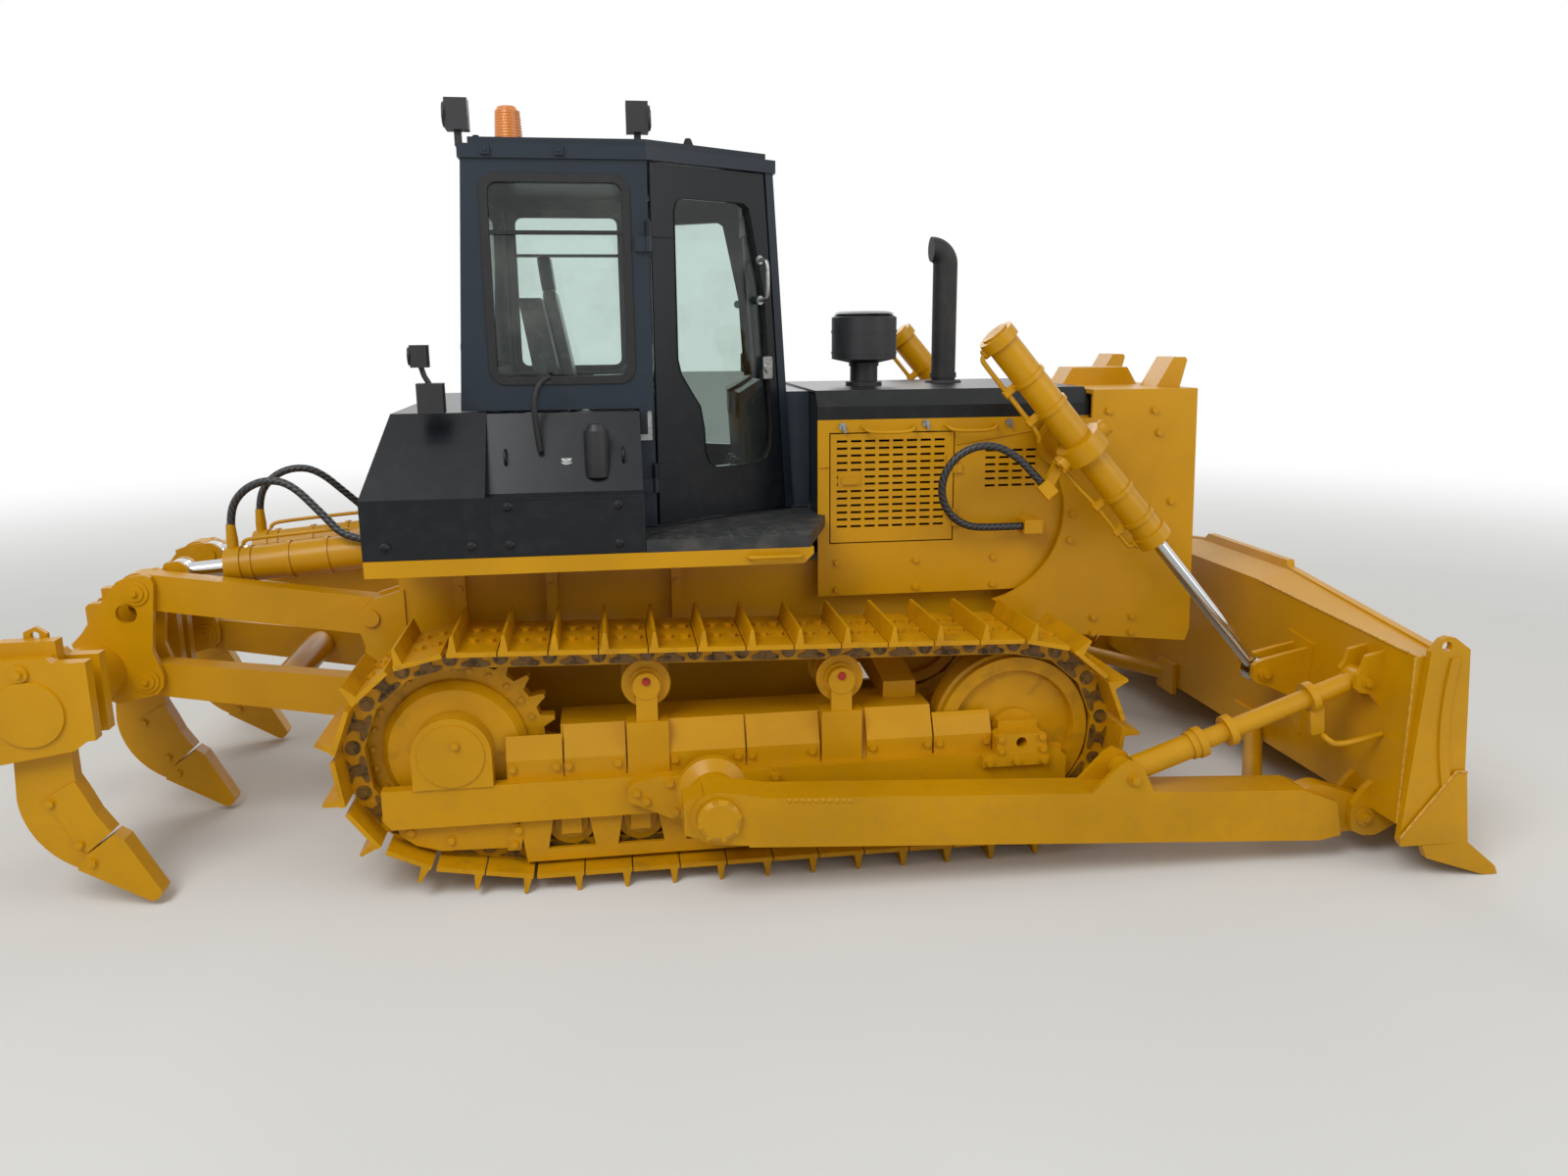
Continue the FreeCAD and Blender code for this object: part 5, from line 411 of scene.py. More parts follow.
# Finish of each CAD node
NODE_FINISH = {
    "track_right": "chain", "track_left": "chain", "sprockets": "chain", "idlers": "chain",
    "bottom_rollers": "chain", "carrier_rollers": "chain", "track_frames": "yellow", "equalizer_bar": "yellow",
    "main_frame": "yellow", "engine": "iron", "hood_top": "hood", "side_panels": "yellow",
    "engine_door_right": "yellow", "engine_door_left": "yellow", "radiator_guard": "yellow",
    "grille": "yellow", "front_lamps": "yellow", "lamp_lenses": "lamp", "precleaner": "plastic",
    "exhaust_pipe": "heat", "cab_sides": "cab", "cab_rear": "cab", "cab_front": "cab", "cab_roof": "cab",
    "cab_floor": "plastic", "cab_glass": "glass", "cab_door_right": "box", "cab_door_left": "box",
    "door_glass_right": "glass", "door_glass_left": "glass", "seat": "seat", "console": "plastic",
    "beacon": "amber", "work_lamps": "plastic", "fuel_tank": "box", "hydraulic_tank": "box",
    "battery_box": "box", "fenders": "yellow", "step_plates": "tread", "push_arms": "yellow",
    "braces": "yellow", "blade": "yellow", "cutting_edge": "yellow", "yokes": "yellow",
    "lift_barrels": "yellow", "lift_rods": "chrome", "ripper_lower_arms": "yellow",
    "ripper_upper_arms": "yellow", "ripper_beam": "yellow", "ripper_shanks": "yellow",
    "ripper_barrels": "yellow", "ripper_rods": "chrome",
}


# Mesh helpers

def place_piece(name, mesh_or_curve, body, coat):
    """Link a finished piece, give it its finish, and let it ride on a body."""
    piece = bpy.data.objects.new(name, mesh_or_curve)
    bpy.context.scene.collection.objects.link(piece)
    mesh_or_curve.materials.append(finish(coat))
    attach(piece, body)
    return piece


def to_mesh(name, bm, smooth_below=math.radians(35)):
    """A mesh from a bmesh, closed, with its faces outwards and its flat faces flat."""
    bmesh.ops.remove_doubles(bm, verts=bm.verts, dist=1e-5)
    bmesh.ops.recalc_face_normals(bm, faces=bm.faces)
    mesh = bpy.data.meshes.new(name)
    bm.to_mesh(mesh)
    bm.free()
    mesh.polygons.foreach_set("use_smooth", [True] * len(mesh.polygons))
    mesh.set_sharp_from_angle(angle=smooth_below)
    return mesh


def facing(axis):
    """A turn that stands +Z along an axis."""
    return Vector(axis).normalized().to_track_quat("Z", "Y").to_matrix().to_4x4()


def at(point):
    """A point in millimetres as a vector in metres."""
    return Vector(point) * MM


def add_disc(bm, point, axis, radius, depth, sides=24, radius_top=None):
    """A short round or many-sided stub: its foot at a point in mm, standing along an axis."""
    top = radius if radius_top is None else radius_top
    turn = Matrix.Translation(at(point)) @ facing(axis) @ Matrix.Translation((0, 0, depth * MM / 2))
    bmesh.ops.create_cone(bm, cap_ends=True, segments=sides, radius1=radius * MM, radius2=top * MM,
                          depth=depth * MM, matrix=turn)


def join(bm, part, turn=None):
    """Add a separate bmesh to another one, turned to its place."""
    if turn:
        bmesh.ops.transform(part, matrix=turn, verts=part.verts)
    mesh = bpy.data.meshes.new("part")
    part.to_mesh(mesh)
    part.free()
    bm.from_mesh(mesh)
    bpy.data.meshes.remove(mesh)


def add_ring(bm, point, axis, radius, inner, depth, sides=36):
    """A band round a tube: its first face at a point in mm, drawn along an axis."""
    ring = bmesh.new()
    profile = [ring.verts.new((r * MM, 0, z * MM)) for r, z in (
        (inner, 0), (radius, 0), (radius, depth), (inner, depth))]
    edges = [ring.edges.new(pair) for pair in zip(profile, profile[1:] + profile[:1])]
    bmesh.ops.spin(ring, geom=profile + edges, cent=(0, 0, 0), axis=(0, 0, 1), angle=2 * math.pi, steps=sides,
                   use_merge=True)
    join(bm, ring, Matrix.Translation(at(point)) @ facing(axis))


def add_bolt(bm, point, axis, across, washer=True):
    """A hexagon head on a washer, its foot at a point in mm."""
    along = Vector(axis).normalized()
    if washer:
        add_disc(bm, point, axis, across * 0.72, across * 0.12, 12)
        point = Vector(point) + along * across * 0.12
    add_disc(bm, point, axis, across * 0.56, across * 0.38, 6)


def bolts(name, body, places, across, coat="yellow", washer=True):
    """One piece of many bolt heads from (point, axis) pairs in mm."""
    bm = bmesh.new()
    for point, axis in places:
        add_bolt(bm, point, axis, across, washer)
    return place_piece(name, to_mesh(name, bm, math.radians(20)), body, coat)


def thicken(bm, normal, thick):
    """Draw out every face of a flat sheet along a normal, by a thickness in mm."""
    grown = bmesh.ops.extrude_face_region(bm, geom=bm.faces[:])
    moved = [item for item in grown["geom"] if isinstance(item, bmesh.types.BMVert)]
    bmesh.ops.translate(bm, verts=moved, vec=Vector(normal).normalized() * thick * MM)


def add_plate(bm, corners, normal, thick, round_by=0.0, segments=3):
    """A plate from its corner points in mm, thickened along a normal, its corners rounded."""
    plate = bmesh.new()
    face = plate.faces.new([plate.verts.new(at(corner)) for corner in corners])
    if round_by:
        bmesh.ops.bevel(plate, geom=list(face.verts), offset=round_by * MM, segments=segments,
                        affect="VERTICES", profile=0.5, material=-1)
    thicken(plate, normal, thick)
    join(bm, plate)


def ring_frame(name, body, corners, normal, width, thick, radius, coat="rubber", edge=2.0):
    """A flat frame, such as a window seal, inside an outline of corner points in mm."""
    bm = bmesh.new()
    face = bm.faces.new([bm.verts.new(at(corner)) for corner in corners])
    if radius:
        bmesh.ops.bevel(bm, geom=list(face.verts), offset=radius * MM, segments=6, affect="VERTICES", profile=0.5,
                        material=-1)
    bm.faces.ensure_lookup_table()
    bmesh.ops.inset_individual(bm, faces=bm.faces[:], thickness=width * MM, use_even_offset=True)
    inner = max(bm.faces, key=lambda item: item.calc_area())
    bmesh.ops.delete(bm, geom=[inner], context="FACES_ONLY")
    thicken(bm, normal, thick)
    mesh = to_mesh(name, bm)
    piece = place_piece(name, mesh, body, coat)
    if edge:
        soft = piece.modifiers.new("rounded", "BEVEL")
        soft.width = edge * MM
        soft.segments = 2
        soft.limit_method = "ANGLE"
    return piece


def pipe(name, body, points, radius, coat, order=3):
    """A rigid pipe along points in mm, as a curve with a round section."""
    curve = bpy.data.curves.new(name, "CURVE")
    curve.dimensions = "3D"
    curve.bevel_depth = radius * MM
    curve.bevel_resolution = 3
    curve.use_fill_caps = True
    spline = curve.splines.new("NURBS" if order > 2 else "POLY")
    spline.points.add(len(points) - 1)
    for point, place in zip(spline.points, points):
        point.co = (*at(place), 1.0)
    if order > 2:
        spline.order_u = order
        spline.use_endpoint_u = True
        spline.resolution_u = 6
    return place_piece(name, curve, body, coat)


# Cords

LIFT_ROUTE = (
    (1318, -800, 1632), (1268, -785, 1690), (1209, -771, 1749), (1121, -756, 1800), (1019, -742, 1800),
    (931, -727, 1749), (880, -713, 1661), (880, -698, 1559), (931, -684, 1471), (1019, -669, 1420),
    (1110, -640, 1409), (1205, -625, 1406), (1300, -625, 1406),
)
RIPPER_ROUTE = (
    (-2345, -235, 1410), (-2345, -235, 1523), (-2282, -240, 1622), (-2177, -250, 1671),
    (-2061, -265, 1656), (-1930, -300, 1520), (-1810, -345, 1390), (-1630, -345, 1390),
)
HOSE_RADIUS = 18


def spine(name, route):
    """A hose's centre line: a NURBS curve with the route's points as control points."""
    curve = bpy.data.curves.new(name, "CURVE")
    curve.dimensions = "3D"
    spline = curve.splines.new("NURBS")
    spline.points.add(len(route) - 1)
    for point, place in zip(spline.points, route):
        point.co = (*at(place), 1.0)
    spline.order_u = 3
    spline.use_endpoint_u = True
    spline.resolution_u = 12
    return curve


def read_line(curve):
    """The points of a curve that has no bevel."""
    holder = bpy.data.objects.new("line", curve)
    mesh = bpy.data.meshes.new_from_object(holder)
    points = [vertex.co.copy() for vertex in mesh.vertices]
    bpy.data.objects.remove(holder)
    bpy.data.meshes.remove(mesh)
    return points


def hose_mesh(name, line, radius, sides=16):
    """A tube swept along a line, with a UV map of its length and its girth, in metres."""
    bm = bmesh.new()
    uv = bm.loops.layers.uv.new("along")
    tangent = (line[1] - line[0]).normalized()
    across = tangent.orthogonal().normalized()
    rings, runs = [], [0.0]
    for i, point in enumerate(line):
        after = line[min(i + 1, len(line) - 1)] - line[max(i - 1, 0)]
        turn = tangent.rotation_difference(after.normalized())
        across = turn @ across
        tangent = after.normalized()
        ring = bmesh.ops.create_circle(bm, cap_ends=False, segments=sides, radius=radius)["verts"]
        frame_turn = Matrix((across, tangent.cross(across), tangent)).transposed().to_4x4()
        bmesh.ops.transform(bm, matrix=Matrix.Translation(point) @ frame_turn, verts=ring)
        rings.append(ring)
        if i:
            runs.append(runs[-1] + (point - line[i - 1]).length)
    for i in range(len(rings) - 1):
        for k in range(sides):
            n = (k + 1) % sides
            face = bm.faces.new((rings[i][k], rings[i][n], rings[i + 1][n], rings[i + 1][k]))
            marks = ((runs[i], k), (runs[i], k + 1), (runs[i + 1], k + 1), (runs[i + 1], k))
            for loop, (run, step) in zip(face.loops, marks):
                loop[uv].uv = (run, step / sides * 0.11)
    bm.faces.new(reversed(rings[0]))
    bm.faces.new(rings[-1])
    bmesh.ops.recalc_face_normals(bm, faces=bm.faces)
    mesh = bpy.data.meshes.new(name)
    bm.to_mesh(mesh)
    bm.free()
    mesh.polygons.foreach_set("use_smooth", [len(face.vertices) == 4 for face in mesh.polygons])
    return mesh


def hose(name, node, route, side):
    """A hydraulic hose swept along a fixed route between the tractor and a cylinder, in place of its packed node."""
    mirrored = [(x, -side * y, z) for x, y, z in route]
    line = read_line(spine(name + "_line", mirrored))
    mesh = hose_mesh(name, line, HOSE_RADIUS * MM)
    piece = bpy.data.objects.new(name, mesh)
    bpy.context.scene.collection.objects.link(piece)
    mesh.materials.append(finish("sheath"))
    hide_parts(node)
    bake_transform(piece)
    return piece


class MakeHoses(bpy.types.Operator):
    """Make the hoses of the lift cylinders and of the ripper cylinders"""

    bl_idname = "tractor.make_hoses"
    bl_label = "Hoses"

    def execute(self, context):
        for word, side in SIDES:
            hose("hose_lift_" + word, "lift_hose_" + word, LIFT_ROUTE, side)
            hose("hose_ripper_" + word, "ripper_hose_" + word, RIPPER_ROUTE, side)
        return {"FINISHED"}


class PaintNodes(bpy.types.Operator):
    """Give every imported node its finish"""

    bl_idname = "tractor.paint_nodes"
    bl_label = "Paint"

    def execute(self, context):
        for name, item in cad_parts.items():
            if name not in NODE_FINISH:
                continue
            item.data.materials.clear()
            item.data.materials.append(finish(NODE_FINISH[name]))
        return {"FINISHED"}


# Places shared by the pieces, in millimetres, on the machine's right

TRACK_Y = -940
SPROCKET = (-1309, 598)
IDLER_X = 1139
PITCH_RADIUS = 408
PIN_LOW_Z = 132
RAMP_X = -1000
SHOES = 37
TRUNNION = (-240, 408)
YOKE = (1480, -860, 1800)
LIFT_EYE = (2412, 712)
DOOR_START = (-414, -784)
DOOR_END = (246, -342)


def on_side(side, point):
    """A point or an axis of the right side, on either side."""
    return point[0], -side * point[1], point[2]


def both_sides(table):
    """A right-hand table of (point, axis) with its mirror image."""
    return [(on_side(side, point), on_side(side, axis)) for _, side in SIDES for point, axis in table]


def outward(places):
    """Points on the right side that face outwards."""
    return [(place, (0, -1, 0)) for place in places]


def circle_places(centre, radius, count, y, start=0.0):
    """Points on a circle that faces sideways; centre is (x, z)."""
    turn = 2 * math.pi / count
    return [(centre[0] + radius * math.cos(start + k * turn), y, centre[1] + radius * math.sin(start + k * turn))
            for k in range(count)]


def track_links():
    """Each link of the right chain: its rear pin (x, z), its direction and its length."""
    r, low = PITCH_RADIUS, PIN_LOW_Z
    front = (IDLER_X, low + r)
    slope = math.atan2(front[1] - SPROCKET[1], front[0] - SPROCKET[0])
    reach = math.hypot(RAMP_X - SPROCKET[0], low - SPROCKET[1])
    foot = math.atan2(low - SPROCKET[1], RAMP_X - SPROCKET[0]) - math.acos(r / reach)

    def round_off(centre, angle):
        return centre[0] + r * math.cos(angle), centre[1] + r * math.sin(angle)

    top, end = slope + math.pi / 2, slope - 1.5 * math.pi
    parts = [
        (None, round_off(SPROCKET, top), round_off(front, top)), (front, top, -math.pi / 2),
        (None, (IDLER_X, low), (RAMP_X, low)), (None, (RAMP_X, low), round_off(SPROCKET, foot)),
        (SPROCKET, foot, end)]
    lengths = [math.dist(a, b) if centre is None else r * abs(a - b) for centre, a, b in parts]
    pins = []
    for k in range(SHOES):
        run = k * sum(lengths) / SHOES
        for (centre, a, b), length in zip(parts, lengths):
            if run <= length:
                share = run / length
                if centre is None:
                    pins.append((a[0] + (b[0] - a[0]) * share, a[1] + (b[1] - a[1]) * share))
                else:
                    pins.append(round_off(centre, a + (b - a) * share))
                break
            run -= length
    links = []
    for here, after in zip(pins, pins[1:] + pins[:1]):
        length = math.dist(here, after)
        links.append((here, ((after[0] - here[0]) / length, (after[1] - here[1]) / length), length))
    return links


class MakeTrackParts(bpy.types.Operator):
    """Make the shoe bolts, the chain's links and pin bosses, and the sprocket's bolts"""

    bl_idname = "tractor.make_track_parts"
    bl_label = "Track bolts and links"

    def execute(self, context):
        shoe_bolts, bosses, plates = [], bmesh.new(), bmesh.new()
        for here, along, length in track_links():
            out = (-along[1], along[0])

            def spot(u, w, y):
                return here[0] + along[0] * u + out[0] * w, y, here[1] + along[1] * u + out[1] * w

            for u in (92, 162):
                for y in (TRACK_Y - 85, TRACK_Y + 85):
                    shoe_bolts.append((spot(u, 64, y), (out[0], 0, out[1])))
            for _, side in SIDES:
                face_y = TRACK_Y - 108
                add_disc(bosses, on_side(side, spot(0, 0, face_y)), (0, side, 0), 31, 7, 12)
                add_disc(bosses, on_side(side, spot(0, 0, face_y - 7)), (0, side, 0), 19, 5, 10)
                corners = [spot(u, w, face_y) for u, w in (
                    (42, -34), (64, -38), (length - 64, -38), (length - 42, -34), (length - 42, -20),
                    (length - 76, -8), (length - 76, 22), (length - 46, 38), (46, 38), (76, 22), (76, -8), (42, -20))]
                add_plate(plates, [on_side(side, corner) for corner in corners], (0, side, 0), 5)
        bolts("track_shoe_bolts", "tractor", both_sides(shoe_bolts), sizes().shoe_bolt * 1000, "chain", False)
        place_piece("chain_pin_bosses", to_mesh("chain_pin_bosses", bosses), "tractor", "grease")
        place_piece("chain_link_webs", to_mesh("chain_link_webs", plates), "tractor", "grease")
        places = outward(circle_places(SPROCKET, 340, 25, TRACK_Y - 35, 0.1))
        bolts("sprocket_rim_bolts", "tractor", both_sides(places), 22, "yellow")
        caps = bmesh.new()
        for x, z in ((-502, 882), (336, 863)):
            for _, side in SIDES:
                add_disc(caps, on_side(side, (x, -1108, z)), (0, side, 0), 18, 7, 20, 15)
        for k in range(6):
            for _, side in SIDES:
                add_disc(caps, on_side(side, (-839 + 294 * k, -1072, 259)), (0, side, 0), 14, 6, 20, 12)
        place_piece("roller_plugs", to_mesh("roller_plugs", caps), "tractor", "red")
        return {"FINISHED"}


class MakeFrameBolts(bpy.types.Operator):
    """Make the bolts of the track frames, the trunnions, the idler guides and the radiator housing"""

    bl_idname = "tractor.make_frame_bolts"
    bl_label = "Frame bolts"

    def execute(self, context):
        covers = [(-1072, 530), (-890, 530), (-838, 530), (-632, 530), (-390, 530), (-120, 530), (-60, 530),
                  (205, 530), (474, 530), (722, 530), (776, 530), (990, 530)]
        places = [(x, -1100, z) for x, z in covers]
        places += [(1035, -1175, 505), (1229, -1175, 505), (1035, -1175, 560), (1222, -1175, 560)]
        places += [(x, -1178, 452) for x in (985, 1110, 1235)]
        places += [(x, -1195, z) for x, z in ((-560, 425), (-520, 385), (-420, 460), (30, 460), (30, 330), (-400, 330))]
        places.append((-1290, -1164, 668))
        places += [(x, -1108, z) for x, z in ((-1500, 280), (-1340, 232))]
        places += [(-1060, -1114, 262), (-1080, -1114, 196)]
        places += [(x, -1112, 305) for x in (-930, -690, -400, -106, 188, 482, 720)]
        bolts("track_frame_bolts", "tractor", both_sides(outward(places)), sizes().plate_bolt * 1000)
        tabs = bmesh.new()
        for _, side in SIDES:
            tab = [(-1112, -1108, 168), (-1056, -1108, 166), (-1030, -1108, 284), (-1086, -1108, 286)]
            add_plate(tabs, [on_side(side, corner) for corner in tab], (0, side, 0), 6, 6)
        place_piece("track_frame_tabs", to_mesh("track_frame_tabs", tabs), "tractor", "yellow")
        hub = circle_places(TRUNNION, 78, 8, -1502, 0.2)
        bolts("trunnion_cap_bolts", "tractor", both_sides(outward(hub)), 22)
        guard = [(1684, 942), (1883, 940), (1686, 862), (1881, 859), (1710, 1938), (1939, 1937), (1968, 1831),
                 (1553, 1457), (1546, 1329), (2050, 1500), (2050, 1300)]
        bolts("radiator_housing_bolts", "tractor", both_sides(outward([(x, -600, z) for x, z in guard])), 30)
        hull = [(x, -540, z) for x in (-1309, -900, -330) for z in (960, 1190)]
        panel = [(x, -560, z) for x in (420, 800, 1180) for z in (1120, 1250)]
        bolts("case_bolts", "tractor", both_sides(outward(hull + panel)), 26)
        return {"FINISHED"}


def door_point(u, z, depth):
    """A point of the right cab door: along it from its hinge side, height, and depth inwards."""
    length = math.dist(DOOR_START, DOOR_END)
    along = ((DOOR_END[0] - DOOR_START[0]) / length, (DOOR_END[1] - DOOR_START[1]) / length)
    return (DOOR_START[0] + along[0] * u - along[1] * depth, DOOR_START[1] + along[1] * u + along[0] * depth, z)


def door_outward():
    """The way the right cab door faces."""
    here, out = door_point(0, 0, 0), door_point(0, 0, -1)
    return tuple(b - a for a, b in zip(here, out))


class MakeCabSeals(bpy.types.Operator):
    """Make the rubber seals of the cab's windows, and the bar across each side window"""

    bl_idname = "tractor.make_cab_seals"
    bl_label = "Window seals"

    def execute(self, context):
        width = sizes().seal_width / MM
        low, high = 1504, 2993
        window = [(330, low + 215), (567, low + 215), (627, low + 233), (657, low + 283), (663, low + 393),
                  (643, low + 633), (619, low + 973), (547, high - 200), (535, high - 150), (501, high - 129),
                  (180, high - 129), (142, high - 141), (126, high - 180), (126, low + 696), (142, low + 633),
                  (197, low + 553), (243, low + 491), (263, low + 393), (268, low + 288), (287, low + 241)]
        for word, side in SIDES:
            corners = [(-1096, -798, 2103), (-492, -798, 2103), (-492, -798, 2943), (-1096, -798, 2943)]
            ring_frame("side_window_seal_" + word, "tractor", [on_side(side, c) for c in corners],
                       (0, -side, 0), width, 24, 70)
            corners = [on_side(side, door_point(u, z, -6)) for u, z in window]
            inward = tuple(-share for share in on_side(side, door_outward()))
            ring_frame("door_window_seal_" + word, "cab_door_" + word, corners, inward, 26, 22, 0)
            bar = [(-1062, -796, 2707), (-526, -796, 2707), (-526, -796, 2723), (-1062, -796, 2723)]
            bm = bmesh.new()
            add_plate(bm, [on_side(side, c) for c in bar], (0, -side, 0), 22)
            place_piece("side_window_bar_" + word, to_mesh("side_window_bar_" + word, bm), "tractor", "rubber")
        corners = [(-1166, y, z) for y, z in ((-616, 2147), (616, 2147), (616, 2901), (-616, 2901))]
        ring_frame("rear_window_seal", "tractor", corners, (1, 0, 0), width, 24, 40)
        return {"FINISHED"}


class MakeCabFittings(bpy.types.Operator):
    """Make the cab's handles, catches, lifting eyes, lamp bezels and beacon base"""

    bl_idname = "tractor.make_cab_fittings"
    bl_label = "Cab fittings"

    def execute(self, context):
        out = door_outward()
        for word, side in SIDES:
            body = "cab_door_" + word
            grip = [door_point(598, z, d) for z, d in ((2450, -2), (2450, -46), (2480, -58), (2596, -58), (2626, -46),
                                                       (2626, -2))]
            pipe("door_grip_" + word, body, [on_side(side, p) for p in grip], 9, "zinc")
            bm = bmesh.new()
            for z in (2450, 2626):
                add_disc(bm, on_side(side, door_point(598, z, 0)), on_side(side, out), 20, 7, 20)
            add_disc(bm, on_side(side, door_point(640, 2150, 0)), on_side(side, out), 26, 14, 24, 22)
            plate = [door_point(u, z, 0) for u, z in ((612, 2100), (668, 2100), (668, 2200), (612, 2200))]
            add_plate(bm, [on_side(side, p) for p in plate], on_side(side, out), 6, 10)
            place_piece("door_lock_" + word, to_mesh("door_lock_" + word, bm), body, "zinc")
            bm = bmesh.new()
            catch = [(-500, -826, 1866), (-432, -826, 1866), (-432, -826, 1988), (-450, -826, 1988), (-450, -826, 1890),
                     (-500, -826, 1890)]
            add_plate(bm, [on_side(side, p) for p in catch], (0, -side, 0), 36, 5)
            place_piece("door_catch_" + word, to_mesh("door_catch_" + word, bm), "tractor", "zinc")
            eyes = bmesh.new()
            for x in (-1118, -228):
                lug = [(x - 26, -500, 3050), (x + 26, -500, 3050), (x + 26, -500, 3090), (x + 12, -500, 3128),
                       (x - 12, -500, 3128), (x - 26, -500, 3090)]
                add_plate(eyes, [on_side(side, p) for p in lug], (0, side, 0), 14, 6)
            place_piece("roof_eyes_" + word, to_mesh("roof_eyes_" + word, eyes), "tractor", "cab")
            lamps, glass = bmesh.new(), bmesh.new()
            for x, way in ((-1170, -1), (-450, 1)):
                face = (x + way * 45, -700, 3175)
                add_disc(lamps, on_side(side, face), (way, 0, 0), 52, 10, 28, 48)
                add_disc(glass, on_side(side, (face[0] + way * 8, face[1], face[2])), (way, 0, 0), 42, 5, 28, 38)
            place_piece("work_lamp_bezels_" + word, to_mesh("work_lamp_bezels_" + word, lamps), "tractor", "plastic")
            place_piece("work_lamp_glass_" + word, to_mesh("work_lamp_glass_" + word, glass), "tractor", "lamp")
            pads = bmesh.new()
            for x in (-1060, -770):
                pad = [(x - 19, -801, 3012), (x + 19, -801, 3012), (x + 19, -801, 3050), (x - 19, -801, 3050)]
                add_plate(pads, [on_side(side, p) for p in pad], (0, side, 0), 16, 5)
                add_bolt(pads, on_side(side, (x, -816, 3032)), (0, side, 0), 18, False)
            place_piece("roof_pads_" + word, to_mesh("roof_pads_" + word, pads), "tractor", "cab")
            stand = bmesh.new()
            box = [(-1372, -955, 2003), (-1266, -955, 2003), (-1266, -875, 2003), (-1372, -875, 2003)]
            add_plate(stand, [on_side(side, p) for p in box], (0, 0, 1), 118, 10)
            head = [(-1389, -950, 2184), (-1318, -950, 2184), (-1318, -872, 2184), (-1389, -872, 2184)]
            add_plate(stand, [on_side(side, p) for p in head], (0, 0, 1), 88, 14)
            add_disc(stand, on_side(side, (-1389, -911, 2228)), (-1, 0, 0), 36, 8, 24)
            place_piece("rear_lamp_" + word, to_mesh("rear_lamp_" + word, stand), "tractor", "plastic")
            stalk = [(-1319, -915, 2112), (-1340, -915, 2150), (-1352, -912, 2192)]
            pipe("rear_lamp_stalk_" + word, "tractor", [on_side(side, p) for p in stalk], 11, "plastic", 2)
        base = bmesh.new()
        add_disc(base, (-1000, -250, 3084), (0, 0, 1), 70, 24, 32)
        add_disc(base, (-1000, -250, 3108), (0, 0, 1), 50, 26, 32)
        place_piece("beacon_base", to_mesh("beacon_base", base), "tractor", "plastic")
        return {"FINISHED"}


class MakeHoodFittings(bpy.types.Operator):
    """Make the engine doors' latches and grips, the hood's seams, the pre-cleaner's lid and the pipe's clamp"""

    bl_idname = "tractor.make_hood_fittings"
    bl_label = "Hood fittings"

    def execute(self, context):
        for word, side in SIDES:
            body = "engine_door_" + word
            bm = bmesh.new()
            tray = [(425, -560, 1609), (533, -560, 1609), (533, -560, 1674), (425, -560, 1674)]
            add_plate(bm, [on_side(side, p) for p in tray], (0, side, 0), 3, 8)
            paddle = [(440, -562, 1618), (520, -562, 1618), (520, -562, 1652), (440, -562, 1652)]
            add_plate(bm, [on_side(side, p) for p in paddle], (0, side, 0), 9, 10)
            place_piece("door_latch_" + word, to_mesh("door_latch_" + word, bm), body, "yellow")
            fixed = bmesh.new()
            for x, z in ((444, 1885), (837, 1893), (1238, 1891)):
                add_disc(fixed, on_side(side, (x, -560, z)), (0, side, 0), 17, 12, 20)
                lever = [(x - 6, -572, z + 8), (x + 6, -572, z + 8), (x + 18, -572, z - 26), (x + 6, -572, z - 30)]
                add_plate(fixed, [on_side(side, p) for p in lever], (0, side, 0), 9)
            place_piece("hood_latches_" + word, to_mesh("hood_latches_" + word, fixed), "tractor", "zinc")
            for k, (low, high) in enumerate(((536, 782), (931, 1173))):
                grip = [(low, -560, 1884), (low + 4, -600, 1876), (low + 34, -616, 1858), (high - 34, -616, 1858),
                        (high - 4, -600, 1876), (high, -560, 1884)]
                pipe("hood_grip_" + word + "_" + str(k + 1), "tractor", [on_side(side, p) for p in grip], 8, "yellow")
            crease = [(340, -563, 1697), (384, -563, 1703)]
            pipe("body_line_rear_" + word, "tractor", [on_side(side, p) for p in crease], 4, "yellow", 2)
            crease = [(982, -563, 1793), (1386, -563, 1854)]
            pipe("body_line_front_" + word, "tractor", [on_side(side, p) for p in crease], 4, "yellow", 2)
        wall = bmesh.new()
        sheet = [(332, -541, 1350), (332, 541, 1350), (332, 541, 1966), (332, 480, 2026), (332, -480, 2026),
                 (332, -541, 1966)]
        add_plate(wall, sheet, (1, 0, 0), 6)
        # Near-black skirts close the gap below the cab front: partly a closing plate, partly painted shade where the
        # lit bulkhead showed through.
        for _, side in SIDES:
            shade_skirt = [(249, -324, 1449), (331, -324, 1449), (331, -324, 1489), (249, -324, 1489)]
            add_plate(wall, [on_side(side, p) for p in shade_skirt], (0, side, 0), 4)
        place_piece("engine_bulkhead_and_shade_skirts", to_mesh("engine_bulkhead_and_shade_skirts", wall), "tractor", "box")
        lid = bmesh.new()
        add_disc(lid, (653, -60, 2392), (0, 0, 1), 150, 12, 48, 120)
        add_disc(lid, (653, -60, 2300), (0, 0, 1), 163, 14, 48)
        add_disc(lid, (653, -60, 2200), (0, 0, 1), 163, 10, 48)
        add_disc(lid, (653, -60, 2140), (0, 0, 1), 74, 24, 32)
        place_piece("precleaner_bands", to_mesh("precleaner_bands", lid), "tractor", "plastic")
        collar = bmesh.new()
        add_disc(collar, (1113, 120, 2046), (0, 0, 1), 96, 12, 40, 90)
        add_disc(collar, (1113, 120, 2070), (0, 0, 1), 68, 26, 40)
        place_piece("exhaust_collar", to_mesh("exhaust_collar", collar), "tractor", "heat")
        return {"FINISHED"}


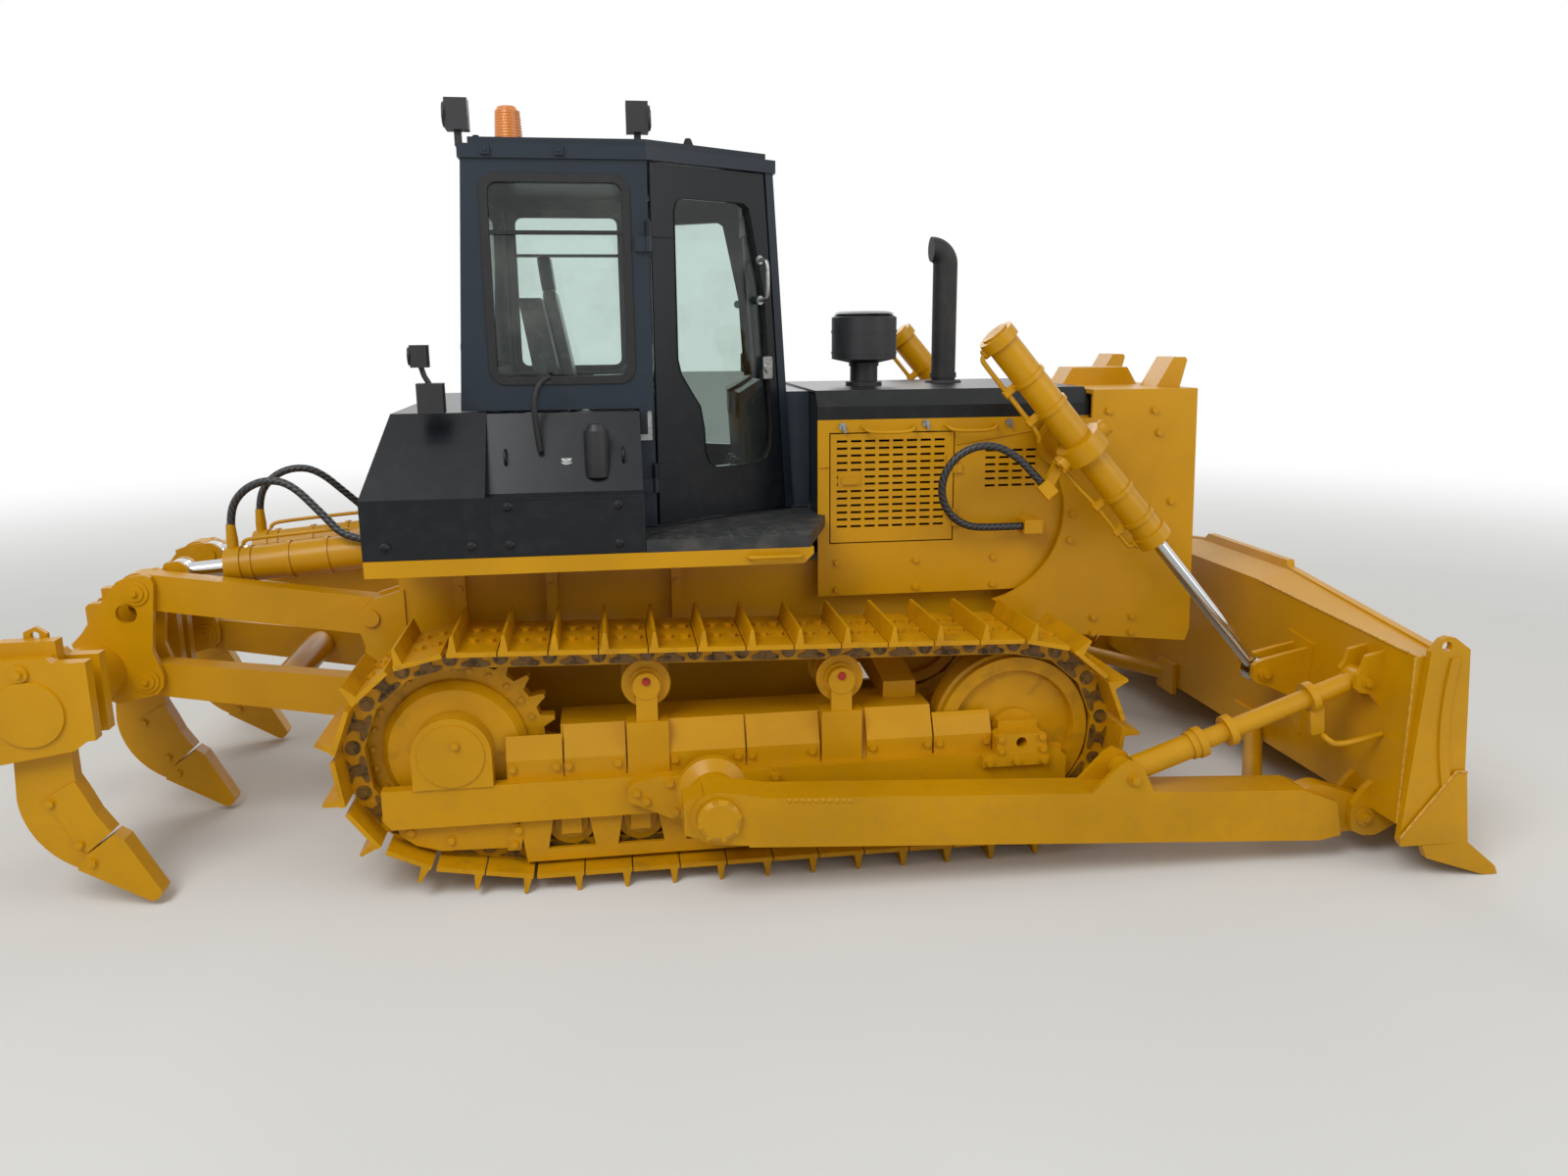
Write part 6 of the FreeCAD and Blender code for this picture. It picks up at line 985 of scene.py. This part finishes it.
class MakeLiftPipes(bpy.types.Operator):
    """Make the hard pipes, caps and clamps of the lift cylinders"""

    bl_idname = "tractor.make_lift_pipes"
    bl_label = "Lift cylinder pipes"

    def execute(self, context):
        length = math.dist((YOKE[0], YOKE[2]), LIFT_EYE)
        along = ((LIFT_EYE[0] - YOKE[0]) / length, (LIFT_EYE[1] - YOKE[2]) / length)
        up = (-along[1], along[0])
        if up[1] < 0:
            up = (-up[0], -up[1])

        def spot(run, lift, y=0):
            return YOKE[0] + along[0] * run + up[0] * lift, YOKE[1] + y, YOKE[2] + along[1] * run + up[1] * lift

        axis = (along[0], 0, along[1])
        for word, side in SIDES:
            top = [spot(-610, -70, 20), spot(-610, -108, 20), spot(-560, -112, 20), spot(-200, -112, 24),
                   spot(-150, -118, 40), spot(-138, -128, 50)]
            pipe("lift_pipe_rear_" + word, "lift_cylinders", [on_side(side, p) for p in top], 11, "yellow")
            low = [spot(535, -66, 20), spot(535, -106, 20), spot(500, -112, 20), spot(240, -112, 24),
                   spot(150, -120, 40), spot(-20, -124, 50)]
            pipe("lift_pipe_front_" + word, "lift_cylinders", [on_side(side, p) for p in low], 11, "yellow")
            bm = bmesh.new()
            for run, lift in ((-610, -66), (535, -64)):
                add_disc(bm, on_side(side, spot(run, lift, 20)), on_side(side, (-up[0], 0, -up[1])), 24, 26, 6)
            for run in (-420, -250, 260, 420):
                add_ring(bm, on_side(side, spot(run, 0)), on_side(side, axis), 77, 68, 22)
                add_disc(bm, on_side(side, spot(run + 11, -68, 22)), on_side(side, (-up[0], 0, -up[1])), 20, 60, 6)
            add_disc(bm, on_side(side, spot(-660, 0)), on_side(side, axis), 60, 12, 40)
            add_ring(bm, on_side(side, spot(572, 0)), on_side(side, axis), 50, 34, 16)
            place_piece("lift_cylinder_clamps_" + word, to_mesh("lift_cylinder_clamps_" + word, bm), "lift_cylinders",
                        "yellow")
            heads = []
            for k in range(8):
                turn = 2 * math.pi * k / 8
                place = spot(575, 68 * math.cos(turn), 68 * math.sin(turn))
                heads.append((on_side(side, place), on_side(side, axis)))
            bolts("lift_gland_bolts_" + word, "lift_cylinders", heads, 14)
            caps = []
            for way in (-1, 1):
                for a, b in ((-22, -22), (22, -22), (-22, 22), (22, 22)):
                    caps.append((on_side(side, spot(a, way * 134, b)), on_side(side, (way * up[0], 0, way * up[1]))))
            bolts("yoke_cap_bolts_" + word, "lift_cylinders", caps, 18)
        return {"FINISHED"}


class MakeSideBoxParts(bpy.types.Operator):
    """Make the bolts, rings, gauge, filter and breather of the side boxes, the rail's grips and the step's treads"""

    bl_idname = "tractor.make_side_box_parts"
    bl_label = "Side box parts"

    def execute(self, context):
        domes = bmesh.new()
        for x, z in ((-1515, 1486), (-1178, 1480), (-1028, 1482), (-590, 1474), (-1028, 1636), (-590, 1632)):
            for _, side in SIDES:
                face = -1095 if x < -1115 else -1097
                add_disc(domes, on_side(side, (x, face, z)), (0, side, 0), 26, 6, 20)
                add_disc(domes, on_side(side, (x, face - 6, z)), (0, side, 0), 19, 9, 20, 9)
        place_piece("side_box_studs", to_mesh("side_box_studs", domes), "tractor", "box")
        covers = bmesh.new()
        for _, side in SIDES:
            lower = [(-1098, -1097, 1446), (-500, -1097, 1446), (-500, -1097, 1660), (-1098, -1097, 1660)]
            add_plate(covers, [on_side(side, p) for p in lower], (0, side, 0), 4, 14)
        place_piece("side_box_covers", to_mesh("side_box_covers", covers), "tractor", "box")
        slope = Vector((0, -273, 210)).normalized()
        fittings, dark = bmesh.new(), bmesh.new()
        for word, side in SIDES:
            normal = on_side(side, tuple(slope))
            for k, x in enumerate((-1040, -560)):
                ring = [(x, -912 - 8, 1776 + 8), (x, -912 - 40, 1776 + 26), (x, -880 - 40, 1830 + 26), (x, -880 - 8, 1830 + 8)]
                pipe("lifting_ring_" + word + "_" + str(k + 1), "tractor", [on_side(side, p) for p in ring], 6, "box")
            if word == "right":
                add_disc(fittings, (-793, -905, 1800), normal, 30, 9, 28)
                add_disc(fittings, (-793, -905, 1800), normal, 21, 12, 28)
                add_disc(dark, (-668, -930, 1730), (0, 0, 1), 52, 190, 32)
                add_disc(dark, (-668, -930, 1920), (0, 0, 1), 44, 26, 32, 30)
        place_piece("tank_gauges", to_mesh("tank_gauges", fittings), "tractor", "zinc")
        place_piece("tank_filters", to_mesh("tank_filters", dark), "tractor", "plastic")
        breather = [(-897, -920, 1840), (-912, -930, 1960), (-912, -925, 2060), (-880, -905, 2130), (-846, -890, 2140)]
        pipe("tank_breather", "tractor", breather, 13, "rubber")
        for word, side in SIDES:
            grip = [(-62, -1105, 1400), (-62, -1130, 1400), (-40, -1134, 1400), (138, -1134, 1400), (159, -1130, 1400),
                    (159, -1105, 1400)]
            pipe("rail_grip_" + word, "tractor", [on_side(side, p) for p in grip], 9, "yellow")
        treads = bmesh.new()
        for _, side in SIDES:
            for k in range(13):
                for row in range(4):
                    x, y = -440 + 48 * k, -1075 + 54 * row
                    lean = 12 if (k + row) % 2 else -12
                    bar = [(x - 14, y - lean / 2, 1484), (x + 14, y + lean / 2, 1484), (x + 14, y + lean / 2 + 7, 1484),
                           (x - 14, y - lean / 2 + 7, 1484)]
                    add_plate(treads, [on_side(side, p) for p in bar], (0, 0, 1), 4)
        place_piece("step_treads", to_mesh("step_treads", treads), "tractor", "tread")
        return {"FINISHED"}


class MakeBladeParts(bpy.types.Operator):
    """Make the blade's welds, the brace's clamp and loop, and the pins' keepers"""

    bl_idname = "tractor.make_blade_parts"
    bl_label = "Blade parts"

    def execute(self, context):
        for word, side in SIDES:
            weld = sizes().weld / MM
            seams = (
                ((2850, -1694, 488), (2900, -1694, 480)), ((2850, -1694, 488), (2624, -1694, 203)),
                ((2634, -1650, 250), (2634, -1650, 985)), ((2636, -1650, 985), (2810, -1650, 985)),
                ((2636, -1600, 989), (2636, -460, 1054)),
            )
            for k, seam in enumerate(seams):
                pipe("blade_weld_" + word + "_" + str(k + 1), "blade_frame", [on_side(side, p) for p in seam], weld,
                     "weld", 2)
            loop = [(2376, -1470, 596), (2376, -1500, 590), (2420, -1500, 560), (2560, -1500, 582), (2630, -1500, 600)]
            pipe("brace_stay_" + word, "blade_frame", [on_side(side, p) for p in loop], 13, "yellow")
            clamp = bmesh.new()
            lean = math.atan2(822 - 456, 2565 - 1520)
            way = (math.cos(lean), 0, math.sin(lean))
            for run in (330, 470, 860):
                foot = (1520 + way[0] * run, -1390, 456 + way[2] * run)
                add_disc(clamp, on_side(side, foot), on_side(side, way), 68, 34, 32)
            add_plate(clamp, [on_side(side, p) for p in ((2336, -1408, 690), (2400, -1408, 712), (2412, -1408, 590),
                                                         (2352, -1408, 580))], (0, side, 0), 16, 10)
            place_piece("brace_clamps_" + word, to_mesh("brace_clamps_" + word, clamp), "blade_frame", "yellow")
        dots = [(45 + 28 * k, -1480, 464 - 2 * k) for k in range(10)]
        heads = outward([(1520, -1488, 456), (2565, -1466, 822), (2610, -1482, 205), (2412, -944, 712)])
        bolts("blade_pin_keepers", "blade_frame", both_sides(heads), 34)
        bm = bmesh.new()
        for place in dots:
            for _, side in SIDES:
                add_disc(bm, on_side(side, place), (0, side, 0), 10, 6, 10, 5)
        place_piece("arm_plug_welds", to_mesh("arm_plug_welds", bm), "blade_frame", "yellow")
        edge = [((2972 + 6, y, 105), (0.9, 0, 0.45)) for y in range(-1560, 1600, 240)]
        bolts("cutting_edge_bolts", "blade_frame", edge, 30, "weld")
        return {"FINISHED"}


class MakeRipperParts(bpy.types.Operator):
    """Make the ripper's pin keepers, protector bolts, hose ferrules and cylinder pipes"""

    bl_idname = "tractor.make_ripper_parts"
    bl_label = "Ripper parts"

    def execute(self, context):
        heads, ties = [], []
        for middle in (-1000, 0, 1000):
            for way in (-1, 1):
                for x, z in ((-2901, 480), (-2813, 296), (-2773, 214)):
                    depth = 42 if z > 250 else 46
                    heads.append(((x, middle + way * depth, z), (0, way, 0)))
                ties.append(((-2915, middle + way * 109, 1039), (0, way, 0)))
        bolts("protector_pins", "ripper_tool", heads, 30)
        ends = bmesh.new()
        for _, side in SIDES:
            add_disc(ends, on_side(side, (-2905, -1090, 872)), (0, side, 0), 136, 17, 56, 132)
        place_piece("ripper_end_caps", to_mesh("ripper_end_caps", ends), "ripper_tool", "yellow")
        bolts("ripper_pin_keepers", "ripper_tool", ties, 28)
        pins = [((-2694, way * y, z), (0, side * way, 0)) for z in (817, 1217) for side, y in ((1, 503), (-1, 297))
                for way in (-1, 1)]
        bolts("ripper_arm_pin_bolts", "ripper_tool", pins, 26)
        for word, side in SIDES:
            collars = bmesh.new()
            for place, way in ((RIPPER_ROUTE[0], (0, 0, 1)), (RIPPER_ROUTE[-1], (-1, 0, 0))):
                body_place = tuple(a + b * 4 for a, b in zip(place, way))
                if way == (-1, 0, 0):
                    add_disc(collars, on_side(side, body_place), way, 24, 60, 20, 20)
            place_piece("ripper_hose_ferrule_fixed_" + word, to_mesh("ripper_hose_ferrule_fixed_" + word, collars),
                        "tractor", "zinc")
            moving = bmesh.new()
            add_disc(moving, on_side(side, RIPPER_ROUTE[0]), (0, 0, 1), 24, 60, 20, 20)
            for run in (250, 420, 590):
                x, z = -1665 - 0.9962 * run, 1335 - 0.0866 * run
                add_ring(moving, on_side(side, (x, -235, z)), (-0.9962, 0, -0.0866), 87, 78, 18)
            place_piece("ripper_cylinder_bands_" + word, to_mesh("ripper_cylinder_bands_" + word, moving),
                        "ripper_cylinders", "yellow")
            hard = [(-2300, -235, 1368), (-2300, -235, 1392), (-2240, -250, 1404), (-1900, -250, 1434),
                    (-1840, -250, 1436), (-1826, -240, 1424)]
            pipe("ripper_pipe_" + word, "ripper_cylinders", [on_side(side, p) for p in hard], 9, "yellow")
        return {"FINISHED"}


class MakeCabInside(bpy.types.Operator):
    """Make the seat's cushions, the levers, the pedals and the dash's round speaker"""

    bl_idname = "tractor.make_cab_inside"
    bl_label = "Cab inside"

    def execute(self, context):
        for name, corners, thick in (
                ("seat_cushion_pad", ((-845, -240, 1888), (-370, -240, 1888), (-370, 240, 1888), (-845, 240, 1888)), 70),
                ("seat_arm_right", ((-690, -408, 2050), (-500, -408, 2050), (-500, -312, 2050), (-690, -312, 2050)), 50),
                ("seat_arm_left", ((-690, 312, 2050), (-500, 312, 2050), (-500, 408, 2050), (-690, 408, 2050)), 50)):
            bm = bmesh.new()
            add_plate(bm, corners, (0, 0, 1), thick, 40, 4)
            piece = place_piece(name, to_mesh(name, bm), "tractor", "seat")
            soft = piece.modifiers.new("rounded", "BEVEL")
            soft.width = 0.018
            soft.segments = 4
        bm = bmesh.new()
        back = ((-780, -225, 1900), (-780, 225, 1900), (-895, 225, 2500), (-895, -225, 2500))
        add_plate(bm, back, (0.98, 0, 0.19), 60, 60, 4)
        add_plate(bm, ((-895, -130, 2494), (-895, 130, 2494), (-915, 130, 2664), (-915, -130, 2664)), (1, 0, 0.1), 60,
                  40, 4)
        piece = place_piece("seat_back_pad", to_mesh("seat_back_pad", bm), "tractor", "seat")
        soft = piece.modifiers.new("rounded", "BEVEL")
        soft.width = 0.018
        soft.segments = 4
        for k, (x, y, reach) in enumerate(((-420, -360, 230), (-480, -360, 200), (-400, 360, 230))):
            pipe("lever_" + str(k + 1), "tractor", [(x, y, 2040), (x + 10, y, 2120), (x + 40, y, 2040 + reach)], 8, "zinc")
            knob = bmesh.new()
            bmesh.ops.create_uvsphere(knob, u_segments=20, v_segments=12, radius=0.026,
                                      matrix=Matrix.Translation(at((x + 41, y, 2046 + reach))))
            place_piece("lever_knob_" + str(k + 1), to_mesh("lever_knob_" + str(k + 1), knob), "tractor", "plastic")
        dash = bmesh.new()
        for y in (-150, 150):
            add_disc(dash, (2, y, 1960), (-1, 0, 0), 62, 8, 32, 56)
        add_disc(dash, (40, 0, 2052), (-0.5, 0, 0.85), 70, 18, 32)
        add_ring(dash, (44, -290, 2004), (0, -1, 0), 40, 28, 8)
        for y in (-120, 0, 120):
            add_plate(dash, [(-70, y - 32, 1560), (0, y - 32, 1560), (20, y - 32, 1700), (-10, y - 32, 1700)], (0, 1, 0), 64)
        place_piece("dash_dials", to_mesh("dash_dials", dash), "tractor", "plastic")
        wiper = [(150, -190, 2260), (132, -120, 2400), (112, -20, 2620)]
        pipe("front_wiper", "tractor", [(x + 58, y, z) for x, y, z in wiper], 7, "plastic", 2)
        mirror = bmesh.new()
        add_plate(mirror, [(60, y, z) for y, z in ((-120, 2760), (120, 2760), (120, 2850), (-120, 2850))], (1, 0, 0),
                  18, 12)
        place_piece("inside_mirror", to_mesh("inside_mirror", mirror), "tractor", "plastic")
        pipe("mirror_stalk", "tractor", [(69, 0, 2840), (69, 0, 2920), (69, 0, 3004)], 8, "plastic", 2)
        return {"FINISHED"}


# Stage

CAMERA_PLACE = (-0.62414, -5.84369, 2.32822)
CAMERA_YAW = -8.5302
CAMERA_PITCH = 12.5580
CAMERA_ROLL = 0.4458
CAMERA_FOCAL = 1191.954
FRAME_WIDTH = 1600


class MakeStage(bpy.types.Operator):
    """Make the floor, the lights and the camera"""

    bl_idname = "tractor.make_stage"
    bl_label = "Stage"

    def execute(self, context):
        bm = bmesh.new()
        bmesh.ops.create_grid(bm, x_segments=1, y_segments=1, size=60.0)
        floor_mesh = bpy.data.meshes.new("studio_floor")
        bm.to_mesh(floor_mesh)
        bm.free()
        floor = bpy.data.objects.new("studio_floor", floor_mesh)
        context.scene.collection.objects.link(floor)
        floor_mesh.materials.append(finish("floor"))
        self.light(context, "key", (-4.5, -7.0, 8.5), (0.0, 0.0, 0.8), 5.0, 520.0)
        self.light(context, "fill", (7.0, -6.5, 4.5), (0.8, 0.0, 0.8), 6.0, 170.0)
        self.light(context, "back", (1.0, 8.0, 7.5), (0.0, 0.0, 1.0), 6.0, 330.0)
        self.world(context)
        self.camera(context)
        return {"FINISHED"}

    def light(self, context, name, place, target, size, watts):
        """A square soft box that looks at a target."""
        lamp = bpy.data.lights.new(name, "AREA")
        lamp.size = size
        lamp.energy = watts
        item = bpy.data.objects.new(name, lamp)
        context.scene.collection.objects.link(item)
        item.location = place
        item.rotation_euler = (Vector(target) - Vector(place)).to_track_quat("-Z", "Y").to_euler()

    def world(self, context):
        """An even pale sky that the camera, mirrors and windows show as white."""
        world = bpy.data.worlds.new("studio")
        world.use_nodes = True
        tree = world.node_tree
        tree.nodes.clear()
        output = add_node(tree, "ShaderNodeOutputWorld")
        path = add_node(tree, "ShaderNodeLightPath")
        seen = add_node(tree, "ShaderNodeMath", {"operation": "MAXIMUM"}, {
            0: path.outputs["Is Camera Ray"], 1: path.outputs["Is Glossy Ray"]}).outputs["Value"]
        seen = add_node(tree, "ShaderNodeMath", {"operation": "MAXIMUM"}, {
            0: seen, 1: path.outputs["Is Transmission Ray"]}).outputs["Value"]
        strength = add_node(tree, "ShaderNodeMapRange", inputs={
            "Value": seen, "To Min": 0.45, "To Max": 1.0}).outputs["Result"]
        sky = add_node(tree, "ShaderNodeBackground", inputs={"Color": linear("FFFFFF"), "Strength": strength})
        tree.links.new(sky.outputs["Background"], output.inputs["Surface"])
        context.scene.world = world

    def camera(self, context):
        """The camera of the photograph, from its place, its three turns and its focal length in pixels."""
        data = bpy.data.cameras.new("photograph")
        data.sensor_fit = "HORIZONTAL"
        data.sensor_width = 36.0
        data.lens = CAMERA_FOCAL / FRAME_WIDTH * 36.0
        data.clip_end = 200.0
        item = bpy.data.objects.new("photograph", data)
        context.scene.collection.objects.link(item)
        turn = (Matrix.Rotation(math.radians(CAMERA_YAW), 4, "Z")
                @ Matrix.Rotation(math.radians(90 - CAMERA_PITCH), 4, "X")
                @ Matrix.Rotation(math.radians(-CAMERA_ROLL), 4, "Z"))
        item.matrix_world = Matrix.Translation(CAMERA_PLACE) @ turn
        context.scene.camera = item


CLASSES = [
    TractorPaint, TractorSizes, PaintNodes, MakeHoses, MakeTrackParts, MakeFrameBolts, MakeCabSeals,
    MakeCabFittings, MakeHoodFittings, MakeLiftPipes, MakeSideBoxParts, MakeBladeParts, MakeRipperParts,
    MakeCabInside, MakeStage,
]


class TractorPanel(bpy.types.Panel):
    """Lists the tractor's pieces in the sidebar"""

    bl_idname = "VIEW3D_PT_tractor"
    bl_label = "Tractor"
    bl_space_type = "VIEW_3D"
    bl_region_type = "UI"
    bl_category = "Tractor"

    def draw(self, context):
        for holder in (context.scene.tractor_paint, context.scene.tractor_sizes):
            for name in holder.__annotations__:
                self.layout.prop(holder, name)
        for kind in OPERATORS:
            self.layout.operator(kind.bl_idname)


OPERATORS = [kind for kind in CLASSES if issubclass(kind, bpy.types.Operator)]


def register():
    for kind in CLASSES + [TractorPanel]:
        bpy.utils.register_class(kind)
    bpy.types.Scene.tractor_paint = bpy.props.PointerProperty(type=TractorPaint)
    bpy.types.Scene.tractor_sizes = bpy.props.PointerProperty(type=TractorSizes)


def unregister():
    del bpy.types.Scene.tractor_paint
    del bpy.types.Scene.tractor_sizes
    for kind in reversed(CLASSES + [TractorPanel]):
        bpy.utils.unregister_class(kind)


def main():
    register()
    scene = bpy.context.scene
    scene.view_settings.view_transform = "Standard"
    for kind in OPERATORS:
        group, name = kind.bl_idname.split(".")
        getattr(getattr(bpy.ops, group), name)()
    bpy.context.view_layer.update()


if __name__ == "__main__":
    main()
